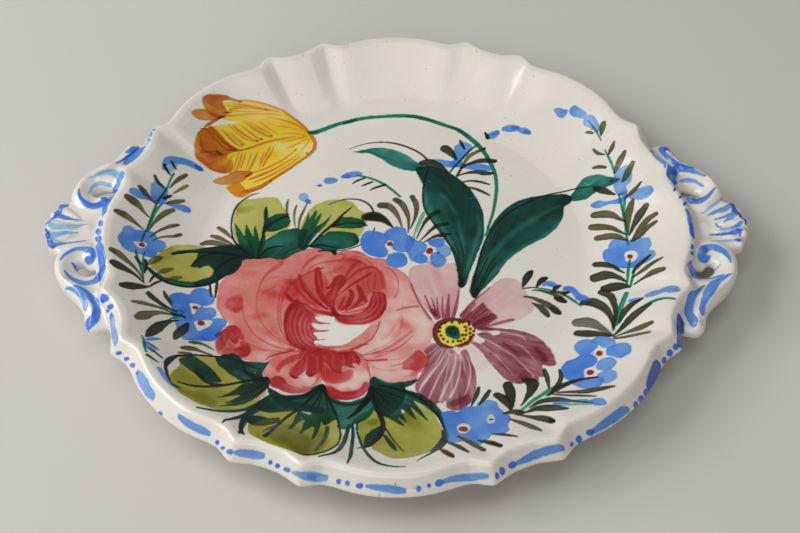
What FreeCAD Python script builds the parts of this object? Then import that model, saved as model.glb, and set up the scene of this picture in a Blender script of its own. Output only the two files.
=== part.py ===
import FreeCAD, Part
import math
import os
import sys

from FreeCAD import Vector

# Round painted serving dish with a scalloped, rolled rim and two pierced
# handles.  Millimetres.  Origin: centre of the circle on which the foot ring
# stands, +Z up, +X through the middle of the right handle.

doc = FreeCAD.newDocument("ScallopedDish")

# ---------------------------------------------------------------- sheet ----
sheet = doc.addObject("Spreadsheet::Sheet", "Dimensions")
SIZES = [
    # alias, value, meaning
    ("RimRadius", 139.0, "outer edge of the rim, at a corner of the scallop"),
    ("CrestRadius", 133.0, "top of the rolled rim, at a corner of the scallop"),
    ("WellRadius", 86.0, "where the flat well starts to rise into the wall"),
    ("CapRadius", 58.0, "middle disc of the well that is exactly flat"),
    ("WellHeight", 8.0, "painted floor of the well above the table"),
    ("CrestHeight", 25.7, "top of the rolled rim above the table"),
    ("EdgeHeight", 17.3, "outer edge of the rim above the table"),
    ("BodyThickness", 5.0, "wall of the well"),
    ("LobeCount", 8, "wide lobes round the rim, one narrow lobe between each"),
    ("LobeHalfAngle", 16.2, "half the angle of a wide lobe"),
    ("LobeDip", 3.3, "how far the rim draws in beside each corner"),
    ("LobeHollow", 3.8, "how far the narrow lobes draw in at their middle"),
    ("FootRadius", 77.0, "mean radius of the foot ring"),
    ("FootTopWidth", 5.6, "foot ring where it joins the body"),
    ("FootBottomWidth", 3.6, "foot ring where it stands"),
    ("FootHeight", 3.0, "height of the foot ring"),
    ("HandleReach", 161.0, "tip of the handle's shell from the centre"),
    ("HandleRoot", 136.6, "inner edge of the handle, inside the rim's edge"),
    ("HandleBottom", 14.4, "underside of the handle above the table"),
    ("HandleTop", 20.6, "flat of the handle above the table"),
    ("ScrollOffsetY", 22.0, "centre of each scroll from the handle's axis"),
    ("ScrollX", 143.6, "centre of each scroll from the centre of the dish"),
    ("ScrollRadius", 6.4, "mean radius of the scroll's raised roll"),
    ("ScrollRoll", 2.6, "radius of the roll"),
    ("PierceRadius", 2.9, "half the width of the pierced hole"),
    ("PierceLength", 3.6, "length of the straight part of the pierced hole"),
    ("HandleSpan", 57.6, "half the length of a handle along the rim"),
    ("HandleSpanEnd", 170.0, "past the reach of the handles"),
    ("LeftHandleTurn", 178.2, "degrees from the right handle to the left one"),
    ("EyeRadius", 3.1, "bead that ends the scroll"),
    ("FluteRadius", 2.5, "raised flute of the shell, at its outer end"),
    ("FluteTaper", 1.0, "raised flute of the shell, at its inner end"),
    ("FluteLength", 18.0, "length of the middle flute"),
    ("LeafRadius", 3.2, "raised leaf at each end of the handle"),
]
sheet.set("A1", "dimension")
sheet.set("B1", "mm or degrees")
sheet.set("C1", "what it is")
for row, (alias, value, meaning) in enumerate(SIZES, start=2):
    sheet.set("A%d" % row, alias)
    sheet.set("B%d" % row, str(value))
    sheet.set("C%d" % row, meaning)
    sheet.setAlias("B%d" % row, alias)
doc.recompute()


def dim(alias):
    return float(sheet.get(alias))


def cell(alias):
    return "Dimensions." + alias


# ------------------------------------------------------------ helper maths --
def hermite_periodic(knots, period, x):
    """Smooth periodic curve through (position, value) knots, no overshoot."""
    xs = [k[0] for k in knots]
    ys = [k[1] for k in knots]
    n = len(xs)
    x = (x - xs[0]) % period + xs[0]
    slopes = []
    for i in range(n):
        x0, x1 = xs[i - 1] - (period if i == 0 else 0.0), xs[i]
        x2 = xs[(i + 1) % n] + (period if i == n - 1 else 0.0)
        d0 = (ys[i] - ys[i - 1]) / (x1 - x0)
        d1 = (ys[(i + 1) % n] - ys[i]) / (x2 - x1)
        if d0 * d1 <= 0.0:
            slopes.append(0.0)
        else:
            slopes.append(2.0 * d0 * d1 / (d0 + d1))
    i = n - 1
    for k in range(n - 1):
        if xs[k] <= x < xs[k + 1]:
            i = k
            break
    a = xs[i]
    b = xs[(i + 1) % n] + (period if i == n - 1 else 0.0)
    h = b - a
    s = (x - a) / h
    y0, y1 = ys[i], ys[(i + 1) % n]
    m0, m1 = slopes[i] * h, slopes[(i + 1) % n] * h
    return ((2 * s ** 3 - 3 * s ** 2 + 1) * y0 + (s ** 3 - 2 * s ** 2 + s) * m0
            + (-2 * s ** 3 + 3 * s ** 2) * y1 + (s ** 3 - s ** 2) * m1)


def lobe_knots():
    """Scallop of the rim over one wide and one narrow lobe, in degrees."""
    c = dim("LobeHalfAngle")
    pitch = 360.0 / dim("LobeCount")
    dip, hollow = dim("LobeDip"), dim("LobeHollow")
    half = [(0.0, -0.30), (3.0, -0.50), (6.0, -1.15), (9.0, -0.73 * dip),
            (11.0, -0.97 * dip), (c - 3.9, -dip), (c - 2.6, -0.76 * dip),
            (c - 1.4, -0.33 * dip), (c, 0.0), (c + 1.4, -0.29 * hollow),
            (c + 2.8, -0.66 * hollow), (c + 4.3, -0.92 * hollow),
            (pitch / 2.0, -hollow)]
    mirrored = [(pitch - a, v) for a, v in reversed(half[1:-1])]
    return half + mirrored, pitch


LOBES, PITCH = lobe_knots()


def scallop(degrees):
    return hermite_periodic(LOBES, PITCH, degrees)


def solve_cyclic(values):
    """Control values of a periodic uniform cubic spline through the values."""
    ctrl = list(values)
    n = len(values)
    for _ in range(60):
        ctrl = [(6.0 * values[i] - ctrl[i - 1] - ctrl[(i + 1) % n]) / 4.0
                for i in range(n)]
    return ctrl


# --------------------------------------------------------------- the dish --
# One wall from the flat of the well, up the fluted side, over the rolled
# crest, down the outside band of the rim, round the edge and back under.
# Each station: radius, height, how much of the scallop it follows.
def dish_stations():
    rw, rc, rr = dim("WellRadius"), dim("CrestRadius"), dim("RimRadius")
    zw, zc, ze = dim("WellHeight"), dim("CrestHeight"), dim("EdgeHeight")
    t, cap = dim("BodyThickness"), dim("CapRadius")
    rise = zc - zw
    run = rc - rw
    flat = [cap, rw - 20.0, rw - 14.0, rw - 10.0, rw - 7.0, rw - 4.0, rw - 2.0]
    top = [(r, zw, 0.0) for r in flat]
    for f, g, w in [(0.02, 0.004, 0.0), (0.09, 0.030, 0.0), (0.17, 0.083, 0.02),
                    (0.30, 0.187, 0.14), (0.43, 0.316, 0.34), (0.56, 0.464, 0.56),
                    (0.69, 0.625, 0.76), (0.81, 0.790, 0.90), (0.90, 0.910, 0.97),
                    (0.958, 0.978, 1.0)]:
        top.append((rw + f * run, zw + g * rise, w))
    top += [(rc, zc, 1.0),
            (rc + 1.7, zc - 0.85, 1.0),
            (rc + 3.0, zc - 2.9, 0.98),
            (rc + 4.2, zc - 5.2, 0.96),
            (rr - 0.65, ze + 1.5, 0.94)]
    edge = [(rr, ze, 0.93),
            (rr - 0.75, ze - 1.45, 0.93),
            (rr - 2.4, ze - 1.75, 0.93)]
    under = [(rc + 1.6, ze + 0.6, 0.95),
             (rc - 0.6, ze + 2.1, 0.97),
             (rc - 3.2, ze + 2.2, 0.97),
             (rc - 7.4, ze + 0.5, 0.93),
             (rc - 12.6, ze - 2.3, 0.82),
             (rc - 19.0, ze - 6.0, 0.60),
             (rc - 26.0, zw - t + 5.4, 0.32),
             (rc - 32.5, zw - t + 2.5, 0.10),
             (rc - 39.0, zw - t + 0.75, 0.0),
             (rw + 2.0, zw - t + 0.10, 0.0)]
    under += [(r, zw - t, 0.0) for r in reversed(flat)]
    return top + edge + under


def make_dish_shape(samples=192):
    stations = dish_stations()
    nominal = [(r, z) for r, z, w in stations]
    params = [0.0]
    for (r0, z0), (r1, z1) in zip(nominal, nominal[1:]):
        params.append(params[-1] + math.hypot(r1 - r0, z1 - z0) ** 0.75)
    params = [p / params[-1] for p in params]
    columns = []
    knots = mults = None
    for i in range(samples):
        ang = 360.0 * i / samples
        d = scallop(ang)
        ca, sa = math.cos(math.radians(ang)), math.sin(math.radians(ang))
        pts = [Vector((r + w * d) * ca, (r + w * d) * sa, z)
               for r, z, w in stations]
        curve = Part.BSplineCurve()
        curve.interpolate(Points=pts, Parameters=params)
        columns.append(curve.getPoles())
        if knots is None:
            knots, mults = curve.getKnots(), curve.getMultiplicities()
    count = len(columns[0])
    poles = [[None] * count for _ in range(samples)]
    for j in range(count):
        xs = solve_cyclic([columns[i][j].x for i in range(samples)])
        ys = solve_cyclic([columns[i][j].y for i in range(samples)])
        z = columns[0][j].z
        for i in range(samples):
            poles[i][j] = Vector(xs[i], ys[i], z)
    skin = Part.BSplineSurface()
    skin.buildFromPolesMultsKnots(
        poles, [1] * (samples + 1), list(mults),
        [float(k) for k in range(samples + 1)], list(knots),
        True, False, 3, 3)
    wall = skin.toShape()
    rings = [e for e in wall.Edges
             if abs(e.BoundBox.ZLength) < 1e-6 and e.BoundBox.XLength > 50.0]
    discs = [Part.Face(Part.Wire([e])) for e in rings]
    shell = Part.makeShell([wall] + discs)
    shell.sewShape()
    solid = Part.Solid(shell)
    if solid.Volume < 0:
        solid.reverse()
    return solid


dish = doc.addObject("Part::Feature", "Dish")
dish.Label = "dish"
dish.Shape = make_dish_shape()
dish.Placement = FreeCAD.Placement()
doc.recompute()

# ---------------------------------------------------------- the foot ring --
foot = doc.addObject("PartDesign::Body", "FootRing")
foot.Label = "foot_ring"
foot_sketch = foot.newObject("Sketcher::SketchObject", "FootSection")
xz = [f for f in foot.Origin.OriginFeatures if f.Role == "XZ_Plane"][0]
foot_sketch.AttachmentSupport = [(xz, "")]
foot_sketch.MapMode = "FlatFace"
doc.recompute()
rf, wt, wb, hf = (dim("FootRadius"), dim("FootTopWidth"),
                  dim("FootBottomWidth"), dim("FootHeight"))
corners = [(rf - wt / 2, hf), (rf - wb / 2, 0.0), (rf + wb / 2, 0.0),
           (rf + wt / 2, hf)]
import Sketcher
for (x0, y0), (x1, y1) in zip(corners, corners[1:] + corners[:1]):
    foot_sketch.addGeometry(
        Part.LineSegment(Vector(x0, y0, 0), Vector(x1, y1, 0)), False)
for k in range(4):
    foot_sketch.addConstraint(
        Sketcher.Constraint("Coincident", k, 2, (k + 1) % 4, 1))
foot_sketch.addConstraint(Sketcher.Constraint("Horizontal", 1))
foot_sketch.addConstraint(Sketcher.Constraint("Horizontal", 3))
foot_sketch.addConstraint(Sketcher.Constraint("PointOnObject", 0, 2, -1))


def foot_size(kind, args, value, name, expression):
    index = foot_sketch.addConstraint(Sketcher.Constraint(kind, *args, value))
    foot_sketch.renameConstraint(index, name)
    foot_sketch.setExpression("Constraints." + name, expression)


foot_size("DistanceX", (-1, 1, 0, 1), rf - wt / 2, "innerTop",
          "%s - %s / 2" % (cell("FootRadius"), cell("FootTopWidth")))
foot_size("DistanceX", (-1, 1, 2, 2), rf + wt / 2, "outerTop",
          "%s + %s / 2" % (cell("FootRadius"), cell("FootTopWidth")))
foot_size("DistanceX", (-1, 1, 0, 2), rf - wb / 2, "innerBottom",
          "%s - %s / 2" % (cell("FootRadius"), cell("FootBottomWidth")))
foot_size("DistanceX", (-1, 1, 1, 2), rf + wb / 2, "outerBottom",
          "%s + %s / 2" % (cell("FootRadius"), cell("FootBottomWidth")))
foot_size("DistanceY", (-1, 1, 0, 1), hf, "ringHeight", cell("FootHeight"))
foot_turn = foot.newObject("PartDesign::Revolution", "FootTurned")
foot_turn.Profile = foot_sketch
foot_turn.ReferenceAxis = (foot_sketch, ["V_Axis"])
foot_turn.Angle = 360.0
foot_turn.Reversed = False
doc.recompute()
foot_edges = []
for k, e in enumerate(foot_turn.Shape.Edges, start=1):
    if e.BoundBox.ZMax < 1e-6 and e.BoundBox.XLength > 10.0:
        foot_edges.append("Edge%d" % k)
foot_round = foot.newObject("PartDesign::Fillet", "FootRounded")
foot_round.Base = (foot_turn, foot_edges)
foot_round.Radius = 0.8
doc.recompute()

# ------------------------------------------------------------- the handle --
# Built once for the right-hand side.  A flat cartouche with two pierced
# scrolls, a shell of five flutes between them and a leaf at each end.
HALF_OUTLINE = [
    (128.6, 56.6), (131.6, 55.9), (133.6, 53.4), (134.6, 50.4), (136.2, 47.0),
    (138.7, 43.6), (141.7, 40.5), (144.8, 37.5), (147.7, 34.2), (150.1, 30.4),
    (151.9, 26.2), (152.8, 21.9), (152.7, 18.6), (152.3, 16.4), (153.9, 14.9),
    (156.4, 13.6), (157.2, 11.4), (158.8, 8.9), (159.9, 6.0), (159.8, 3.6),
    (160.8, 1.8)]


def handle_outline():
    reach = dim("HandleReach")
    out = [Vector(x * (reach / 161.0), y, 0.0) for x, y in HALF_OUTLINE]
    tip = [Vector(reach, 0.0, 0.0)]
    back = [Vector(p.x, -p.y, 0.0) for p in reversed(out)]
    return out + tip + back


handle = doc.addObject("PartDesign::Body", "HandleBlank")
outline_sketch = handle.newObject("Sketcher::SketchObject", "Cartouche")
xy = [f for f in handle.Origin.OriginFeatures if f.Role == "XY_Plane"][0]
outline_sketch.AttachmentSupport = [(xy, "")]
outline_sketch.MapMode = "FlatFace"
outline_sketch.AttachmentOffset.Base = Vector(0, 0, dim("HandleBottom"))
outline_sketch.setExpression("AttachmentOffset.Base.z", cell("HandleBottom"))
doc.recompute()
points = handle_outline()
edge_curve = Part.BSplineCurve()
edge_curve.interpolate(points)
root = dim("HandleRoot")
end_angle = math.degrees(math.atan2(points[0].y, points[0].x))
arc_top = Vector(root * math.cos(math.radians(end_angle + 1.2)),
                 root * math.sin(math.radians(end_angle + 1.2)), 0)
arc_low = Vector(arc_top.x, -arc_top.y, 0)
root_arc = Part.Arc(arc_top, Vector(root, 0, 0), arc_low)
outline_sketch.addGeometry(edge_curve, False)
outline_sketch.addGeometry(Part.LineSegment(points[-1], arc_low), False)
outline_sketch.addGeometry(root_arc, False)
outline_sketch.addGeometry(Part.LineSegment(arc_top, points[0]), False)
doc.recompute()
blank = handle.newObject("PartDesign::Pad", "CartouchePad")
blank.Profile = outline_sketch
blank.Length = dim("HandleTop") - dim("HandleBottom")
blank.setExpression("Length", "%s - %s" % (cell("HandleTop"),
                                           cell("HandleBottom")))
doc.recompute()

# two slots that pierce the cartouche beside the scrolls' beads
pierce_sketch = handle.newObject("Sketcher::SketchObject", "Pierced")
pierce_sketch.AttachmentSupport = [(xy, "")]
pierce_sketch.MapMode = "FlatFace"
sx, sy = dim("ScrollX"), dim("ScrollOffsetY")
pr, pl = dim("PierceRadius"), dim("PierceLength")
for side in (1, -1):
    cx, cy = sx - 0.4, side * (sy + 0.6)
    a = Vector(cx - pl / 2, cy, 0)
    b = Vector(cx + pl / 2, cy, 0)
    up, dn = Vector(0, pr, 0), Vector(0, -pr, 0)
    pierce_sketch.addGeometry(Part.LineSegment(a + up, b + up), False)
    pierce_sketch.addGeometry(
        Part.Arc(b + up, b + Vector(pr, 0, 0), b + dn), False)
    pierce_sketch.addGeometry(Part.LineSegment(b + dn, a + dn), False)
    pierce_sketch.addGeometry(
        Part.Arc(a + dn, a + Vector(-pr, 0, 0), a + up), False)
doc.recompute()
pierced = handle.newObject("PartDesign::Pocket", "PiercedThrough")
pierced.Profile = pierce_sketch
pierced.Type = 1
pierced.Midplane = True
doc.recompute()
assert pierced.Shape.Volume < blank.Shape.Volume - 50.0

relief = []


def add_relief(kind, name, sizes, placement, formulas=()):
    item = doc.addObject(kind, name)
    for key, value in sizes.items():
        setattr(item, key, value)
    for key, formula in formulas:
        item.setExpression(key, formula)
    item.Placement = placement
    relief.append(item)
    return item


z_face = dim("HandleTop")
for side, tag in ((1, "Back"), (-1, "Front")):
    # the scroll's raised roll, open towards the dish
    add_relief("Part::Torus", "Scroll" + tag,
               {"Radius1": dim("ScrollRadius"), "Radius2": dim("ScrollRoll")},
               FreeCAD.Placement(Vector(sx, side * sy, z_face),
                                 FreeCAD.Rotation()),
               [("Radius1", cell("ScrollRadius")),
                ("Radius2", cell("ScrollRoll"))])
    # the bead that the scroll curls into
    add_relief("Part::Sphere", "Eye" + tag, {"Radius": dim("EyeRadius")},
               FreeCAD.Placement(Vector(sx - 1.4, side * (sy - 5.6), z_face),
                                 FreeCAD.Rotation()),
               [("Radius", cell("EyeRadius"))])
    # leaf that runs from the scroll to the rim
    add_relief("Part::Ellipsoid", "Leaf" + tag,
               {"Radius1": dim("LeafRadius") * 0.7, "Radius2": 10.6,
                "Radius3": dim("LeafRadius"), "Angle1": -90, "Angle2": 90,
                "Angle3": 360},
               FreeCAD.Placement(
                   Vector(138.4, side * 43.4, z_face - 0.2),
                   FreeCAD.Rotation(Vector(0, 0, 1), side * 130.0)))
fl, fr, ft = dim("FluteLength"), dim("FluteRadius"), dim("FluteTaper")
for k, (turn, length) in enumerate(((28.0, 0.80), (14.0, 0.92), (0.0, 1.0),
                                    (-14.0, 0.92), (-28.0, 0.80))):
    # flutes spread from a point on the handle's axis
    hub = Vector(dim("HandleReach") - fl - 6.0, 0, z_face - 0.4)
    out = Vector(math.cos(math.radians(turn)), math.sin(math.radians(turn)), 0)
    start = hub + out * 5.0
    add_relief("Part::Cone", "Flute%d" % (k + 1),
               {"Radius1": ft, "Radius2": fr, "Height": fl * length - 0.6},
               FreeCAD.Placement(start, FreeCAD.Rotation(Vector(0, 0, 1), out)),
               [("Radius1", cell("FluteTaper")),
                ("Radius2", cell("FluteRadius")),
                ("Height", "%s * %s - 0.6" % (cell("FluteLength"), length))])
doc.recompute()

raised = doc.addObject("Part::MultiFuse", "HandleRaised")
raised.Shapes = [handle] + relief
doc.recompute()

# trim the blank to its own outline and to the dish, so the two meet face to
# face at the rim
trim_right = doc.addObject("Part::Cut", "HandleRightCut")
trim_right.Base = raised
trim_right.Tool = dish
doc.recompute()

solids = trim_right.Shape.Solids
print("handle pieces after the cut:", [round(s.Volume, 1) for s in solids])
biggest = max(solids, key=lambda s: s.Volume)

right = doc.addObject("Part::Feature", "HandleRight")
right.Label = "handle_right"
right.Shape = biggest.removeSplitter()
right.Placement = FreeCAD.Placement()

# the same moulding goes on the other side, luted on a little towards the
# back edge, so it is turned and then cut against the dish on its own
turned = doc.addObject("Part::Feature", "HandleLeftRaised")
turned.Shape = raised.Shape.copy()
turned.Placement = FreeCAD.Placement(
    Vector(0, 0, 0), FreeCAD.Rotation(Vector(0, 0, 1), dim("LeftHandleTurn")))
span = doc.addObject("Part::Box", "HandleLeftSpan")
span.setExpression("Length", "%s - 100" % cell("HandleSpanEnd"))
span.setExpression("Width", "2 * %s" % cell("HandleSpan"))
span.Height = 20
turn_left = FreeCAD.Rotation(Vector(0, 0, 1), dim("LeftHandleTurn"))
span.Placement = FreeCAD.Placement(
    turn_left.multVec(Vector(100, -dim("HandleSpan"), 10)), turn_left)
ended = doc.addObject("Part::MultiCommon", "HandleLeftEnded")
ended.Shapes = [turned, span]
doc.recompute()
trim_left = doc.addObject("Part::Cut", "HandleLeftCut")
trim_left.Base = ended
trim_left.Tool = dish
doc.recompute()
solids = trim_left.Shape.Solids
print("left handle pieces after the cut:", [round(q.Volume, 1) for q in solids])
biggest = max(solids, key=lambda q: q.Volume)
left = doc.addObject("Part::Feature", "HandleLeft")
left.Label = "handle_left"
left.Shape = biggest.removeSplitter()
left.Placement = FreeCAD.Placement()
doc.recompute()

# ------------------------------------------------------------------ write --
bad = []
for obj in doc.Objects:
    if any(word in ("Invalid", "Error") for word in obj.State):
        bad.append("%s: %s" % (obj.Name, obj.State))
nodes = [dish, foot, right, left]
for obj in nodes:
    shape = obj.Shape
    if shape.isNull() or not shape.isValid() or len(shape.Solids) != 1:
        bad.append("%s: shape is null, not valid or not one solid" % obj.Label)
if bad:
    print("\n".join(bad))
    sys.exit(1)

os.makedirs("parts", exist_ok=True)
for obj in nodes:
    box = obj.Shape.BoundBox
    print("%-13s volume %9.1f mm3  x %.2f..%.2f y %.2f..%.2f z %.2f..%.2f" % (
        obj.Label, obj.Shape.Volume, box.XMin, box.XMax, box.YMin, box.YMax,
        box.ZMin, box.ZMax))
    obj.Shape.exportStep("parts/%s.step" % obj.Label)
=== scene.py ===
import bpy
import math
import numpy as np
from mathutils import Matrix, Vector


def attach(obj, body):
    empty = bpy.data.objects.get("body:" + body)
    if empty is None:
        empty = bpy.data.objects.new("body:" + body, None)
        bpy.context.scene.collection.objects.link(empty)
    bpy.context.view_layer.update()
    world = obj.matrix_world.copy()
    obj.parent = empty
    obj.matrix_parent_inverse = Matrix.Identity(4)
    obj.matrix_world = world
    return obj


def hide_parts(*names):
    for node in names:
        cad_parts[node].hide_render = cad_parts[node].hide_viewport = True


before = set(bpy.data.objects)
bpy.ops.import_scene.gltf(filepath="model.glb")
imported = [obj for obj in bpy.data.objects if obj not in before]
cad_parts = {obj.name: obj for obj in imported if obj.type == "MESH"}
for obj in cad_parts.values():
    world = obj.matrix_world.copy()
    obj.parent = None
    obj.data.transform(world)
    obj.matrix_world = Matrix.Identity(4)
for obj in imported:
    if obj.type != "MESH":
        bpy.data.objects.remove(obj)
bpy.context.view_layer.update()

# Everything below is worked out in millimetres in the frame of the CAD model
# and scaled to metres when a mesh is made.
MM = 0.001

# ---------------------------------------------------------------- paint ----
def lin(c):
    c = np.asarray(c, float) / 255.0
    return np.where(c <= 0.04045, c / 12.92, ((c + 0.055) / 1.055) ** 2.4)


PAPER = lin((226, 221, 213))          # glaze as lit, the base of every pigment


def pigment(rgb):
    """Absorbance of one even coat that looks like rgb on the white glaze."""
    return -np.log(np.clip(lin(rgb) / PAPER, 0.004, 1.0))


def _hash(ix, iy, seed):
    n = (ix.astype(np.int64) * 374761393 + iy.astype(np.int64) * 668265263
         + seed * 1442695041) & 0x7FFFFFFF
    n = ((n ^ (n >> 13)) * 1274126177) & 0x7FFFFFFF
    n = (n ^ (n >> 16)) & 0xFFFFFF
    return n.astype(np.float32) / 16777215.0


def vnoise(x, y, seed=0):
    """Smooth value noise in -1..1."""
    x = np.asarray(x, np.float32)
    y = np.asarray(y, np.float32)
    xf = np.floor(x)
    yf = np.floor(y)
    fx = x - xf
    fy = y - yf
    fx = fx * fx * (3 - 2 * fx)
    fy = fy * fy * (3 - 2 * fy)
    ix = xf.astype(np.int64)
    iy = yf.astype(np.int64)
    a = _hash(ix, iy, seed)
    b = _hash(ix + 1, iy, seed)
    c = _hash(ix, iy + 1, seed)
    d = _hash(ix + 1, iy + 1, seed)
    return (a + (b - a) * fx + (c - a) * fy + (a - b - c + d) * fx * fy) * 2 - 1


def spline(pts, step=0.7, closed=False):
    """Catmull-Rom through rows of (x, y, ...); every column is carried."""
    p = np.asarray(pts, float)
    n = len(p)
    if n == 1:
        return p.copy()
    if closed:
        q = np.vstack([p[-1], p, p[0], p[1]])
        segs = n
    else:
        q = np.vstack([2 * p[0] - p[1], p, 2 * p[-1] - p[-2]])
        segs = n - 1
    out = []
    for i in range(segs):
        p0, p1, p2, p3 = q[i], q[i + 1], q[i + 2], q[i + 3]
        d01 = max(np.hypot(*(p1 - p0)[:2]), 1e-6) ** 0.5
        d12 = max(np.hypot(*(p2 - p1)[:2]), 1e-6) ** 0.5
        d23 = max(np.hypot(*(p3 - p2)[:2]), 1e-6) ** 0.5
        m = max(2, int(math.ceil(np.hypot(*(p2 - p1)[:2]) / step)))
        t = (np.arange(m) / m)[:, None]
        m1 = (p2 - p1) + d12 * ((p1 - p0) / d01 - (p2 - p0) / (d01 + d12))
        m2 = (p2 - p1) + d12 * ((p3 - p2) / d23 - (p3 - p1) / (d12 + d23))
        out.append((2 * t ** 3 - 3 * t ** 2 + 1) * p1
                   + (t ** 3 - 2 * t ** 2 + t) * m1
                   + (-2 * t ** 3 + 3 * t ** 2) * p2 + (t ** 3 - t ** 2) * m2)
    out = np.vstack(out)
    if not closed:
        out = np.vstack([out, p[-1:]])
    return out


class Canvas:
    """Sums pigment absorbance on a flat grid, in millimetres."""

    def __init__(self, x0, x1, y0, y1, px):
        self.x0, self.y0, self.px = x0, y0, px
        self.w = int(round((x1 - x0) / px))
        self.h = int(round((y1 - y0) / px))
        self.ink = np.zeros((self.h, self.w, 3), np.float32)
        self.count = 0

    def window(self, lo, hi, pad):
        i0 = max(0, int((lo[0] - pad - self.x0) / self.px))
        i1 = min(self.w, int((hi[0] + pad - self.x0) / self.px) + 2)
        j0 = max(0, int((lo[1] - pad - self.y0) / self.px))
        j1 = min(self.h, int((hi[1] + pad - self.y0) / self.px) + 2)
        if i1 <= i0 or j1 <= j0:
            return None
        x = (self.x0 + (np.arange(i0, i1) + 0.5) * self.px).astype(np.float32)
        y = (self.y0 + (np.arange(j0, j1) + 0.5) * self.px).astype(np.float32)
        return slice(j0, j1), slice(i0, i1), x[None, :], y[:, None]

    def lay(self, js, xs, density, colour, resist=0.0, cut=None):
        if cut is not None and cut != 0.0:
            self.ink[js, xs] *= (1 - np.clip(cut * density, 0, 1))[..., None]
        a = pigment(colour).astype(np.float32)
        self.ink[js, xs] += density[..., None] * a

    def brush(self, pts, colour, d=1.0, wob=0.10, streak=0.14, pool=0.16,
              start=0.0, end=0.0, grain=0.05, soft=0.0, dry=0.0, cut=0.0):
        """One brush stroke.  pts rows are x, y, half width[, density]."""
        p = np.asarray([tuple(q) + (1.0,) * (4 - len(q)) for q in pts], float)
        self.count += 1
        seed = self.count
        c = spline(p, 0.5)
        c[:, 2] = np.maximum(c[:, 2], 0.02)
        pad = c[:, 2].max() + 1.0
        win = self.window(c[:, :2].min(0), c[:, :2].max(0), pad)
        if win is None:
            return
        js, xs, x, y = win
        best = np.full((y.shape[0], x.shape[1]), 1e9, np.float32)
        tt = np.zeros_like(best)
        lat = np.zeros_like(best)
        seg = np.hypot(*(c[1:, :2] - c[:-1, :2]).T)
        run = np.concatenate([[0], np.cumsum(seg)])
        px = self.px
        for k in range(len(c) - 1):
            ax, ay = c[k, 0], c[k, 1]
            bx, by = c[k + 1, 0], c[k + 1, 1]
            reach = max(c[k, 2], c[k + 1, 2]) + 1.0
            # only the pixels near this piece of the path
            ii0 = max(0, int((min(ax, bx) - reach - x[0, 0]) / px))
            ii1 = int((max(ax, bx) + reach - x[0, 0]) / px) + 2
            jj0 = max(0, int((min(ay, by) - reach - y[0, 0]) / px))
            jj1 = int((max(ay, by) + reach - y[0, 0]) / px) + 2
            sx, sy = x[:, ii0:ii1], y[jj0:jj1]
            if sx.size == 0 or sy.size == 0:
                continue
            dx, dy = bx - ax, by - ay
            l2 = dx * dx + dy * dy + 1e-9
            t = np.clip(((sx - ax) * dx + (sy - ay) * dy) / l2, 0, 1)
            ex, ey = sx - (ax + t * dx), sy - (ay + t * dy)
            dist = np.sqrt(ex * ex + ey * ey)
            wl = c[k, 2] + (c[k + 1, 2] - c[k, 2]) * t
            score = dist - wl
            sub = (slice(jj0, jj1), slice(ii0, ii1))
            better = score < best[sub]
            best[sub] = np.where(better, score, best[sub])
            tt[sub] = np.where(better, run[k] + t * seg[k], tt[sub])
            side = np.sign(dx * ey - dy * ex)
            lat[sub] = np.where(better, side * dist / np.maximum(wl, 0.15),
                                lat[sub])
        w = np.interp(tt, run, c[:, 2]).astype(np.float32)
        dens = np.interp(tt, run, c[:, 3]).astype(np.float32)
        edge = best + wob * vnoise(x / 1.3 + seed, y / 1.3, seed) \
            * np.minimum(1.0, w)
        aa = max(px * 0.6, 0.09) + soft
        cov = np.clip(0.5 - edge / (2 * aa), 0, 1)
        cov = cov * cov * (3 - 2 * cov)
        depth = np.clip(-edge, 0, None)
        total = run[-1]
        hair = vnoise(lat * np.maximum(w, 0.3) / 0.33 + seed * 3.1,
                      tt / 9.0, seed + 7)
        hair2 = vnoise(lat * np.maximum(w, 0.3) / 0.9 + seed * 1.7,
                       tt / 14.0, seed + 9)
        rho = dens * (1 + streak * (0.6 * hair + 0.7 * hair2))
        rho = rho * (1 + pool * (1.6 * np.exp(-depth / 0.38) - 0.35))
        if start:
            rho = rho * (1 + start * np.exp(-tt / max(1.2, 0.12 * total)))
        if end:
            rho = rho * (1 + end * np.exp(-(total - tt) / max(1.2, 0.14 * total)))
        if dry:
            gap = vnoise(lat * np.maximum(w, 0.3) / 0.42 + seed, tt / 16.0,
                         seed + 21)
            cov = cov * np.clip(1 - dry * np.clip(gap * 2.2 + 0.1, 0, 1), 0, 1)
        rho = rho * (1 + grain * vnoise(x / 0.55, y / 0.55, 5))
        self.lay(js, xs, np.clip(d * rho, 0, None) * cov, colour, cut=cut)

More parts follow.
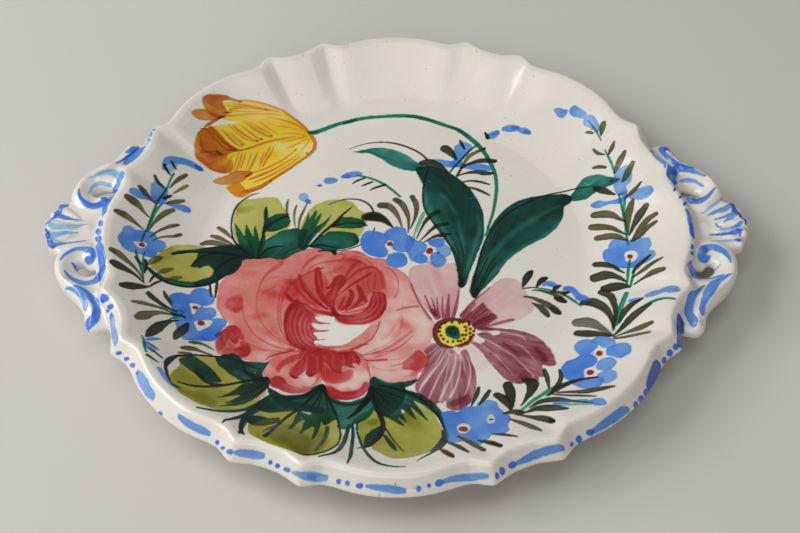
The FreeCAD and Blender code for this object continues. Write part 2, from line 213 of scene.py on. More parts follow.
    def wash(self, pts, colour, d=1.0, tones=(), pool=0.12, wob=0.25,
             soft=0.0, grain=0.05, centre=None, rays=0.0, rings=0.0,
             pitch=1.0, power=2.5, sharp=False, cut=0.0, mottle=0.06):
        """One filled shape.  tones rows are x, y, density.  centre, rays and
        rings lay the brush hairs out from a point or round it."""
        self.count += 1
        seed = self.count
        c = np.asarray(pts, float) if sharp else spline(pts, 1.0, True)
        win = self.window(c[:, :2].min(0), c[:, :2].max(0), 1.5 + soft)
        if win is None:
            return
        js, xs, x, y = win
        inside = np.zeros((y.shape[0], x.shape[1]), bool)
        near = np.full(inside.shape, 1e9, np.float32)
        n = len(c)
        for k in range(n):
            ax, ay = c[k, 0], c[k, 1]
            bx, by = c[(k + 1) % n, 0], c[(k + 1) % n, 1]
            if ay != by:
                hit = (y > min(ay, by)) & (y <= max(ay, by))
                xi = ax + (y - ay) * (bx - ax) / (by - ay)
                inside ^= hit & (x < xi)
            dx, dy = bx - ax, by - ay
            l2 = dx * dx + dy * dy + 1e-9
            t = np.clip(((x - ax) * dx + (y - ay) * dy) / l2, 0, 1)
            ex, ey = x - (ax + t * dx), y - (ay + t * dy)
            np.minimum(near, ex * ex + ey * ey, out=near)
        near = np.sqrt(near)
        sd = np.where(inside, -near, near)
        sd = sd + wob * vnoise(x / 2.1 + seed, y / 2.1, seed)
        aa = max(self.px * 0.6, 0.09) + soft
        cov = np.clip(0.5 - sd / (2 * aa), 0, 1)
        cov = cov * cov * (3 - 2 * cov)
        depth = np.clip(-sd, 0, None)
        rho = np.ones_like(cov)
        if len(tones):
            num = np.zeros_like(cov)
            den = np.zeros_like(cov)
            for tx, ty, td in tones:
                r2 = (x - tx) ** 2 + (y - ty) ** 2 + 1.5
                wgt = r2 ** (-power / 2)
                num += wgt * td
                den += wgt
            rho = num / den
        rho = rho * (1 + pool * (1.7 * np.exp(-depth / 0.45) - 0.3))
        rho = rho * (1 + mottle * vnoise(x / 4.0, y / 4.0, seed + 3))
        if centre is not None:
            cx, cy = centre
            rr = np.hypot(x - cx, y - cy)
            th = np.arctan2(y - cy, x - cx)
            if rays:
                rho = rho * (1 + rays * (0.6 * vnoise(th * 26 / pitch,
                                                      rr / 18.0, seed + 11)
                                         + 0.6 * vnoise(th * 60 / pitch,
                                                        rr / 12.0, seed + 12)))
            if rings:
                rho = rho * (1 + rings * (0.6 * vnoise(rr / (1.1 * pitch),
                                                       th * 2.4, seed + 13)
                                          + 0.6 * vnoise(rr / (0.45 * pitch),
                                                         th * 3.6, seed + 14)))
        rho = rho * (1 + grain * vnoise(x / 0.55, y / 0.55, 5))
        self.lay(js, xs, np.clip(d * rho, 0, None) * cov, colour, cut=cut)

    def dab(self, x, y, r, colour, d=1.0, squash=1.0, turn=0.0, **kw):
        """A round or oval touch of the brush."""
        a = np.linspace(0, 2 * np.pi, 10, endpoint=False)
        ca, sa = math.cos(math.radians(turn)), math.sin(math.radians(turn))
        px, py = r * np.cos(a), r * squash * np.sin(a)
        pts = np.c_[x + px * ca - py * sa, y + px * sa + py * ca]
        self.wash(pts, colour, d, **kw)

    def sample(self, x, y):
        """Colour of the painted glaze, linear, relative to bare glaze."""
        u = np.clip((np.asarray(x) - self.x0) / self.px - 0.5, 0, self.w - 1.001)
        v = np.clip((np.asarray(y) - self.y0) / self.px - 0.5, 0, self.h - 1.001)
        i = u.astype(int)
        j = v.astype(int)
        fu = (u - i)[:, None]
        fv = (v - j)[:, None]
        a = self.ink[j, i] * (1 - fu) + self.ink[j, i + 1] * fu
        b = self.ink[j + 1, i] * (1 - fu) + self.ink[j + 1, i + 1] * fu
        return np.exp(-(a * (1 - fv) + b * fv))

# -------------------------------------------------------------- colours ---
PALETTE = {
    'amb': (206, 146, 60),
    'amb2': (190, 116, 44),
    'bld': (62, 84, 150),
    'blk': (34, 42, 38),
    'blu': (92, 140, 212),
    'blu2': (58, 94, 188),
    'blup': (146, 180, 228),
    'br2': (112, 84, 52),
    'brk': (96, 42, 34),
    'brn': (158, 90, 42),
    'crm': (172, 50, 58),
    'crmd': (136, 34, 42),
    'cyel': (228, 206, 80),
    'dkb': (92, 50, 28),
    'gdk': (22, 58, 54),
    'gmid': (24, 96, 84),
    'grn': (24, 88, 72),
    'grn2': (22, 66, 58),
    'mau': (205, 158, 158),
    'ol': (112, 108, 82),
    'old': (62, 62, 46),
    'oli': (118, 110, 72),
    'olk': (48, 48, 40),
    'plm': (146, 84, 94),
    'plmd': (112, 50, 64),
    'pnk': (209, 136, 130),
    'red': (134, 44, 38),
    'rim': (84, 132, 208),
    'rim_dark_and_shade': (50, 84, 168),
    # darker blue: dark brushwork on the handles, and painted shade on the dashes and dots of the right-hand flange,
    # which faces away from the light
    'rimp': (140, 178, 224),
    'ros': (196, 96, 98),
    'teal': (26, 122, 98),
    'tealp': (96, 170, 148),
    'wht': (226, 221, 213),
    'yel': (226, 196, 62),
    'yg': (172, 170, 84),
    'ygd': (140, 146, 58),
    'ygk': (128, 124, 58),
}
# share of the colour below that a full coat covers
CUT = {
    'amb': 0.35,
    'amb2': 0.45,
    'bld': 0.3,
    'blk': 0.6,
    'blu': 0.72,
    'blu2': 0.5,
    'brn': 0.5,
    'crm': 0.8,
    'crmd': 0.5,
    'cyel': 0.6,
    'dkb': 0.5,
    'gdk': 0.35,
    'gmid': 0.3,
    'grn': 0.6,
    'grn2': 0.7,
    'ol': 0.35,
    'old': 0.5,
    'oli': 0.3,
    'olk': 0.6,
    'plm': 0.35,
    'plmd': 0.4,
    'red': 0.7,
    'rim': 0.5,
    'rim_dark_and_shade': 0.6,
    'rimp': 0.5,
    'ros': 0.2,
    'teal': 0.5,
    'ygd': 0.2,
}

# Brush work in plan millimetres.  b: path of (x, y, half width[, density]);
# w: outline of a filled touch.
OPS = [
    ('w', 'yel', [(-44,78.9), (-47.2,82.7), (-51.9,86.6), (-57.6,89.9), (-64.2,91), (-70.7,91.6), (-77.2,90.7), (-84,88.7), (-85.9,87.6), (-86.7,83.4), (-85.7,81.3), (-86.6,79.5), (-83.6,78.9), (-79.7,79.5), (-77.2,79.9), (-83.5,77), (-89.7,73.9), (-93.4,71.5), (-95.7,68.6), (-97.3,65.3), (-97.8,61.1), (-97.3,56.7), (-94.7,52.9), (-89.8,50.2), (-83.9,49.5), (-80.1,50.3), (-78.3,51.6), (-75.3,51.2), (-75.6,47.6), (-77.3,44.2), (-81.5,42.3), (-82,40.3), (-79.3,37.5), (-75.2,35.6), (-71.4,37.6), (-64.8,40.8), (-60.1,45.1), (-53,52), (-45.8,59.7), (-42.4,64.7), (-40.6,70.6), (-41.8,75.7)], {'pool': 0.05, 'wob': 0.15, 'power': 3, 'rays': 0.06, 'tones': [(-46.6, 78.7, 1.25), (-56.9, 82.7, 1.15), (-64.4, 82, 1.2), (-73.7, 79, 0.9), (-76.4, 72.7, 0.95), (-66.6, 73.6, 1), (-60.6, 64, 1.1), (-57.4, 69.5, 0.45), (-54.1, 75.4, 0.9), (-82, 87.9, 0.75), (-83.9, 86.3, 0.7), (-67, 86.5, 0.85), (-62, 84.7, 1.1), (-71.8, 42.4, 0.75), (-69, 44.5, 0.8), (-44.7, 67.7, 0.35), (-48.6, 64.2, 0.7), (-79.2, 68.6, 0.9), (-74, 54.2, 0.8), (-80.7, 80.6, 0.8), (-89.7, 64.7, 1.2), (-65.5, 52.2, 0.9)], 'centre': (-41.5, 77.8), 'd': 1.12}),
    ('w', 'amb2', [(-95.8,86.8), (-94.2,89.1), (-90,90.9), (-85.1,91.9), (-81.1,91.1), (-77.6,90.6), (-82.1,89.8), (-86.2,88.4), (-84.9,85.5), (-83,83), (-84.7,81.1), (-88,79.1), (-91.4,79.5), (-93.9,81.7)], {'pool': 0.15, 'rays': 0.14, 'tones': [(-94.2, 87.8, 0.9), (-89.9, 89.5, 1.3), (-85.1, 90.8, 1.15), (-81.1, 90.5, 0.85), (-89.7, 84.1, 1.25), (-86.7, 82.3, 0.95), (-93.5, 83.6, 0.85), (-83.8, 82.6, 0.8)], 'centre': (-44.1, 78.9)}),
    ('w', 'brn', [(-95.2,87.8), (-92.9,89.8), (-87.1,91.4), (-84.1,90.7), (-88,89.2), (-90.7,85.5), (-92.7,85.5)], {'d': 0.35, 'soft': 0.8, 'pool': 0}),
    ('w', 'amb2', [(-100.7,77.7), (-97.3,80.8), (-94.3,81.4), (-90.5,81.2), (-86.6,80.7), (-84.4,80.7), (-87.5,78.4), (-92.2,76), (-96.7,75.1), (-99.4,75.9)], {'pool': 0.2, 'rays': 0.1, 'tones': [(-99.1, 78, 0.8), (-94.7, 78.3, 0.75), (-89.9, 79.2, 1), (-85.6, 80.4, 1.1), (-96.3, 80, 0.9), (-93.2, 76.6, 0.7)], 'centre': (-44.1, 78.9)}),
    ('b', 'amb2', [(-85.6,80.9,0.29), (-88.9,77.6,0.58), (-91.7,74.6,0.76), (-93.9,72.1,0.28)], {'streak': 0.3, 'end': 0.5}),
    ('b', 'brn', [(-86.6,79.9,0.19), (-89.8,76.2,0.29), (-93.5,72.5,0.19)], {'d': 0.5}),
    ('b', 'amb', [(-79.6,90.4,0.26), (-74.2,91.6,0.44), (-68.2,91.6,0.55), (-62.2,90.7,0.51), (-56,89.2,0.46), (-50.4,86,0.64), (-45.7,82.4,0.69), (-43.2,79,0.52)], {'streak': 0.25, 'pool': 0.3}),
    ('b', 'amb2', [(-53,87.7,0.11), (-48.8,84.4,0.29), (-45.2,81.2,0.4), (-43,78.3,0.46)], {'d': 0.6}),
    ('b', 'amb', [(-83.7,81.4,0.43), (-78.8,83,0.32), (-73,85,0.27), (-67,86.1,0.27), (-61.5,86.9,0.22), (-57.7,86.8,0.11)], {'streak': 0.2}),
    ('b', 'amb', [(-82.6,85.1,0.41), (-78,87.4,0.85), (-72.6,88.5,0.99), (-67.1,88.6,0.79), (-64.1,88.3,0.39)], {'streak': 0.55, 'dry': 0.45, 'd': 0.9}),
    ('b', 'amb', [(-81,88.3,0.32), (-75.1,89.1,0.5), (-69.6,88.8,0.5), (-64.1,88.7,0.45), (-59.1,88.5,0.22)], {'streak': 0.5, 'dry': 0.3}),
    ('b', 'amb', [(-83.9,86.9,0.16), (-79.5,87.4,0.27), (-74.1,88.4,0.16)], {'dry': 0.3}),
    ('b', 'amb', [(-82.4,84.6,0.22), (-78,85.4,0.27), (-72,86.4,0.22), (-67.1,87.2,0.17)], {'dry': 0.3, 'd': 0.8}),
    ('b', 'amb2', [(-44,79.5,0.51), (-41.7,76.4,0.95), (-40.2,72.1,0.86), (-40.6,67.7,0.92), (-43,63.7,0.85), (-47.3,59.2,0.74), (-53.1,53.5,0.67), (-58.3,48.6,0.73), (-62,44.8,0.93), (-65.8,41.7,1.22), (-70.1,39.6,1.24), (-73.5,38.6,0.83)], {'streak': 0.3, 'pool': 0.25, 'd': 0.9}),
    ('w', 'amb', [(-81.5,40.9), (-78.2,43.6), (-75.4,44.5), (-73.9,41.7), (-71.1,39.8), (-66.7,40.8), (-62.1,45.1), (-64.8,41), (-69.5,37.8), (-72.3,35.5), (-75.1,34.5), (-78.2,36.2), (-80.1,38.7)], {'pool': 0.15, 'tones': [(-79.4, 39.4, 0.9), (-75.3, 36.9, 1.3), (-71.5, 38.3, 1.1), (-66.7, 40.3, 0.9), (-76.7, 43, 1)]}),
    ('w', 'amb2', [(-88.8,42.8), (-85.6,45.9), (-81.9,48.4), (-80.1,50.3), (-75.4,52.2), (-69.8,51.8), (-71.7,49), (-74.9,45.1), (-77.8,43.6), (-81.6,42.4), (-85.9,42)], {'pool': 0.25, 'rays': 0.12, 'tones': [(-86.9, 43.6, 0.7), (-81.8, 46.6, 0.95), (-77.6, 49.2, 1), (-72.4, 51.2, 1.15), (-75, 46.4, 0.75), (-81.6, 43.5, 0.7)], 'centre': (-44.1, 78.9)}),
    ('w', 'amb2', [(-97.9,57.7), (-98.1,61), (-97.3,65.3), (-95.7,69.4), (-93.3,71.5), (-90.1,73.5), (-87.6,71), (-84,68), (-81,65.9), (-78,63.7), (-80.8,61.5), (-82.6,58.5), (-80,56.7), (-80.1,50.6), (-82,49.2), (-85.8,48.8), (-89.7,49.6), (-93.7,52), (-96.9,54.5)], {'pool': 0.18, 'rays': 0.3, 'power': 3.2, 'soft': 0.1, 'tones': [(-96.8, 63.7, 0.75), (-97, 59.1, 0.7), (-94.2, 67.9, 1.05), (-93.8, 61.3, 1.35), (-90.7, 65.6, 1.1), (-89.6, 71.6, 1.2), (-86.8, 64.4, 0.95), (-90.3, 58.3, 1.5), (-86.9, 59.2, 1.6), (-82.7, 62, 1.1), (-93.3, 53.9, 1.3), (-88.9, 51.6, 1.35), (-84, 51, 1.25), (-86.3, 55.8, 0.8), (-82.4, 56.2, 0.55), (-80.7, 51.7, 0.8), (-83.9, 65.2, 0.9), (-95.4, 56.1, 1.3)], 'centre': (-76, 64.1)}),
    ('b', 'brn', [(-95.5,66.4,0.31), (-94.8,62.1,0.73), (-93.7,59,0.7), (-90.8,58.4,0.59), (-87.9,58.3,0.47), (-84.5,59.5,0.23)], {'d': 0.55, 'streak': 0.4, 'soft': 0.3}),
    ('b', 'brn', [(-97.3,55.9,0.33), (-93.6,57.7,0.44), (-89.4,59.5,0.38), (-87,60.9,0.27)], {'d': 0.55, 'streak': 0.3, 'soft': 0.2}),
    ('b', 'brn', [(-93.9,71.4,0.47), (-91.9,70.9,0.7), (-89.9,68.1,0.57), (-87.3,65.4,0.47), (-84.8,63.8,0.3)], {'d': 0.4, 'streak': 0.5, 'dry': 0.3}),
    ('b', 'brn', [(-96.6,53.9,0.24), (-93.2,51.6,0.42), (-88.8,49.8,0.48), (-83.9,49.4,0.43), (-80.6,50.5,0.24)], {'d': 0.35, 'soft': 0.4}),
    ('b', 'dkb', [(-87.8,60.7,0.18), (-86.2,59.6,0.72), (-84.5,59.3,0.24)], {'d': 0.7}),
    ('b', 'dkb', [(-88.3,57.9,0.09), (-87.5,59.9,0.19), (-87.9,60.7,0.11)], {'d': 0.6}),
    ('b', 'amb2', [(-78.9,62.8,0.27), (-73.1,65.8,0.34), (-67.4,69.4,0.34), (-61,72.6,0.29), (-55.1,74.8,0.24), (-50.2,76.5,0.12)], {'streak': 0.1}),
    ('b', 'amb', [(-76,64.1,0.23), (-69.3,67.7,0.28), (-61.5,72.1,0.29), (-51.6,75,0.24), (-45,77,0.26)], {'d': 0.7}),
    ('b', 'amb2', [(-91.4,73.6,0.17), (-87.5,68.8,0.52), (-82.9,65.4,0.53), (-78.9,63.5,0.24)], {'streak': 0.6, 'dry': 0.45, 'd': 0.8, 'end': 0.5, 'soft': 0.04}),
    ('b', 'amb2', [(-89.6,73.2,0.17), (-86,69.2,0.41), (-81.5,65.8,0.42), (-76.5,64,0.18)], {'streak': 0.6, 'dry': 0.45, 'd': 0.8, 'end': 0.5, 'soft': 0.04}),
    ('b', 'amb2', [(-88.4,72.5,0.17), (-83,66.6,0.35), (-79.9,63.2,0.17)], {'streak': 0.6, 'dry': 0.45, 'd': 0.8, 'end': 0.5, 'soft': 0.04}),
    ('b', 'amb2', [(-85.8,73.2,0.29), (-82.2,70.2,0.7), (-78.1,67.1,0.47), (-75.1,66.4,0.18)], {'streak': 0.6, 'dry': 0.45, 'd': 0.8, 'end': 0.5, 'soft': 0.04}),
    ('b', 'amb2', [(-83.8,73.4,0.17), (-79.2,69.8,0.41), (-76.2,67.9,0.18)], {'streak': 0.6, 'dry': 0.45, 'd': 0.8, 'end': 0.5, 'soft': 0.04}),
    ('b', 'amb2', [(-81.3,72.7,0.12), (-76.8,69.2,0.24), (-73.4,67.5,0.12)], {'streak': 0.6, 'dry': 0.45, 'd': 0.8, 'end': 0.5, 'soft': 0.04}),
    ('b', 'amb2', [(-82.6,76.8,0.12), (-79.5,74.3,0.23), (-74.9,71.3,0.24), (-69.9,70.3,0.12)], {'streak': 0.6, 'dry': 0.45, 'd': 0.8, 'end': 0.5, 'soft': 0.04}),
    ('b', 'amb2', [(-80.6,76.8,0.29), (-77,74.3,0.58), (-72,72,0.41), (-68.3,71,0.18)], {'streak': 0.6, 'dry': 0.45, 'd': 0.8, 'end': 0.5, 'soft': 0.04}),
    ('b', 'amb2', [(-76.4,77.7,0.23), (-72.6,75.3,0.47), (-68.5,72.7,0.3), (-66.3,72.3,0.12)], {'streak': 0.6, 'dry': 0.45, 'd': 0.8, 'end': 0.5, 'soft': 0.04}),
    ('b', 'amb2', [(-75.7,80.7,0.17), (-72.2,78.7,0.64), (-67.7,76.5,0.7), (-63.6,74.9,0.42), (-61.6,74.4,0.12)], {'streak': 0.6, 'dry': 0.45, 'd': 0.8, 'end': 0.5, 'soft': 0.04}),
    ('b', 'amb2', [(-72.3,80.5,0.17), (-67.8,78.5,0.47), (-62.2,76.1,0.24)], {'streak': 0.6, 'dry': 0.45, 'd': 0.8, 'end': 0.5, 'soft': 0.04}),
    ('b', 'amb2', [(-68.3,82.2,0.17), (-64.8,79.7,0.41), (-61.2,77.7,0.3), (-58.9,76.8,0.12)], {'streak': 0.6, 'dry': 0.45, 'd': 0.8, 'end': 0.5, 'soft': 0.04}),
    ('b', 'brn', [(-78,63.7,0.18), (-82.9,65.4,0.53), (-87.5,68.8,0.35)], {'d': 0.55, 'dry': 0.5, 'streak': 0.5}),
    ('b', 'brn', [(-76,64.1,0.12), (-80,65,0.3), (-83,67.1,0.23)], {'d': 0.55, 'dry': 0.5, 'streak': 0.5}),
    ('b', 'brn', [(-81.3,62.9,0.12), (-84.8,63.8,0.3), (-87.4,66.5,0.23)], {'d': 0.55, 'dry': 0.5, 'streak': 0.5}),
    ('b', 'brn', [(-80.3,61.4,0.12), (-83.7,62.3,0.24), (-85.8,64.7,0.17)], {'d': 0.55, 'dry': 0.5, 'streak': 0.5}),
    ('b', 'amb2', [(-74,63.4,0.1), (-74.5,59,0.29), (-75.9,53.5,0.19)], {'streak': 0.6, 'dry': 0.35, 'd': 0.75, 'end': 0.4, 'soft': 0.04}),
    ('b', 'amb2', [(-75.4,63.5,0.1), (-76.2,58.6,0.48), (-77.6,52.3,0.44), (-78.2,51,0.15)], {'streak': 0.6, 'dry': 0.35, 'd': 0.75, 'end': 0.4, 'soft': 0.04}),
    ('b', 'amb2', [(-77,63.3,0.1), (-78.1,57.7,0.29), (-79.1,51.3,0.14)], {'streak': 0.6, 'dry': 0.35, 'd': 0.75, 'end': 0.4, 'soft': 0.04}),
    ('b', 'amb2', [(-71,64,0.1), (-72.1,58.8,0.29), (-73.4,53.2,0.15)], {'streak': 0.6, 'dry': 0.35, 'd': 0.75, 'end': 0.4, 'soft': 0.04}),
    ('b', 'amb2', [(-67.9,65,0.1), (-69.4,60.5,0.4), (-70.7,56,0.51), (-71.9,52.4,0.26)], {'streak': 0.6, 'dry': 0.35, 'd': 0.75, 'end': 0.4, 'soft': 0.04}),
    ('b', 'amb2', [(-62.1,69,0.2), (-63.7,64.4,0.41), (-65.9,59,0.32), (-67,54.4,0.11)], {'streak': 0.6, 'dry': 0.35, 'd': 0.75, 'end': 0.4, 'soft': 0.04}),
    ('b', 'amb2', [(-60.3,69.3,0.1), (-61.9,64.6,0.43), (-63.9,59.8,0.64), (-65.4,55.7,0.29)], {'streak': 0.6, 'dry': 0.35, 'd': 0.75, 'end': 0.4, 'soft': 0.04}),
    ('b', 'amb2', [(-64.7,65.5,0.1), (-66.4,60.3,0.25), (-66.6,55,0.1)], {'streak': 0.6, 'dry': 0.35, 'd': 0.75, 'end': 0.4, 'soft': 0.04}),
    ('b', 'amb', [(-78.8,61.7,0.15), (-80.6,58.4,0.34), (-81.3,53.4,0.29), (-80.1,50.6,0.11)], {'streak': 0.5, 'dry': 0.3, 'd': 0.8}),
    ('b', 'amb', [(-80.7,60.1,0.14), (-81.9,56.3,0.29), (-82.2,52,0.19)], {'streak': 0.5, 'dry': 0.3, 'd': 0.8}),
    ('b', 'amb2', [(-64,85,0.11), (-58.9,84.8,0.29), (-53.9,84.2,0.41), (-49.3,82.8,0.41), (-44.3,79.5,0.3)], {'streak': 0.35, 'dry': 0.15, 'd': 0.75}),
    ('b', 'amb2', [(-58.9,80.9,0.17), (-54.3,81.1,0.24), (-49.7,80.5,0.24), (-45.1,79.1,0.18)], {'streak': 0.35, 'dry': 0.15, 'd': 0.75}),
    ('b', 'amb2', [(-57.3,76.7,0.12), (-52.7,77.9,0.24), (-45.1,77.6,0.26)], {'streak': 0.35, 'dry': 0.15, 'd': 0.75}),
    ('b', 'amb2', [(-57,71.9,0.12), (-52,73.8,0.25), (-44.5,76.8,0.26)], {'streak': 0.35, 'dry': 0.15, 'd': 0.75}),
    ('b', 'amb2', [(-54.3,68.3,0.13), (-50.9,70.3,0.27), (-44,75.7,0.31)], {'streak': 0.35, 'dry': 0.15, 'd': 0.75}),
    ('b', 'amb2', [(-47.1,66.3,0.12), (-44.8,70.7,0.24), (-42.9,75,0.24)], {'streak': 0.35, 'dry': 0.15, 'd': 0.75}),
    ('b', 'amb2', [(-69.8,51.8,0.2), (-65.6,53.6,0.48), (-60.2,56.7,0.56), (-55.4,60.6,0.48), (-52.1,64.3,0.33), (-49.6,67.7,0.2)], {'streak': 0.35, 'dry': 0.15, 'd': 0.75}),
    ('b', 'amb2', [(-71.1,47.1,0.54), (-66.3,49.7,0.83), (-61,52.8,0.55), (-55.8,57,0.41), (-50.9,61.3,0.27), (-48,64.9,0.13)], {'streak': 0.35, 'dry': 0.15, 'd': 0.75}),
    ('b', 'amb2', [(-69,45,0.28), (-63.7,47.9,0.55), (-58.5,51.7,0.48), (-53.2,56.3,0.34), (-47.4,62.7,0.2)], {'streak': 0.35, 'dry': 0.15, 'd': 0.75}),
    ('b', 'amb2', [(-64.9,43.7,0.2), (-57.8,48.6,0.34), (-50.6,54.8,0.27)], {'streak': 0.35, 'dry': 0.15, 'd': 0.75}),
    ('b', 'dkb', [(-78.4,90.2,0.37), (-76.9,90.5,0.27)], {'d': 0.75, 'soft': 0.06}),
    ('b', 'dkb', [(-85,82.7,0.16), (-83.3,83.4,0.38), (-81.8,83.7,0.11)], {'d': 0.75, 'soft': 0.06}),
    ('b', 'dkb', [(-88.5,78.5,0.1), (-86.6,79.9,0.36), (-84.2,81.3,0.15)], {'d': 0.75, 'soft': 0.06}),
    ('b', 'dkb', [(-68.9,71.1,0.6), (-68,71.1,0.24)], {'d': 0.75, 'soft': 0.06}),
    ('b', 'dkb', [(-66.9,72.4,0.48), (-66,72.5,0.18)], {'d': 0.75, 'soft': 0.06}),
    ('b', 'dkb', [(-62.4,75.1,0.36), (-61.5,75.1,0.18)], {'d': 0.75, 'soft': 0.06}),
    ('b', 'dkb', [(-73.6,65.6,0.23), (-72.3,66.1,0.23)], {'d': 0.75, 'soft': 0.06}),
    ('b', 'dkb', [(-95.5,70.3,0.21), (-93.6,71,0.33)], {'d': 0.75, 'soft': 0.06}),
    ('b', 'dkb', [(-50.1,67.1,0.2), (-49.4,67.8,0.27)], {'d': 0.75, 'soft': 0.06}),
    ('b', 'dkb', [(-44.1,65.2,0.4), (-43.4,64.7,0.27)], {'d': 0.75, 'soft': 0.06}),
    ('b', 'dkb', [(-60.9,45.8,0.41), (-60.3,46.2,0.2)], {'d': 0.75, 'soft': 0.06}),
    ('b', 'dkb', [(-73.4,48.5,0.18), (-71.5,50,0.37), (-69.8,51.7,0.19)], {'d': 0.75, 'soft': 0.06}),
    ('b', 'dkb', [(-76.5,64,0.32), (-76,64.5,0.16)], {'d': 0.75, 'soft': 0.06}),
    ('b', 'dkb', [(-78.4,63.6,0.35), (-82.8,62.7,0.23)], {'d': 0.75, 'soft': 0.06}),
    ('b', 'dkb', [(-76.2,67.5,0.28), (-75.2,67.8,0.17)], {'d': 0.75, 'soft': 0.06}),
    ('b', 'dkb', [(-65.4,88.9,0.34), (-64.6,88.6,0.29)], {'d': 0.75, 'soft': 0.06}),
    ('b', 'dkb', [(-82.4,85.1,0.17), (-81.9,85.2,0.17)], {'d': 0.75, 'soft': 0.06}),
    ('b', 'teal', [(-43.3,79.4,0.55), (-41,79.4,1.28), (-38,80.6,1.19), (-33.1,83.3,1.1), (-28.1,85.6,1.04), (-24.1,86.9,1.16), (-20.1,88.4,1), (-13,89.9,0.94), (-5.9,90.6,0.94), (1.2,91,1), (8.3,90.6,1.05), (14.3,89,1.1), (20.4,86.5,1.07), (25.3,84.1,1.07), (29.8,81.9,1.02), (34.2,78.3,1.26), (38,73.9,1.29), (41.8,68.4,1.23), (44.5,62.8,1.12), (46.7,56.4,1.03), (48.3,49.5,0.91), (48.6,41.3,0.82), (47.6,31.9,0.77), (45.8,22.6,0.67), (43.2,13.6,0.53)], {'pool': 0.25, 'streak': 0.2, 'd': 1.1}),
    ('b', 'grn2', [(-43.2,79.4,0.86), (-41,79.3,1.16), (-39,79.9,0.76)], {'d': 0.56}),
    ('b', 'grn2', [(-26.1,85.9,0.5), (-23.1,87.1,0.92), (-20.1,88.1,0.48)], {'d': 0.672}),
    ('b', 'grn2', [(4.2,90.7,0.29), (12.3,89.7,0.48), (19.4,87.3,0.38)], {'d': 0.448}),
    ('b', 'grn2', [(28.3,83.3,0.49), (32.3,80.6,0.9), (36.1,76.5,0.52)], {'d': 0.56}),
    ('w', 'yg', [(-76.4,24.1), (-74.9,30.4), (-72.3,33.2), (-66.9,34.1), (-62.3,34.6), (-57,34.1), (-54.7,30.2), (-52.2,25.7), (-50.1,19.4), (-49.9,15.1), (-52.5,12.7), (-60.7,7.9), (-64,3.1), (-70.6,3.1), (-73.9,5.6), (-76.2,11.7), (-76.9,17.8)], {'pool': 0.1, 'mottle': 0.16, 'tones': [(-73.3, 27.2, 1.05), (-68, 30.9, 0.85), (-62.2, 32.8, 1), (-57.9, 30.2, 0.85), (-55.8, 25.1, 0.9), (-74.3, 22.2, 0.8), (-67.2, 19, 0.95), (-61.7, 16.4, 1), (-55.2, 13.9, 0.85), (-51.7, 16.4, 0.9), (-68.8, 8, 1), (-71.5, 14.7, 0.9), (-63.8, 7.9, 1.1)]}),
    ('w', 'ygd', [(-76.1,28.5), (-72.4,28.4), (-67.9,28.7), (-67.7,26.5), (-72.2,24.6), (-75.8,24.7)], {'d': 0.35, 'soft': 1.2, 'pool': 0}),
    ('w', 'yg', [(-44.8,13.2), (-42.1,23.7), (-39.6,28.4), (-35.6,31.2), (-31.5,32.6), (-25.5,32.7), (-20.9,31.1), (-17.6,26.6), (-14.2,23.1), (-13.9,17.2), (-16,11.1), (-18.2,7.5), (-26.3,10), (-36.2,11.3)], {'pool': 0.1, 'mottle': 0.14, 'tones': [(-40.4, 26.2, 0.95), (-35.9, 28.7, 0.9), (-30, 29.9, 0.85), (-25.5, 30.5, 1.1), (-20.8, 26.6, 0.85), (-16.7, 23.5, 0.8), (-27.6, 23.6, 0.8), (-35.5, 16.2, 1), (-26.4, 12.4, 0.95), (-17.4, 12.3, 0.85), (-33.4, 21.8, 0.9)]}),
    ('w', 'grn', [(-76,17.8), (-73.7,14.1), (-70.9,9.8), (-70.9,15.9), (-70.7,17.2), (-68.6,12.8), (-66.6,9.1), (-66.9,14), (-66.4,16.5), (-65,11.6), (-64.1,7.9), (-63.5,3.1), (-64.4,-4.7), (-66.8,-1.7), (-70.6,3.1), (-72.4,3.2), (-74.1,8)], {'pool': 0.15, 'wob': 0.12, 'sharp': False, 'rays': 0.22, 'tones': [(-74.5, 13.5, 0.85), (-70.4, 12.8, 0.9), (-66.4, 13.4, 0.85), (-70.8, 5.6, 0.8), (-67.2, 5.5, 1.1), (-66, -0.5, 1.35)], 'centre': (-64.8, -4.7), 'd': 1.15}),
    ('w', 'grn', [(-62.3,11.5), (-62.3,18.9), (-62.8,26.4), (-62,28.8), (-60.8,25.2), (-60.5,21.4), (-57.5,23.2), (-53.9,24), (-51.4,23.5), (-51.1,21.6), (-55.6,20.7), (-59,17.7), (-61,13.4), (-59.2,12.7), (-55.2,13.3), (-51.7,15.7), (-50,18.9), (-50.8,15.7), (-53.4,13.9), (-57.8,12.4), (-61,12), (-61,5.5), (-63.5,-4.1), (-64.4,-4.7), (-63.7,5.5)], {'pool': 0.15, 'wob': 0.12, 'rays': 0.2, 'tones': [(-61.8, 26.4, 1), (-61.3, 17.7, 1.2), (-55.7, 22.6, 0.9), (-53, 23.2, 0.9), (-62.2, 10.3, 1), (-63.3, -0.5, 1.3)], 'centre': (-63.9, -4.7), 'd': 1.15}),
    ('w', 'grn', [(-61,13.4), (-59.5,17.7), (-55.6,20.7), (-52,21.6), (-49.9,19.1), (-51.7,15.7), (-55.2,13.3), (-59.2,12.6)], {'pool': 0.15, 'tones': [(-52.8, 19.5, 0.9), (-57.2, 16.4, 1), (-60.1, 13.4, 1.15)], 'd': 1.15}),
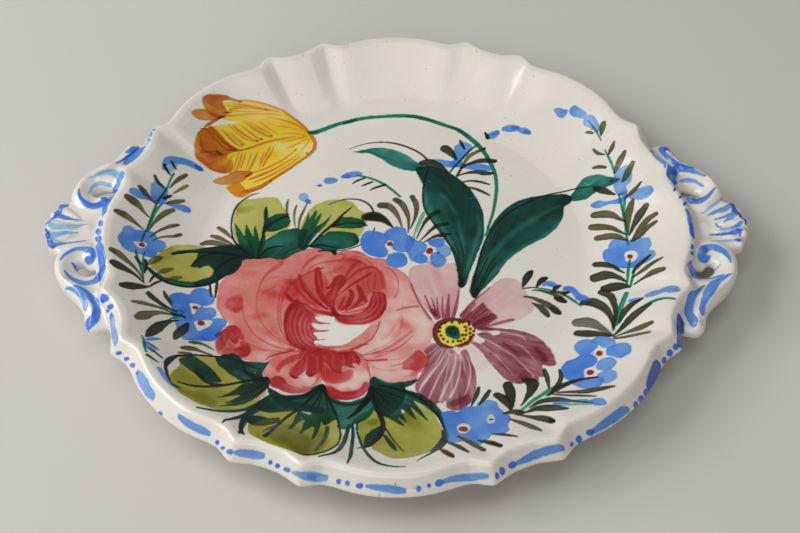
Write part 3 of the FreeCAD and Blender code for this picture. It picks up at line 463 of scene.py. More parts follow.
    ('w', 'grn', [(-62.6,3.1), (-60.2,7.3), (-56.8,10.3), (-52.5,13.3), (-48.9,14.2), (-46.2,14.4), (-44.4,13.2), (-41.7,13.5), (-42,8.9), (-44.8,2.3), (-48.3,0.5), (-51.7,-2.4), (-54.2,-5.1), (-58.2,-4.2), (-63.9,-4.7)], {'pool': 0.1, 'rays': 0.14, 'tones': [(-61, 4.9, 0.75), (-56.7, 7.8, 0.75), (-52.4, 11.4, 0.9), (-48.9, 13.2, 1.05), (-54.7, 4.8, 0.7), (-50.4, 7.8, 0.75), (-45.2, 10.2, 1.15), (-48.4, 2.9, 1.1), (-52.7, -0.6, 1.1), (-58, -0.6, 1.1), (-61.3, -3.5, 1.3)], 'centre': (-43.5, 12.6), 'd': 1.15}),
    ('w', 'grn', [(-45.5,2.9), (-44.7,10.1), (-44.4,13.8), (-42.4,20.6), (-41.6,24.7), (-41.1,21.2), (-41.8,18.7), (-40.2,21.8), (-37.9,26.1), (-37.6,23.7), (-38.8,18.7), (-35.6,24.3), (-35.7,20.5), (-37.3,15.6), (-33.8,18.6), (-30.6,22.9), (-32,18.6), (-35.8,12.5), (-38.8,7.7), (-41.3,2.9), (-43.4,0.5)], {'pool': 0.15, 'wob': 0.12, 'rays': 0.22, 'tones': [(-42, 21.8, 0.75), (-38.5, 23.7, 0.75), (-35.7, 22.4, 0.75), (-31.6, 21.1, 0.75), (-42.7, 15, 0.85), (-39.9, 12.5, 0.9), (-42.8, 7.7, 1.15), (-44, 4.1, 1.25)], 'centre': (-43.9, 1.7), 'd': 1.15}),
    ('w', 'grn', [(-39.5,4), (-37,7.6), (-33.5,10.6), (-30.9,12.1), (-24.1,11.8), (-20.1,11.1), (-17.8,8.7), (-17.5,5), (-19.9,2.6), (-23.9,1.2), (-27.9,0.3), (-27.4,-2.1), (-28.2,-2.9), (-30.1,-0.8), (-32.7,-0.2), (-36.8,1.6), (-40.4,2.2)], {'pool': 0.15, 'tones': [(-35.3, 8.8, 1), (-29.9, 10.6, 0.9), (-24.1, 9.9, 0.9), (-19.1, 8.7, 1), (-18.2, 5.6, 1.2), (-21.7, 4.5, 0.75), (-28.4, 5.1, 0.8), (-32.9, 5.2, 0.75), (-35, 2.8, 1.1), (-28.3, 1.5, 1.2)], 'd': 1.15}),
    ('w', 'grn', [(-30.5,14.9), (-29.2,18), (-26.6,20.7), (-22.5,21.3), (-18.4,20.7), (-15.3,19.1), (-14.1,16), (-17.5,17.2), (-22,17.6), (-26.5,17.3), (-29.2,15.5), (-25.5,14.4), (-21,14.3), (-16.6,14.8), (-14,15.7), (-17.4,14.2), (-22.8,13.9), (-27.3,14.3)], {'pool': 0.15, 'tones': [(-26.6, 19.8, 0.9), (-19.8, 19.7, 0.9), (-15.7, 17.8, 1.1), (-29.6, 15.5, 1.2)], 'd': 1.15}),
    ('w', 'grn', [(-29.2,15.5), (-25.6,17), (-21.1,17.4), (-17.5,16.9), (-14,15.7), (-17.4,14.4), (-22.8,14.1), (-27.3,14.4)], {'pool': 0.1, 'tones': [(-22, 15.4, 0.8), (-15.7, 15.7, 0.95)], 'd': 1.15}),
    ('b', 'blk', [(-65.9,37.6,0.13), (-69.3,36.4,0.32), (-72.8,33.5,0.36), (-75.7,29.7,0.44), (-77.2,24.7,0.44), (-77.7,19.1,0.42), (-77.4,14.1,0.36), (-76.1,8,0.36), (-73.8,3.2,0.39), (-70.4,-0.4,0.37), (-65.7,-4.4,0.32)], {'d': 0.99, 'pool': 0.1, 'streak': 0.12}),
    ('b', 'blk', [(-61.9,28.2,0.32), (-61.7,25.2,0.41), (-61.8,21.4,0.33), (-62.1,17.7,0.28), (-62.6,12.8,0.32), (-62.7,7.9,0.28), (-63.1,3.1,0.23), (-63.7,-1.7,0.23), (-64.1,-4.5,0.28)], {'d': 0.99, 'pool': 0.1, 'streak': 0.12}),
    ('b', 'blk', [(-51.2,23.2,0.45), (-52,21.9,0.61), (-54.7,20.8,0.49), (-57.3,18.9,0.6), (-59.9,16.4,0.74), (-61.9,12.8,0.5), (-62.3,7.9,0.18)], {'d': 0.99, 'pool': 0.1, 'streak': 0.12}),
    ('b', 'blk', [(-51.2,23.8,0.14), (-50.8,21,0.42), (-51.3,21.9,0.15)], {'d': 0.99, 'pool': 0.1, 'streak': 0.12}),
    ('b', 'blk', [(-64.8,-4.7,0.22), (-66.4,0.1,0.18), (-68.6,6.1,0.13), (-70.2,12.8,0.09)], {'d': 0.99, 'pool': 0.1, 'streak': 0.12}),
    ('b', 'blk', [(-63.7,-4.7,0.27), (-60.7,0.1,0.45), (-57.3,2.4,0.54), (-53.7,3,0.36), (-51.1,2.7,0.12)], {'d': 0.99, 'pool': 0.1, 'streak': 0.12}),
    ('b', 'blk', [(-41.7,1.7,0.33), (-39.5,4,0.49), (-35.7,9.5,0.61), (-31.8,14.3,0.73), (-28.3,18.3,0.78), (-25.3,22.9,0.61), (-23.1,25.5,0.46), (-20.7,28.3,0.17)], {'d': 0.99, 'pool': 0.1, 'streak': 0.12}),
    ('b', 'blk', [(-30.5,14.9,0.36), (-27.4,16.4,0.55), (-23.8,17.3,0.43), (-19.7,17.3,0.37), (-16.1,17.1,0.55), (-14,16,0.59)], {'d': 0.99, 'pool': 0.1, 'streak': 0.12}),
    ('b', 'blk', [(-32.1,29.5,0.19), (-28.7,31.5,0.25), (-24.6,33,0.32), (-20.9,33.2,0.38), (-16.8,32.4,0.5), (-13.1,29.7,0.51), (-11,25.9,0.44), (-10,21.5,0.33)], {'d': 0.99, 'pool': 0.1, 'streak': 0.12}),
    ('b', 'blk', [(-10,14.1,0.29), (-11.5,9.2,0.16), (-15.1,5,0.17), (-18.2,2.6,0.29), (-22.6,0.8,0.24), (-28.3,-0.3,0.3), (-33.2,-0.1,0.36), (-35.8,-0.2,0.42)], {'d': 0.99, 'pool': 0.1, 'streak': 0.12}),
    ('b', 'blk', [(-43.9,1.7,0.29), (-41.7,2.9,0.42), (-38.6,2.8,0.6), (-34.6,3.7,0.54), (-31.5,2.8,0.41), (-28.4,1.8,0.18)], {'d': 0.99, 'pool': 0.1, 'streak': 0.12}),
    ('b', 'blk', [(-45,2.3,0.18), (-45.4,7.7,0.13), (-45.3,12.6,0.09)], {'d': 0.99, 'pool': 0.1, 'streak': 0.12}),
    ('b', 'blk', [(-42.4,2.9,0.19), (-41,7.7,0.21), (-38.1,12.5,0.16), (-35.5,16.2,0.11)], {'d': 0.99, 'pool': 0.1, 'streak': 0.12}),
    ('b', 'blk', [(-18.2,7.5,0.37), (-17.7,5.6,0.4), (-18.3,3.8,0.19)], {'d': 0.99, 'pool': 0.1, 'streak': 0.12}),
    ('b', 'blk', [(-79.2,-1.1,0.41), (-75.6,-1.9,0.47), (-72,-2.8,0.35), (-68.4,-3.6,0.18)], {'d': 0.99, 'pool': 0.1, 'streak': 0.12}),
    ('b', 'blk', [(-78.7,-7.5,0.47), (-75.3,-5.4,0.53), (-71.9,-3.7,0.42), (-68.4,-3.1,0.18)], {'d': 0.99, 'pool': 0.1, 'streak': 0.12}),
    ('b', 'blk', [(-30.1,-0.2,0.21), (-28.2,-2.3,0.57), (-27.6,-1.6,0.16)], {'d': 0.99, 'pool': 0.1, 'streak': 0.12}),
    ('w', 'grn', [(-80.4,3.2), (-76.9,3.2), (-72.9,2.9), (-68.8,2.5), (-65.7,-4.6), (-70.1,-4.9), (-72.5,-8.4), (-76,-8.4), (-79.5,-8.4)], {'pool': 0.1, 'tones': [(-78, 0.8, 1.1), (-74, 0.2, 1), (-70.2, -2.8, 1.3), (-76.3, -4, 0.9), (-77.8, -7.5, 1), (-73.5, -6.3, 1.2)], 'd': 1.15}),
    ('b', 'oli', [(-51.6,33.3,0.29), (-52,30.1,0.65), (-51.9,25.7,0.54), (-51,21.9,0.37), (-50.1,18.8,0.18)], {'d': 1.2, 'pool': 0.3, 'end': -0.2}),
    ('b', 'oli', [(-47.4,29.3,0.39), (-48.1,25.7,0.56), (-48.2,20.7,0.45), (-47.4,14.8,0.22)], {'d': 1.2, 'pool': 0.3, 'end': -0.2}),
    ('b', 'oli', [(-42.5,30.3,0.31), (-44,25.6,0.6), (-45.4,20.6,0.62), (-45.9,14.1,0.37)], {'d': 1.2, 'pool': 0.3, 'end': -0.2}),
    ('w', 'blup', [(-41.8,34.5), (-42.3,36.3), (-43.5,37.4), (-45,37.4), (-46.2,36.3), (-46.6,34.5), (-46,32.7), (-44.8,31.6), (-43.3,31.6), (-42.2,32.7)], {'d': 1.15}),
    ('w', 'blu2', [(-40.5,31), (-40.6,32), (-41.2,32.9), (-42.1,33.4), (-43,33.3), (-43.5,32.6), (-43.4,31.6), (-42.8,30.7), (-41.8,30.2), (-41,30.3)], {'d': 0.8}),
    ('w', 'blu2', [(-35.6,42.5), (-35.8,43), (-36.5,43.4), (-37.3,43.4), (-37.9,43), (-38.2,42.5), (-37.9,42), (-37.2,41.6), (-36.4,41.6), (-35.8,42)], {'d': 0.8}),
    ('w', 'pnk', [(-57.1,-64.5), (-61.4,-64.7), (-64.7,-64.1), (-67.1,-63.3), (-70.3,-61.6), (-74.5,-62.3), (-77.3,-62.2), (-78.4,-58.2), (-78.7,-54.8), (-77.8,-52.6), (-77.3,-48.4), (-75.2,-44.9), (-73.9,-43.5), (-75.5,-41.7), (-78.2,-37.9), (-80,-34.2), (-80.8,-29.7), (-80.5,-24.6), (-80.2,-20), (-78.5,-16.8), (-75.8,-12.9), (-73.1,-9), (-71.1,-6), (-66.9,-4.7), (-62.5,-4.1), (-58.4,-4.3), (-54.4,-5.1), (-51.5,-2.8), (-48.1,-0.8), (-44.1,0.5), (-39.9,1.3), (-36.9,1.3), (-33.4,0.6), (-30.3,-0.1), (-27.3,-1), (-23.3,-0.1), (-19.8,-0.1), (-16.3,-1.1), (-13.2,-3.4), (-9.7,-4.6), (-5.2,-5.1), (-3.9,-9.6), (0.3,-11.1), (4.2,-14.3), (6.6,-18.9), (8.2,-24.8), (10.4,-31.2), (12.9,-36.2), (15.5,-40.9), (17,-42.5), (16.3,-46.2), (16.2,-51.1), (14.4,-54.7), (12.5,-57.7), (12.5,-60), (13.8,-61.8), (14.2,-65.4), (12.3,-69.5), (9.7,-71.2), (8.7,-74.6), (3.8,-75.7), (-0.8,-76.4), (-5,-75.7), (-8.2,-74), (-9.6,-73.4), (-10.5,-72.2), (-11.3,-67.5), (-14,-62.8), (-16.8,-59.2), (-19.7,-58.4), (-25.8,-59), (-31.9,-58.8), (-35.7,-58.5), (-34.9,-55.8), (-30.6,-56.2), (-23.5,-55.4), (-18.8,-52.4), (-15.1,-48.9), (-11.2,-44.2), (-17.1,-44.4), (-22.3,-44.1), (-26,-42.7), (-28.1,-39.6), (-32.6,-38.9), (-36.5,-38), (-37.2,-43.8), (-37.5,-49.4), (-40.6,-54.2), (-43.8,-57.5), (-47.1,-58.4), (-51.7,-60.2)], {'pool': 0.1, 'wob': 0.35, 'power': 3.4, 'grain': 0.09, 'mottle': 0.12, 'tones': [(-74.3, -10.9, 1.34), (-67.2, -12.3, 1.39), (-66.8, -18.2, 1.07), (-73.7, -18.8, 0.94), (-77.2, -24, 1.07), (-78.6, -30.3, 1.32), (-76.2, -36.7, 1), (-74.7, -42.9, 0.69), (-73.3, -24, 1.27), (-70, -27.9, 1.52), (-64.5, -22.8, 1.27), (-58.5, -9.1, 1.57), (-54.6, -7.1, 1.47), (-58.1, -15.7, 1.07), (-55.6, -15.1, 1), (-52, -9.2, 1.42), (-47.7, -4.5, 1.29), (-42.8, -3.2, 1.13), (-36.8, -2, 1.27), (-34.6, -7.3, 1), (-42.5, -9.3, 1.32), (-47.2, -15.1, 1.37), (-59.5, -24.1, 1.62), (-55.5, -26.7, 1.77), (-51.8, -22.9, 1.67), (-47, -20.4, 1.77), (-59.5, -33, 1.27), (-53.2, -32.5, 1.34), (-50.9, -39.4, 1), (-59.5, -40.5, 1.62), (-65.3, -40.5, 1.47), (-69.7, -39.2, 1.13), (-69.3, -44.2, 1.37), (-64.7, -49.1, 1.52), (-60.3, -50.4, 1.32), (-56.3, -45.5, 1.34), (-55.3, -55.2, 0.81), (-49.8, -51.7, 0.87), (-61.4, -56.4, 1.27), (-58.1, -62.4, 0.63), (-63.7, -62.6, 0.87), (-51.8, -58.3, 0.87), (-24.7, -4.1, 1.32), (-19.7, -7.5, 1.57), (-29.6, -9.4, 1.42), (-33.4, -14, 1.13), (-24.6, -9.4, 1.37), (-16.5, -16.7, 1.62), (-11.5, -20.7, 1.62), (-7.6, -24.6, 1.62), (-9.6, -15.5, 1.57), (-11.7, -6.2, 1.32), (-6.7, -8.9, 1.13), (-1.7, -15.6, 1.27), (-1.7, -24.7, 1.13), (3.2, -22.1, 0.69), (3.2, -15.6, 0.94), (6.1, -27.3, 0.69), (3.2, -29.8, 0.75), (0.2, -31.1, 0.75), (-1.7, -36.1, 0.81), (8, -33.7, 0.81), (4.1, -37.4, 1.2), (2.6, -41.1, 1.29), (-0.8, -39.8, 0.41), (-1.2, -44.8, 0.69), (-5.6, -46, 0.35), (-8.4, -49, 0.41), (-4.6, -50.9, 0.69), (-7.4, -54.5, 0.35), (0.2, -52.1, 1.32), (5, -44.8, 1.29), (9.8, -46.1, 0.81), (12.7, -43.1, 0.51), (13.5, -51, 0.63), (7.8, -52.2, 1.13), (3, -57.6, 1), (-4.6, -58.1, 0.69), (-11.2, -58, 0.41), (-8.3, -61.6, 1), (-1.7, -64.1, 0.63), (-7.4, -66.4, 0.69), (-1.7, -68.7, 0.94), (-4.5, -72.2, 0.51), (2.4, -74, 0.75), (7.6, -71.2, 1.2), (4.8, -71.7, 0.46), (-9.4, -44.1, 0.63), (-13.2, -49.6, 0.81), (-18.8, -55, 0.69), (-23.5, -57, 0.75), (-32.9, -57.2, 1.32), (-15.4, -56.8, 0.46), (-42.4, -56.6, 1.47), (-39.1, -19.1, 1.27), (-35.9, -28.2, 1.42), (-29.1, -24.4, 1.67), (-43.6, -29.4, 1.42), (-24.2, -28.3, 1.27)]}),
    ('w', 'pnk', [(-57.2,-71.9), (-57.1,-69.2), (-56.5,-65.4), (-53.5,-61.8), (-49.4,-59.5), (-44.7,-58.4), (-37.6,-58.5), (-33.3,-59), (-31.9,-63.8), (-32,-69.6), (-32.2,-74.3), (-32,-75.5), (-34.1,-77.3), (-35.1,-78.9), (-37.8,-80.8), (-41.8,-82.4), (-45.5,-82.2), (-49.7,-80.5), (-53,-78.8), (-55.2,-74.3)], {'pool': 0.14, 'power': 3.2, 'tones': [(-54.9, -69, 0.75), (-51.4, -66, 1.47), (-48.8, -70.1, 1), (-45.6, -68.9, 1.32), (-42.9, -66, 1.62), (-37.3, -65.5, 1.67), (-34.6, -62.6, 1.52), (-47.6, -75.6, 1.37), (-41.6, -75.4, 0.69), (-38.9, -73.6, 0.26), (-36.1, -73.7, 0.41), (-36.9, -77.1, 0.51), (-39.6, -78.4, 0.87), (-34.3, -72.5, 1.13), (-33, -68.5, 1.47), (-50.9, -73.2, 1), (-44.2, -78.6, 1.13)], 'mottle': 0.12, 'grain': 0.09}),
    ('w', 'pnk', [(-32.5,-59.6), (-28.2,-58.6), (-23.4,-58.9), (-17.8,-58.7), (-14.4,-62.2), (-12,-66.9), (-10.7,-71.6), (-11,-74.8), (-11.7,-78.5), (-13.7,-81.9), (-17.3,-84.1), (-21.4,-85.1), (-25.6,-84.7), (-28.8,-82.8), (-30.5,-79.9), (-30.4,-76.6), (-32.1,-74.3), (-32.7,-66.7)], {'pool': 0.14, 'power': 3.4, 'tones': [(-29.7, -69.7, 1.62), (-30.4, -62.6, 1.67), (-25, -72, 1.47), (-20.8, -70.9, 1.13), (-17.6, -72.1, 0.26), (-14.7, -73.3, 0.21), (-18.4, -77.3, 0.26), (-23, -77.2, 0.26), (-26.7, -77.8, 0.63), (-13.9, -68.6, 0.81), (-12, -72.1, 0.41), (-12.9, -75.6, 0.63), (-15.8, -66.3, 0.75), (-18.6, -63.3, 1.32), (-23.3, -63.9, 1.57), (-15.1, -79.6, 0.87), (-27.7, -74.3, 1.32), (-20.2, -81.2, 1.27)], 'mottle': 0.12, 'grain': 0.09}),
    ('w', 'pnk', [(-17.6,-58.7), (-14,-61.9), (-11.8,-66.3), (-10.5,-71.3), (-9.2,-73.4), (-11,-73.4), (-12.9,-69.8), (-15.3,-66.3)], {'d': 0.5, 'soft': 0.3, 'pool': 0, 'mottle': 0.12, 'grain': 0.09}),
    ('w', 'ros', [(-76,-29.1), (-72.2,-27.3), (-69.9,-27.4), (-68.8,-32.9), (-69.6,-35.8), (-72,-36.6), (-74.3,-35.1), (-76.2,-32.9)], {'d': 0.862, 'soft': 1.3, 'pool': 0, 'wob': 0.4}),
    ('w', 'ros', [(-69.6,-27.4), (-69.1,-29.1), (-69.2,-35.1), (-72.1,-36.5), (-73.1,-35.1), (-71.9,-32.3), (-70.6,-29.8)], {'d': 0.402, 'soft': 0.25, 'pool': 0.3}),
    ('b', 'ros', [(-69.7,-26.7,0.15), (-69.3,-30.4,0.19), (-68.6,-35.5,0.24), (-67.3,-40.5,0.24), (-65.7,-44.2,0.25), (-63,-48.5,0.31), (-59.4,-52.2,0.33), (-55.5,-54.9,0.34), (-51.6,-56.8,0.29), (-46.3,-58.2,0.24)], {'d': 0.632, 'soft': 0.15, 'streak': 0.3}),
    ('b', 'ros', [(-62.1,-22.5,0.26), (-62.6,-26.7,0.25), (-62.6,-31.7,0.19), (-61.9,-36.8,0.19), (-60.1,-41.8,0.2), (-58,-45.5,0.21), (-54.9,-49.2,0.27), (-50.9,-52.9,0.28), (-46.9,-55.3,0.23), (-44,-56.5,0.23)], {'d': 0.517, 'soft': 0.2}),
    ('b', 'ros', [(-54.4,-6.1,0.51,0.5), (-52.3,-7.2,0.85), (-55.1,-10.1,1.13), (-58,-12.7,0.74), (-60.2,-16.3,0.52), (-61.5,-19.6,0.38), (-62.1,-22.2,0.21)], {'d': 0.632, 'soft': 0.3, 'streak': 0.3}),
    ('b', 'ros', [(-74.4,-12.3,0.26,0.3), (-67.4,-12.7,1.18,0.5), (-61.9,-13.7,0.65,0.3)], {'d': 0.46, 'soft': 1, 'pool': 0}),
    ('b', 'ros', [(-52.1,-24.2,0.2,0.5), (-52.6,-29.3,0.25), (-52.7,-35.6,0.24), (-52.3,-41.8,0.24), (-50.9,-46.8,0.24), (-48.5,-51.7,0.3), (-46,-55.3,0.36)], {'d': 0.69, 'soft': 0.12, 'streak': 0.3}),
    ('b', 'ros', [(-44.9,-17.5,0.37,0.6), (-47.7,-20.4,0.48), (-49.9,-24.2,0.49), (-51.1,-29.3,0.36), (-51.6,-34.4,0.25), (-51.5,-39.4,0.19), (-50.7,-44.3,0.19)], {'d': 0.69, 'soft': 0.2}),
    ('b', 'ros', [(-34,-2.3,0.4,0.5), (-37.5,-4,0.78), (-40.8,-7.3,0.73), (-42.7,-10.6,0.34), (-43.5,-13.9,0.21)], {'d': 0.632, 'soft': 0.3, 'streak': 0.3}),
    ('b', 'ros', [(-52.7,-18.4,0.78,0.5), (-48.7,-19,1.66,0.9), (-45.7,-20.4,1.35,1), (-44.5,-24.3,1.1,0.9), (-46.3,-28.1,0.96,0.8), (-49.2,-29.3,0.63,0.4)], {'d': 0.517, 'soft': 0.9, 'pool': 0}),
    ('b', 'ros', [(-61.2,-24.1,0.89,0.6), (-57.2,-25.1,1.64,1), (-54.2,-26.1,1.63,1), (-52.3,-26.8,0.63,0.5)], {'d': 0.46, 'soft': 1.1, 'pool': 0}),
    ('b', 'ros', [(-66.1,-38.6,0.62,0.6), (-63.2,-39.3,1.5,1), (-58.4,-38.7,1.38,0.8), (-56.5,-38.1,0.5,0.3)], {'d': 0.402, 'soft': 1, 'pool': 0}),
    ('b', 'ros', [(-45.7,0.8,0.25,0.5), (-47.6,-1.5,0.38), (-50.5,-3.8,0.52,0.7), (-51.9,-5.2,0.51,0.4)], {'d': 0.345, 'soft': 0.5}),
    ('b', 'ros', [(-40.3,-6.6,0.2), (-41,-3.3,0.33), (-38.6,-0.9,0.33), (-35.6,0.1,0.27)], {'d': 0.287, 'soft': 0.4}),
    ('b', 'pnk', [(-55,-21.6,0.56), (-58.3,-24.1,0.37), (-61.1,-26.7,0.25)], {'d': 0.5, 'soft': 0.4}),
    ('b', 'pnk', [(-59.6,-18.3,0.38), (-56.8,-16.4,0.78), (-53.8,-15.7,0.53)], {'d': 0.3, 'soft': 0.5}),
    ('b', 'ros', [(-55.1,-45.5,0.1), (-53,-49.2,0.21), (-49.9,-52.9,0.22), (-46,-55.9,0.17)], {'d': 0.517, 'soft': 0.1, 'streak': 0.3}),
    ('b', 'ros', [(-53.7,-44.9,0.1), (-51.5,-49.2,0.2), (-48.4,-53.5,0.16)], {'d': 0.517, 'soft': 0.1, 'streak': 0.3}),
    ('b', 'ros', [(-55.9,-47.4,0.1), (-53.8,-50.4,0.16), (-50.3,-53.8,0.16)], {'d': 0.517, 'soft': 0.1, 'streak': 0.3}),
    ('b', 'ros', [(-53.1,-47.4,0.1), (-50,-51.7,0.16), (-46.5,-54.8,0.16)], {'d': 0.517, 'soft': 0.1, 'streak': 0.3}),
    ('b', 'ros', [(-57.8,-47.9,0.11), (-53.7,-52.2,0.22), (-48.8,-55.8,0.17)], {'d': 0.517, 'soft': 0.1, 'streak': 0.3}),
    ('b', 'ros', [(-60.4,-51.6,0.11), (-55.5,-54.6,0.17), (-49.7,-57.1,0.17)], {'d': 0.517, 'soft': 0.1, 'streak': 0.3}),
    ('b', 'ros', [(-65,-54,0.17), (-61.1,-56.4,0.23), (-55.3,-58.2,0.24), (-50.6,-58.6,0.18)], {'d': 0.517, 'soft': 0.1, 'streak': 0.3}),
    ('b', 'ros', [(-64.4,-56.1,0.18), (-61,-57.6,0.24), (-56.2,-58.3,0.18)], {'d': 0.517, 'soft': 0.1, 'streak': 0.3}),
    ('b', 'ros', [(-57,-61.2,0.12), (-53.3,-59.4,0.24), (-49.6,-58.8,0.18)], {'d': 0.517, 'soft': 0.1, 'streak': 0.3}),
    ('w', 'crm', [(-77.3,-48.4), (-75.2,-45.2), (-72.9,-44.2), (-70.5,-44.8), (-68.4,-47.2), (-67.2,-50), (-66.6,-52.1), (-67.5,-52.7), (-69,-51.8), (-69.5,-54.1), (-70.6,-54.8), (-72.1,-53.7), (-73.4,-52.2), (-74,-53.3), (-74.2,-56), (-75.3,-57.2), (-76.7,-56.5), (-77.5,-53.2)], {'pool': 0.12, 'soft': 0.25, 'wob': 0.35, 'tones': [(-75.3, -49.4, 0.55), (-72.1, -47.9, 0.84), (-69.2, -49.1, 0.48), (-70.3, -52.9, 1), (-76.2, -55, 0.36), (-67.6, -51.5, 0.42)], 'd': 1.38, 'mottle': 0.14, 'grain': 0.1}),
    ('w', 'crm', [(-78.7,-52.8), (-77.6,-49.8), (-75.8,-51.5), (-74.5,-55.4), (-74.9,-58.9), (-76.6,-60), (-78.2,-58.2)], {'d': 0.483, 'soft': 0.9, 'pool': 0, 'mottle': 0.14, 'grain': 0.1}),
    ('w', 'crm', [(-68.4,-53.4), (-66.5,-52.7), (-64.5,-55.2), (-63.5,-57.6), (-63.8,-60.7), (-65.8,-62.5), (-67.2,-62.7), (-68.6,-61.9), (-73.2,-62.1), (-75.6,-60.5), (-74,-58), (-70.4,-57.8), (-68.1,-56.6)], {'pool': 0.1, 'soft': 0.4, 'wob': 0.3, 'tones': [(-65.7, -57.7, 0.92), (-66.4, -60.9, 1), (-69.7, -60.1, 0.36), (-73.4, -60, 0.31), (-74.8, -59.6, 0.26), (-66.9, -54.6, 0.42)], 'd': 1.38, 'mottle': 0.14, 'grain': 0.1}),
    ('w', 'ros', [(-73.9,-52.6), (-71.6,-54.9), (-69.5,-56.7), (-67.8,-55.2), (-66.6,-57.7), (-69.3,-59.3), (-73.1,-57.9), (-74.4,-54.7)], {'d': 0.575, 'soft': 0.7, 'pool': 0}),
    ('b', 'ros', [(-69,-52.1,0.15), (-66.8,-55.2,0.21), (-64.8,-57.6,0.22), (-63.3,-58.2,0.18)], {'d': 0.69}),
    ('w', 'ros', [(-52.2,-24.2), (-49.5,-18.4), (-46.2,-16.5), (-42.3,-14.5), (-37.4,-12.6), (-33.4,-13.3), (-31.3,-17.9), (-30.2,-23.1), (-30.5,-28.2), (-32.8,-32), (-37.7,-32.6), (-41.6,-31.9), (-44.6,-29.4), (-47.6,-28.1), (-50.4,-29.3)], {'d': 0.92, 'pool': 0, 'soft': 0.9, 'wob': 0.4, 'tones': [(-50.7, -24.2, 0.5), (-47, -20.4, 0.75), (-42.1, -19.1, 0.45), (-37.2, -19.2, 0.35), (-33.2, -20.5, 0.45), (-35.9, -28.2, 0.55), (-41.7, -28.1, 0.5), (-46.7, -26.8, 0.75), (-31.9, -29.5, 0.7)]}),
    ('w', 'ros', [(-28.1,-9.4), (-23.2,-6.8), (-17.7,-6.5), (-12.7,-9.5), (-8.7,-11.6), (-6.7,-16.2), (-6.1,-22), (-7.1,-24.6), (-10,-24.6), (-12.5,-27.1), (-13.4,-30.9), (-18.2,-33.4), (-24,-35.9), (-26.9,-34.6), (-26.6,-29.5), (-22.8,-24.5), (-22.4,-18), (-24.5,-14.1), (-28.5,-14)], {'d': 0.92, 'pool': 0.05, 'soft': 0.35, 'wob': 0.3, 'rays': 0.2, 'pitch': 2, 'tones': [(-23.1, -9.4, 0.5), (-17.1, -9.5, 0.55), (-11.6, -14.2, 0.55), (-7.6, -20.7, 0.5), (-12.5, -22, 0.45), (-15.5, -16.8, 0.3), (-18.4, -24.5, 0.35), (-22.7, -29.6, 0.55), (-24, -33.4, 0.6), (-19.3, -29.6, 0.25), (-26.5, -12.7, 0.3)], 'centre': (-26.4, -34.6)}),
    ('w', 'crm', [(-45.3,-29.4), (-43.3,-30.3), (-41.3,-32.6), (-39.2,-35.4), (-37.2,-37.6), (-34.2,-38.9), (-30.4,-39.6), (-36.1,-39.5), (-35.1,-41.4), (-32.7,-42.6), (-29.3,-43.4), (-32.6,-43.8), (-36,-43.4), (-37.9,-42.9), (-36.9,-45.1), (-34.9,-46.9), (-32,-47.3), (-29.6,-47.3), (-33,-48.2), (-34.9,-48.2), (-36.5,-48.4), (-35.7,-50.6), (-34.3,-52.1), (-30.9,-52.3), (-33.8,-52.9), (-35.6,-53), (-36.1,-54.2), (-34.6,-56), (-32.7,-57.2), (-29.3,-58.2), (-30.2,-60.8), (-34.4,-60.8), (-37.8,-59.6), (-40.6,-58.4), (-43,-57.7), (-45.5,-55.6), (-47.5,-52.9), (-49,-49.2), (-49.8,-44.3), (-49.9,-39.4), (-49.1,-35), (-47.6,-31.9)], {'pool': 0.1, 'wob': 0.2, 'tones': [(-46, -34.4, 1.09), (-47.2, -39.4, 1), (-48.4, -45.6, 0.76), (-46.7, -50.5, 0.84), (-43.1, -55.3, 1), (-43.6, -45.6, 0.97), (-44.8, -39.4, 0.76), (-41.1, -35.7, 0.61), (-39.1, -38.2, 0.68), (-40.8, -42.6, 0.57), (-38.8, -45.7, 0.66), (-40.5, -50.5, 0.76), (-37.6, -51.8, 0.57), (-36.5, -56.6, 0.84), (-40.2, -57.2, 1.09), (-33.6, -57.8, 0.92), (-31.2, -59, 0.68), (-36, -42.6, 0.42), (-34.9, -47.5, 0.36), (-32.3, -39.6, 0.31), (-30.1, -47.3, 0.55), (-29.3, -43.4, 0.68), (-30.9, -52.3, 0.55), (-32.7, -55.4, 0.42)], 'd': 1.38, 'mottle': 0.14, 'grain': 0.1}),
    ('b', 'crm', [(-49.8,-26.1,0.43), (-48.5,-28.1,0.88), (-46.7,-30,0.98), (-45.2,-31,0.72)], {'d': 1.242, 'streak': 0.3}),
    ('b', 'crm', [(-44.1,-14.8,0.7), (-43.1,-18.5,1.12), (-41.4,-22.4,1.26), (-39.1,-26.2,1.09), (-36,-30.1,0.78), (-33,-33.3,0.57), (-30.5,-35.2,0.47)], {'d': 1.173, 'streak': 0.25, 'pool': 0.2}),
    ('b', 'crm', [(-35.9,-11.3,1.19,0.95), (-35.6,-15.3,1.68), (-35.1,-20.5,1.87), (-34.2,-25.6,1.49), (-32.6,-29.5,1.04), (-30.3,-33.3,0.64)], {'d': 1.242, 'streak': 0.25, 'pool': 0.2}),
    ('b', 'crm', [(-33.7,-10.7,0.52), (-35.9,-11.6,0.65), (-39.1,-12.9,0.39), (-42,-14.9,0.25), (-44.9,-17.5,0.31), (-47.2,-20.4,0.29), (-48.7,-23.6,0.22), (-49.6,-26.8,0.16)], {'d': 0.759, 'soft': 0.1}),
    ('b', 'ros', [(-44.1,-28.1,0.23), (-45.3,-30,0.34)], {'d': 0.92}),
    ('b', 'ros', [(-44.5,-24.3,0.28), (-41.4,-28.1,0.45), (-38.4,-31.3,0.46), (-34.9,-34.5,0.34)], {'d': 0.69, 'streak': 0.5}),
    ('b', 'ros', [(-41.3,-31.9,0.47), (-37.3,-35.1,0.72), (-33.3,-36.7,0.62), (-30,-37.1,0.5)], {'d': 0.92, 'streak': 0.4}),
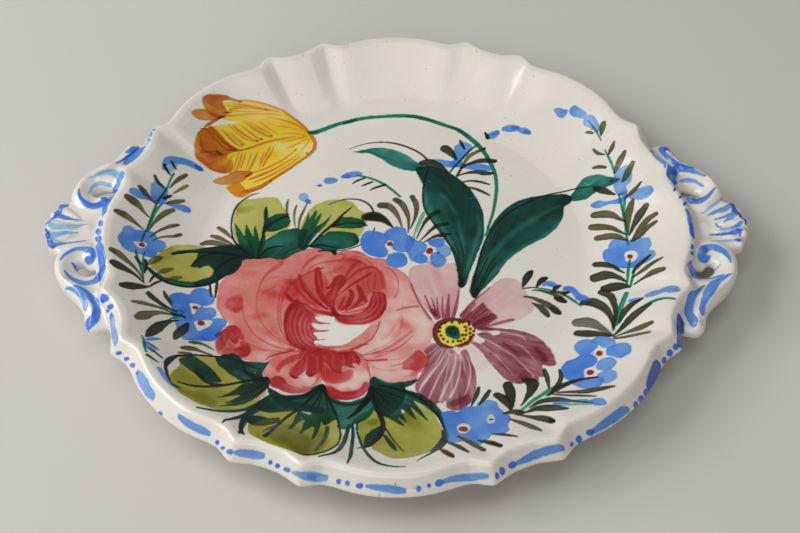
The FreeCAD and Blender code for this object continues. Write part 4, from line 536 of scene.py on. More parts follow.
    ('b', 'crm', [(-34.3,-35.8,0.18), (-31.9,-37.1,0.61), (-29,-38,0.74)], {'d': 1.242}),
    ('b', 'ros', [(-48.7,-19,0.23), (-46.1,-21.7,0.57), (-43.5,-24.9,0.77), (-41.4,-28.1,0.54)], {'d': 0.402, 'soft': 0.5, 'pool': 0}),
    ('b', 'crm', [(-35.9,-11,1.2), (-36,-15.3,1.59), (-35.8,-20.5,1.87), (-34.5,-25,1.61), (-32.9,-28.8,1.15), (-30.6,-32.7,0.75), (-28.6,-35.8,0.53)], {'d': 0.028}),
    ('w', 'crm', [(-29.7,-20.5), (-28.4,-16.6), (-26,-15), (-23.7,-15.7), (-22.8,-18), (-23.1,-20.6), (-24.8,-23.2), (-26.1,-25.7), (-27.1,-28.3), (-27.7,-32.1), (-27.1,-35.9), (-25.8,-38.4), (-27.8,-39), (-29.3,-35.8), (-30.6,-32), (-31.5,-28.2), (-31.1,-25.7), (-29.9,-23.8), (-29.2,-23.4), (-30.9,-23.4), (-32.1,-22.6), (-30.7,-22.1)], {'pool': 0.15, 'wob': 0.2, 'tones': [(-25.4, -17.3, 1), (-24.4, -19.3, 1), (-27.3, -20.5, 1), (-28.7, -24.4, 0.76), (-29.5, -28.2, 0.55), (-29.9, -32, 0.68), (-27.9, -35.8, 1.18), (-27.1, -37.7, 1.46), (-31.2, -22.8, 0.84), (-26.7, -24.4, 0.68)], 'd': 1.38, 'mottle': 0.14, 'grain': 0.1}),
    ('b', 'crm', [(-17.2,-6.5,0.49), (-19.1,-8.8,0.94), (-21.1,-12.1,0.8), (-22.7,-15.4,0.55), (-24.4,-19.3,0.33)], {'d': 0.897, 'streak': 0.4, 'dry': 0.2}),
    ('b', 'crm', [(-11.4,-14,0.44), (-13.6,-15.8,0.68), (-16.5,-18.1,0.68), (-19.4,-20.3,0.55), (-21.8,-22.5,0.42), (-24.2,-25.1,0.29), (-25.7,-27,0.17)], {'d': 1.104, 'streak': 0.3}),
    ('b', 'ros', [(-8.7,-10.9,0.2), (-12.6,-10.5,0.53), (-16.1,-11.8,0.77), (-19.5,-14.8,0.67), (-22.4,-18,0.48)], {'d': 0.862, 'streak': 0.4}),
    ('b', 'ros', [(-11.6,-10.5,0.4), (-14.6,-10.8,0.33), (-17.6,-11.8,0.26)], {'d': 0.575}),
    ('b', 'crm', [(-20.6,-24.5,0.92), (-19.9,-26.4,1.08), (-20.5,-29.6,1.23), (-21.6,-32.8,1.09), (-23,-34.6,0.82), (-24.5,-35.6,0.49)], {'d': 1.242, 'streak': 0.2}),
    ('b', 'crm', [(-17.4,-21.6,0.74), (-16.2,-24.5,1.22), (-15.5,-27.7,1.27), (-16.3,-30.3,1.1), (-18.2,-32.8,0.7), (-20.1,-34.3,0.36)], {'d': 1.242, 'streak': 0.2}),
    ('b', 'crm', [(-15.4,-27.1,1.05), (-13.9,-30.3,0.86), (-13.1,-31.1,0.35)], {'d': 1.242}),
    ('b', 'crm', [(-13.1,-31.3,0.18), (-15.3,-32.8,0.37), (-17.7,-33.7,0.43), (-20.1,-35,0.43), (-22.5,-36.2,0.37)], {'d': 0.966}),
    ('b', 'ros', [(-23.2,-28.3,0.53), (-24.1,-30.8,0.84), (-25,-33.4,0.84), (-25.8,-35.5,0.53)], {'d': 0.805, 'soft': 0.2}),
    ('b', 'crm', [(-26.1,-27,0.44), (-27.3,-29.5,0.21), (-27.7,-32.7,0.2)], {'d': 0.828}),
    ('w', 'crm', [(-10,-24.9), (-9,-25.4), (-7.1,-25.1), (-5.1,-26.6), (-4.3,-29.8), (-4.3,-33.5), (-5.3,-37), (-7,-39.8), (-9.4,-41.9), (-12.3,-43.5), (-16.1,-44.2), (-20,-44), (-23.3,-43.2), (-25.7,-41.8), (-27.3,-39.6), (-28.5,-37.1), (-28.1,-35.8), (-26.4,-37.4), (-23.9,-38.4), (-20.5,-38.4), (-17.7,-37.7), (-14.8,-36.3), (-12.9,-34.1), (-11.9,-30.9), (-11.2,-27.8), (-10.8,-25.2)], {'pool': 0.16, 'wob': 0.2, 'rings': 0.18, 'pitch': 1.2, 'tones': [(-9.5, -27.2, 0.68), (-7.1, -29.7, 1.09), (-5.6, -32.3, 1), (-7.5, -36, 1), (-9.4, -39.8, 0.84), (-12.3, -41, 0.68), (-15.7, -42.2, 0.55), (-20, -42.8, 0.61), (-23.8, -41.5, 0.76), (-26.8, -38.4, 1.27), (-21, -39.7, 0.76), (-16.2, -38.5, 0.61), (-12.4, -36, 0.84), (-10.5, -32.2, 0.92)], 'centre': (-18.3, -27.1), 'd': 1.38, 'mottle': 0.14, 'grain': 0.1}),
    ('b', 'crm', [(-11.4,-32.9,0.18), (-14.3,-35,0.49), (-17.7,-36.3,0.5), (-20.6,-37,0.37), (-23.9,-37.4,0.31)], {'d': 0.483, 'dry': 0.4}),
    ('b', 'crm', [(-33.6,-36.1,0.24), (-31.2,-37.4,0.73), (-28.7,-38.3,1.1), (-26.8,-39,0.61)], {'d': 1.242}),
    ('b', 'crmd', [(-28.2,-37.7,0.73), (-26.8,-38.4,0.96), (-25.7,-39,0.36)], {'d': 0.6, 'soft': 0.3}),
    ('b', 'ros', [(-39.8,-26.9,0.22), (-36.8,-30.7,0.45), (-33.7,-33.3,0.53), (-30.8,-35.2,0.48)], {'d': 0.747, 'streak': 0.3}),
    ('b', 'ros', [(-40.4,-35.7,0.37), (-37,-36.7,0.74), (-33.1,-37.7,0.74), (-29.7,-38.3,0.5)], {'d': 0.575, 'soft': 0.2}),
    ('b', 'ros', [(-40.4,-12.6,0.18,0.7), (-38,-9.3,0.32), (-33.6,-7.3,0.4), (-28.7,-6.7,0.6), (-23.2,-5.4,0.74), (-18.7,-5.5,0.79), (-15.2,-7.5,0.56), (-13.2,-9.5,0.38), (-9.7,-10.6,0.5), (-7.2,-14.2,0.75), (-6.1,-18.8,0.7), (-5.6,-23.3,0.49)], {'d': 0.713, 'streak': 0.35, 'soft': 0.2}),
    ('b', 'ros', [(-26.6,-7.4,0.33), (-23.7,-6.4,0.8), (-19.7,-6.1,1.06), (-16.7,-7.5,0.91)], {'d': 0.575, 'streak': 0.6, 'dry': 0.3, 'soft': 0.2}),
    ('b', 'ros', [(-26.3,-1.7,0.25), (-23.7,-3.4,0.54), (-24.7,-5.1,0.35)], {'d': 0.575, 'soft': 0.4}),
    ('b', 'ros', [(-20.7,-3.5,0.2), (-16.7,-4.2,0.33), (-13.2,-6.2,0.37), (-10.7,-9.6,0.23)], {'d': 0.517, 'soft': 0.15}),
    ('b', 'ros', [(-23.3,-0.7,0.2), (-18.8,-1.1,0.27), (-13.7,-3.2,0.2)], {'d': 0.287, 'soft': 0.3}),
    ('b', 'ros', [(-9.6,-14.2,0.59), (-9.6,-18.8,0.69), (-10.1,-23.3,0.5)], {'d': 0.402, 'dry': 0.4, 'soft': 0.3}),
    ('b', 'ros', [(-6.7,-12.9,0.31), (-5.2,-18.2,0.3), (-4.7,-23.3,0.25), (-4.4,-26.6,0.15)], {'d': 0.46, 'soft': 0.2}),
    ('b', 'ros', [(-12.6,-11.5,0.3), (-13.1,-16.1,0.4), (-12.5,-22,0.4), (-11.5,-25.2,0.2)], {'d': 0.345, 'dry': 0.5, 'soft': 0.3}),
    ('b', 'ros', [(-17.2,-7.5,0.2), (-16.1,-12.8,0.3), (-15.5,-18.1,0.3), (-14.5,-23.3,0.2)], {'d': 0.253, 'dry': 0.5, 'soft': 0.3}),
    ('b', 'ros', [(-31.4,-14,0.52), (-28.5,-12.7,0.77), (-24.6,-10.1,0.64)], {'d': 0.345, 'soft': 0.5, 'pool': 0}),
    ('b', 'ros', [(-32.4,-15.3,0.2), (-31.8,-19.2,0.4), (-31.2,-21.8,0.3)], {'d': 0.287, 'soft': 0.4}),
    ('b', 'ros', [(-4.2,-10.6,0.25), (-1.7,-12.6,0.35), (0.3,-16.9,0.31), (1,-21.5,0.3), (0.6,-26,0.2), (-1,-29.1,0.16)], {'d': 0.69, 'soft': 0.08}),
    ('b', 'ros', [(-7.7,-8.3,0.18), (-4.7,-11.6,0.23), (-1.7,-17.5,0.16)], {'d': 0.207, 'soft': 0.3}),
    ('b', 'ros', [(3.1,-29.8,0.15), (2.9,-33.6,0.19), (2.4,-37.4,0.15)], {'d': 0.287, 'soft': 0.1}),
    ('b', 'ros', [(0.2,-36.4,0.3), (2.6,-35,0.56), (6,-34.3,0.63), (9.9,-34,0.31)], {'d': 0.575, 'soft': 0.15}),
    ('b', 'ros', [(1.2,-37.4,0.21), (2.4,-39.9,0.34), (2.3,-44.2,0.34), (1.6,-47.9,0.24)], {'d': 0.402, 'soft': 0.4, 'pool': 0}),
    ('b', 'ros', [(-0.5,-44.2,0.15), (-1.7,-47.2,0.21), (-3.6,-50.3,0.22), (-6.5,-52.7,0.17)], {'d': 0.345, 'soft': 0.1}),
    ('b', 'ros', [(-7.5,-42.3,0.2), (-8,-46,0.3), (-9.4,-49.6,0.31), (-11.2,-52.6,0.39), (-14.1,-55,0.52), (-16.9,-57.1,0.58), (-19.7,-58.3,0.41)], {'d': 0.862, 'soft': 0.08, 'streak': 0.2}),
    ('b', 'ros', [(-12.4,-55.1,0.36), (-15,-55.6,0.54), (-17.8,-57.1,0.59), (-20.6,-58.2,0.48), (-24.4,-58.8,0.36)], {'d': 0.862, 'streak': 0.3}),
    ('b', 'ros', [(-7.5,-42.3,0.15), (-6.8,-45.4,0.14), (-7,-48.4,0.1)], {'d': 0.23}),
    ('b', 'ros', [(7.3,-50.4,0.16), (4.9,-53.4,0.33), (2.1,-56.1,0.34), (-1.7,-58.4,0.35), (-6.4,-59.9,0.3), (-11.2,-60.7,0.24), (-14.4,-61.3,0.18)], {'d': 0.517, 'soft': 0.12}),
    ('b', 'ros', [(1.6,-49.1,0.16), (-1.7,-53.3,0.28), (-6.5,-56.9,0.29), (-11.2,-59.2,0.23), (-14.4,-61,0.17)], {'d': 0.402, 'soft': 0.15}),
    ('b', 'ros', [(9.8,-43.7,0.53), (6.9,-48.5,1.09), (3,-52.1,1.15), (-0.8,-54.5,0.58)], {'d': 0.23, 'soft': 0.9, 'pool': 0}),
    ('b', 'crm', [(-4.3,-63.6,0.47), (-6.9,-64,0.53), (-9.7,-64.3,0.41), (-13,-64.2,0.24)], {'d': 0.759, 'soft': 0.08}),
    ('b', 'ros', [(-2.7,-67.3,0.17), (0.1,-66.7,0.35), (2.9,-66.2,0.29)], {'d': 0.575}),
    ('b', 'ros', [(2.5,-63.2,0.18), (-0.8,-63.8,0.24), (-4.6,-64.3,0.24)], {'d': 0.46}),
    ('b', 'ros', [(-10.6,-67.8,0.17), (-7.3,-69,0.29), (-3.6,-69.6,0.29), (0.1,-69.3,0.17)], {'d': 0.287, 'soft': 0.3}),
    ('b', 'ros', [(9.9,-69.4,0.44), (7.1,-71.7,0.79), (3.8,-72.9,0.46)], {'d': 0.402, 'soft': 0.7, 'pool': 0}),
    ('w', 'crm', [(2.5,-66.2), (4.4,-63.5), (6.7,-61.2), (8.9,-58.9), (9.8,-58.5), (11.2,-59.4), (12.4,-61.2), (13.9,-62.7), (14.2,-65.4), (12.7,-67.4), (10.4,-69.1), (8,-69.9), (6.2,-69.1), (3.9,-69.1), (2.2,-68.2), (3,-67.3)], {'pool': 0.16, 'soft': 0.12, 'tones': [(10, -64.2, 0.76), (12.3, -64.2, 0.55), (7.7, -63, 0.55), (4.8, -65.9, 0.42), (8.5, -68.3, 0.76), (4.8, -68.2, 0.42), (11.3, -67.1, 0.42), (9.1, -60, 0.42)], 'd': 1.38, 'mottle': 0.14, 'grain': 0.1}),
    ('b', 'ros', [(-34.9,-54.8,0.23), (-31.5,-56.4,0.53), (-28.2,-56.7,0.6), (-24.9,-56.4,0.36)], {'d': 0.575, 'streak': 0.4}),
    ('b', 'ros', [(-35.7,-58.4,0.36), (-30.6,-57.6,0.48), (-26.8,-58.5,0.34), (-32.9,-59.3,0.36)], {'d': 0.575, 'streak': 0.4}),
    ('w', 'ros', [(-11.3,-44.4), (-9.4,-44.1), (-8.2,-44.7), (-9.4,-49), (-12.2,-52.6), (-15.5,-55), (-18.8,-56.8), (-23.5,-57.6), (-28.2,-57), (-23.5,-55.6), (-18.8,-52.7), (-15.1,-49.1)], {'d': 0.253, 'soft': 0.1, 'pool': 0.1}),
    ('b', 'crm', [(-35,-51.2,0.17), (-37,-49.4,0.33), (-39,-47.5,0.44)], {'d': 0.69, 'soft': 0.2}),
    ('w', 'crm', [(-40.4,-58.4), (-36.7,-57.8), (-33.8,-59.3), (-31.5,-58.7), (-29.1,-58.2), (-25.3,-59.6), (-22,-59.4), (-18.7,-59), (-16.8,-61), (-15.6,-63.3), (-16,-66), (-17.7,-65.7), (-19.1,-66), (-18.3,-67.5), (-19.5,-67.9), (-21.9,-66.8), (-23.7,-67.5), (-23.6,-70.3), (-25,-70.8), (-27.1,-70), (-28.8,-67.9), (-30.3,-65.6), (-32.2,-65), (-33.5,-69), (-35.7,-72.2), (-38,-72.2), (-39,-70.2), (-38.2,-66.7), (-40.2,-63.7)], {'pool': 0.12, 'soft': 0.12, 'tones': [(-37.5, -62.6, 0.68), (-35.5, -65.5, 0.76), (-34.4, -69.6, 0.48), (-37.6, -70.8, 0.84), (-32.3, -62.6, 0.42), (-29, -62.6, 0.76), (-28.4, -66.8, 0.84), (-26, -69.1, 0.76), (-26.1, -63.8, 0.68), (-22.4, -61.5, 1), (-23.3, -65, 0.68), (-18.7, -61.5, 0.84), (-17.2, -64.5, 0.84), (-20.5, -66.2, 0.76), (-31.9, -59.6, 0.31)], 'd': 1.38, 'mottle': 0.14, 'grain': 0.1}),
    ('b', 'crmd', [(-25.3,-59.7,0.36), (-22.5,-59.6,0.72), (-19.7,-59.4,0.48)], {'d': 0.42, 'soft': 0.3}),
    ('b', 'crmd', [(-23.9,-70.3,0.46), (-25.5,-70.9,0.23)], {'d': 0.6}),
    ('b', 'crmd', [(-16,-66.3,0.35), (-17.2,-66,0.17)], {'d': 0.48}),
    ('b', 'crmd', [(-18.3,-67.9,0.35), (-20,-67.5,0.17)], {'d': 0.48}),
    ('w', 'ros', [(-32.2,-65.5), (-30.3,-66.2), (-27.9,-69.1), (-24.6,-70.3), (-19.5,-69.2), (-18.5,-71.5), (-19.8,-74.4), (-24,-76.1), (-28.6,-76), (-31.4,-73.7), (-32.5,-69.6)], {'pool': 0.06, 'soft': 0.6, 'wob': 0.3, 'tones': [(-29.7, -70.8, 1), (-25, -72.6, 0.75), (-20.8, -71.5, 0.5), (-28.6, -74.9, 0.8), (-32.1, -69.1, 0.7)], 'd': 1.15}),
    ('b', 'ros', [(-32.4,-66.7,0.29), (-33.2,-71.4,0.48), (-34.2,-75.4,0.51), (-36.4,-78.3,0.43)], {'d': 0.575, 'soft': 0.3}),
    ('w', 'crm', [(-30.5,-80), (-29.5,-77.7), (-27.6,-77.8), (-25.3,-79.8), (-21.5,-80.7), (-18.3,-80.1), (-16,-79.3), (-14.7,-77.6), (-14.2,-75.9), (-12.9,-75.6), (-11.7,-76.5), (-11.5,-78.2), (-12.6,-80.7), (-14.2,-82.7), (-17.3,-84.4), (-21.4,-85.2), (-25.1,-84.9), (-28.4,-83.1)], {'pool': 0.1, 'soft': 0.2, 'tones': [(-28.5, -80.6, 0.84), (-25.2, -82.4, 0.92), (-21.5, -82.4, 0.84), (-17.4, -82.1, 0.84), (-14.7, -79.6, 0.76), (-12.8, -76.7, 0.55), (-13.7, -81.3, 0.68), (-29.4, -78.3, 0.55), (-14.6, -82.4, 0.26), (-11.9, -79.6, 0.21), (-16.4, -84, 0.31)], 'd': 1.38, 'mottle': 0.14, 'grain': 0.1}),
    ('b', 'crm', [(-56.9,-63.6,0.17), (-54.6,-61.5,0.35), (-51.4,-60.1,0.48), (-47.7,-59.2,0.48), (-44.9,-58.4,0.3)], {'d': 1.035, 'streak': 0.3}),
    ('b', 'crm', [(-41.1,-58.4,0.3), (-41.9,-61.3,1.1), (-44.2,-62.5,1.64), (-47.4,-64.2,1.5), (-50.1,-66.6,1.2), (-50.9,-68.9,0.77), (-50.5,-70,0.29)], {'d': 0.759, 'streak': 0.25, 'soft': 0.1}),
    ('b', 'crm', [(-37.8,-59,0.7), (-38.8,-63.1,2.04), (-40.8,-66.6,2.68), (-43,-69.5,2.71), (-44.3,-71.3,1.71), (-43.3,-72.7,1.01)], {'d': 0.856, 'streak': 0.2, 'soft': 0.12}),
    ('b', 'crm', [(-34,-59.6,0.96), (-34.3,-63.8,2.4), (-35.1,-67.9,2.75), (-36,-70.2,2.03), (-36.8,-71.9,1.03)], {'d': 0.856, 'streak': 0.2, 'soft': 0.12}),
    ('b', 'crmd', [(-44.7,-72.2,0.44), (-43.3,-73.2,0.57), (-42.1,-73,0.23)], {'d': 0.96}),
    ('b', 'crmd', [(-37.3,-71.9,0.34), (-35.9,-72.2,0.23)], {'d': 0.84}),
    ('w', 'crm', [(-53.8,-74.2), (-51.6,-72.3), (-49.8,-72.2), (-48.1,-73.7), (-46.8,-76.2), (-43.5,-78.2), (-39.8,-79), (-36.1,-79), (-37.4,-80.8), (-41,-82.2), (-44.1,-82.5), (-47.4,-81.6), (-50.2,-80.2), (-53,-78.8), (-55.1,-74.7), (-54.3,-73.5)], {'pool': 0.1, 'soft': 0.25, 'tones': [(-51.5, -73.9, 0.76), (-49.6, -75.1, 0.92), (-50.4, -77.8, 0.68), (-46.7, -78.1, 0.42), (-42.9, -79.8, 0.26), (-38.3, -80.2, 0.31), (-53.2, -76.1, 0.55), (-47.4, -80.9, 0.36)], 'd': 1.38, 'mottle': 0.14, 'grain': 0.1}),
    ('b', 'blu', [(-110.7,42,0.76), (-109.9,45.6,1.41), (-107.8,48,2.03), (-104.4,49.2,2.02), (-100.9,50,2.07), (-98,49.5,1.81), (-94.9,48.5,1.51), (-93.8,48.2,0.91)], {'d': 1.007, 'streak': 0.2}),
    ('b', 'blu', [(-108.4,41,0.56), (-107.2,43.7,1.45), (-105.4,47.2,1.12)], {'d': 0.53, 'soft': 0.2}),
    ('b', 'bld', [(-96.5,49.5,0.75), (-94.6,48.6,1.05), (-93.7,48.1,0.45)], {'d': 0.6, 'soft': 0.1}),
    ('w', 'blu', [(-115.4,32.3), (-114.7,34.1), (-112.7,34.5), (-110.1,34), (-108.2,32.1), (-107.9,28.5), (-108.1,23.8), (-110.1,21.5), (-113,21.9), (-114.7,25.1), (-115.3,29.4)], {'pool': 0.12, 'soft': 0.1, 'tones': [(-112.8, 32.6, 0.6), (-113.1, 28.8, 0.7), (-110.2, 29.1, 0.9), (-110.9, 24.3, 1.2), (-108.8, 25.1, 1.1)], 'd': 1.06}),
    ('w', 'blu', [(-124,24.1), (-122.8,25.4), (-120.1,25.8), (-117.2,25.1), (-114.3,24.1), (-114.7,22), (-117.9,21), (-121.3,21.1), (-123.6,22.3)], {'pool': 0.12, 'tones': [(-122.6, 23.9, 0.9), (-118.7, 23.4, 1.1), (-115.3, 22.5, 0.8)], 'd': 1.06}),
    ('w', 'blu', [(-108.6,23.2), (-105.8,23.7), (-102.5,24.9), (-99,25.3), (-97.2,24), (-97.3,21.8), (-99.5,20.9), (-102.7,21.5), (-106.2,22.2)], {'pool': 0.12, 'tones': [(-105.7, 23.1, 0.9), (-101.2, 23.5, 0.85), (-98.2, 22.5, 1.2)], 'd': 1.06}),
    ('w', 'blu', [(-124.6,-0.3), (-123.9,2.8), (-121.6,3.9), (-119.3,3), (-116.7,4), (-112.9,4.9), (-110.6,3.4), (-110.3,1.2), (-107,0.9), (-105.7,-1.9), (-106.9,-4.7), (-108.9,-7.1), (-109.2,-9.6), (-111.2,-11.3), (-113.9,-11.1), (-116.6,-11), (-119.7,-11.6), (-122.5,-10.5), (-124.8,-7.5), (-125.7,-4.8), (-125.2,-1.8)], {'pool': 0.12, 'soft': 0.06, 'tones': [(-123, 2, 0.85), (-121.8, 1, 0.65), (-123.9, -3.9, 1.15), (-118.9, -0.8, 1.25), (-115.2, 0.8, 1.1), (-111.5, 1.5, 0.95), (-121.4, -6.8, 1.1), (-119.4, -9.8, 0.9), (-111.6, -7.3, 1.35), (-110.3, -4.4, 1), (-107.7, -2.6, 0.85), (-116.4, -8.5, 0.8), (-106.8, -0.7, 0.8)], 'd': 1.06}),
    ('w', 'wht', [(-119.4,-4.4), (-117.4,-4), (-115.9,-3.1), (-114.3,-2.8), (-113.5,-3.9), (-114.5,-5.9), (-116.1,-7.2), (-117.4,-6.9), (-118.6,-5.8)], {'d': 1, 'cut': 1, 'pool': 0, 'soft': 0.1}),
    ('w', 'red', [(-114.5,-5), (-114.6,-4.2), (-115.2,-3.7), (-115.9,-3.6), (-116.6,-4), (-116.9,-4.7), (-116.8,-5.5), (-116.2,-6), (-115.5,-6.1), (-114.8,-5.7)], {'d': 1}),
    ('w', 'blu', [(-101.2,-31.5), (-99.3,-29), (-96.2,-27.7), (-92.8,-28), (-91.5,-24.9), (-88.9,-22.9), (-84.9,-23.4), (-82.3,-26.7), (-81.4,-29.7), (-83,-32.2), (-85.6,-33.6), (-87.3,-33.6), (-85,-34.4), (-82.2,-34.1), (-80.4,-36), (-80.4,-38.9), (-81.6,-40.6), (-79.4,-40.3), (-77.2,-40), (-75.4,-41.9), (-75.5,-44.2), (-76.9,-46.6), (-77.5,-49.5), (-77,-51.4), (-79.2,-53.9), (-82.3,-55.5), (-85.5,-56.2), (-89.6,-57.4), (-92,-57.3), (-93.2,-53.5), (-95.7,-50.9), (-96,-48.5), (-98.1,-44.2), (-99.1,-40.3), (-99.6,-36.3)], {'pool': 0.1, 'soft': 0.05, 'tones': [(-97.9, -31.7, 1.35), (-93.5, -32, 1.3), (-89.6, -27, 1.05), (-85.1, -27.7, 0.95), (-87, -31.3, 1.1), (-93.9, -38.7, 1.35), (-91.2, -42.8, 1.2), (-87.3, -39.4, 1), (-83.1, -36.9, 0.8), (-83.3, -40.2, 1.1), (-93.9, -47.8, 0.85), (-90.5, -49.3, 1.15), (-88, -52.7, 1), (-90.9, -55.2, 0.85), (-84.2, -53.3, 1.5), (-80.7, -50.1, 1.4), (-79.5, -45.1, 1.05), (-77, -42.4, 0.95), (-79.4, -52.3, 1.3), (-97.3, -37.3, 1)], 'd': 1.06}),
    ('w', 'wht', [(-92.1,-33.7), (-90.1,-33.2), (-87.2,-34.1), (-88.7,-36.1), (-89.2,-39.5), (-90.2,-40.1), (-91.2,-37.1)], {'d': 1, 'cut': 1, 'pool': 0, 'soft': 0.08}),
    ('w', 'wht', [(-87,-34.1), (-85,-34.2), (-82.3,-33.3), (-81.1,-31.2), (-80.3,-33.5), (-81,-34.7), (-83.4,-33.9), (-85.5,-35)], {'d': 0.7, 'cut': 1, 'pool': 0, 'soft': 0.15}),
    ('w', 'wht', [(-89,-44.7), (-86.8,-43.4), (-83.7,-42.2), (-81.5,-42.2), (-82.1,-45.5), (-84.2,-47.6), (-86.7,-49.8), (-87.7,-48.4)], {'d': 1, 'cut': 1, 'pool': 0, 'soft': 0.08}),
    ('w', 'red', [(-88.2,-35.2), (-88.5,-34.6), (-89.2,-34.4), (-90,-34.6), (-90.5,-35.1), (-90.7,-35.8), (-90.4,-36.4), (-89.7,-36.7), (-89,-36.5), (-88.4,-36)], {'d': 1}),
    ('w', 'red', [(-84.7,-44.4), (-85,-43.5), (-85.8,-43.1), (-86.6,-43.3), (-87.3,-44.1), (-87.4,-45.1), (-87.1,-45.9), (-86.3,-46.3), (-85.5,-46.1), (-84.8,-45.4)], {'d': 1}),
    ('b', 'plmd', [(-78.7,-50.9,0.83), (-77.7,-49.5,0.96)], {'d': 0.5, 'soft': 0.2}),
    ('w', 'blu', [(-106.5,-62.9), (-104.7,-61.1), (-102.3,-60.2), (-100.4,-60.8), (-101.5,-62.1), (-104.3,-63.9), (-106,-64.5)], {'d': 1.166}),
    ('b', 'blu', [(-105.8,-66.1,1.22), (-104,-68,1.65), (-102.4,-70,1.18)], {'d': 0.848}),
    ('b', 'teal', [(-106,41.1,0.38), (-107.5,36.5,0.43), (-109,30.7,0.38), (-110.9,24.3,0.38), (-112.2,19.9,0.43), (-113.5,13.2,0.48), (-114.3,7.5,0.47), (-115.4,2.3,0.42), (-116.2,-3,0.31)], {'d': 1.21}),
    ('b', 'teal', [(-109.6,22,0.35), (-111.5,18.3,0.55), (-112.7,13.6,0.42), (-113.6,8.5,0.26)], {'d': 0.88}),
    ('b', 'grn2', [(-108.8,32.6,0.38), (-110.1,27.6,0.49), (-111.9,22.4,0.43)], {'d': 0.672}),
    ('b', 'teal', [(-117.8,-9.1,0.37), (-116.6,-13.4,0.56), (-114.5,-19.1,0.57), (-112.8,-24.1,0.42), (-112.2,-27.5,0.29)], {'d': 1.1}),
    ('b', 'teal', [(-114.2,-8.8,0.27), (-114.1,-14,0.44), (-113.2,-19.3,0.4), (-112.5,-22.3,0.23)], {'d': 0.88}),
    ('b', 'grn2', [(-117.3,-13.7,0.58), (-115.4,-16.2,0.9), (-113.4,-17.7,0.7), (-112.4,-21.4,0.36)], {'d': 0.784}),
    ('b', 'teal', [(-110.5,-33.9,0.39), (-107,-36.6,0.47), (-102.3,-39.9,0.57), (-98,-40.4,0.49), (-94.1,-39.5,0.32)], {'d': 0.88}),
    ('b', 'teal', [(-93.7,-40.4,0.35), (-96.5,-44,0.5), (-99.3,-47.2,0.37), (-102.1,-50.3,0.29)], {'d': 0.88}),
    ('b', 'teal', [(-108.3,-61.1,0.31), (-107.1,-64.1,0.59), (-105.9,-68.8,0.57), (-104.9,-71.8,0.46)], {'d': 0.99}),
    ('b', 'ol', [(-128.3,10.1,1.17), (-125.5,9.5,1.88), (-122,8,1.4), (-118.6,6.1,0.7), (-116.1,4.5,0.31)], {'d': 1.188, 'streak': 0.2, 'pool': 0.3, 'end': 0.25}),
    ('b', 'ol', [(-124.4,19.7,1.54), (-121.8,18.5,2.15), (-119.1,16.7,1.36), (-116.7,14.3,0.67), (-114.6,12.6,0.38)], {'d': 1.188, 'streak': 0.2, 'pool': 0.3, 'end': 0.25}),
    ('b', 'ol', [(-119.8,27.6,1.04), (-118.1,25.9,1.49), (-115.7,23.5,1.04), (-113.5,21.7,0.61), (-111.9,20.7,0.31)], {'d': 1.188, 'streak': 0.2, 'pool': 0.3, 'end': 0.25}),
    ('b', 'ol', [(-100.4,42.5,0.76), (-102.5,40.1,1.06), (-105.2,36.6,0.72), (-107.4,32.8,0.23)], {'d': 1.188, 'streak': 0.2, 'pool': 0.3, 'end': 0.25}),
    ('b', 'ol', [(-104.6,20.5,0.96), (-107,18.4,1.3), (-110,14.2,1.1), (-112.3,9.8,0.61), (-114.2,4,0.22)], {'d': 1.188, 'streak': 0.2, 'pool': 0.3, 'end': 0.25}),
    ('b', 'ol', [(-100.7,27.9,0.86), (-103.2,26.3,1.26), (-105.9,24.5,0.97), (-108,22.7,0.34)], {'d': 1.188, 'streak': 0.2, 'pool': 0.3, 'end': 0.25}),
    ('b', 'ol', [(-101.8,12.8,0.73), (-104.6,11.1,0.94), (-107.7,8.4,0.68), (-110.7,5,0.45), (-112.8,1.4,0.24)], {'d': 1.188, 'streak': 0.2, 'pool': 0.3, 'end': 0.25}),
    ('b', 'ol', [(-100.3,7.4,0.87), (-103,5.5,0.75), (-106.7,4,0.59), (-109.8,1.7,0.35), (-111.6,-0.3,0.2)], {'d': 1.188, 'streak': 0.2, 'pool': 0.3, 'end': 0.25}),
    ('b', 'ol', [(-127.2,-13.6,1.42), (-124.7,-14.7,1.88), (-121.2,-17.2,1.4), (-117.6,-20,0.92), (-114.6,-23.2,0.51), (-112.3,-26.7,0.21)], {'d': 1.188, 'streak': 0.2, 'pool': 0.3, 'end': 0.25}),
    ('b', 'ol', [(-114.5,-42.2,0.82), (-111.6,-41.5,1.24), (-108,-41.2,1.07), (-103.8,-41.2,0.82), (-100,-41.9,0.58), (-96.6,-42.8,0.32)], {'d': 1.188, 'streak': 0.2, 'pool': 0.3, 'end': 0.25}),
    ('b', 'ol', [(-111.3,-51.2,1.52), (-109.3,-49.2,2.42), (-106.7,-46.6,1.7), (-102.9,-44.2,0.97), (-98.7,-43.6,0.66), (-94.5,-43,0.41), (-92.8,-43.7,0.24)], {'d': 1.188, 'streak': 0.2, 'pool': 0.3, 'end': 0.25}),
    ('b', 'olk', [(-128.3,10.1,1.17), (-125.5,9.5,1.41)], {'d': 0.253, 'streak': 0.2, 'pool': 0.3, 'end': 0.25, 'soft': 0.1}),
    ('b', 'olk', [(-124.4,19.5,1.39), (-121.8,18.3,1.55)], {'d': 0.253, 'streak': 0.2, 'pool': 0.3, 'end': 0.25, 'soft': 0.1}),
    ('b', 'olk', [(-119.8,27.6,0.89), (-118.1,25.9,1.04)], {'d': 0.253, 'streak': 0.2, 'pool': 0.3, 'end': 0.25, 'soft': 0.1}),
    ('b', 'olk', [(-101.8,12.8,0.73), (-103.5,11.7,0.87)], {'d': 0.253, 'streak': 0.2, 'pool': 0.3, 'end': 0.25, 'soft': 0.1}),
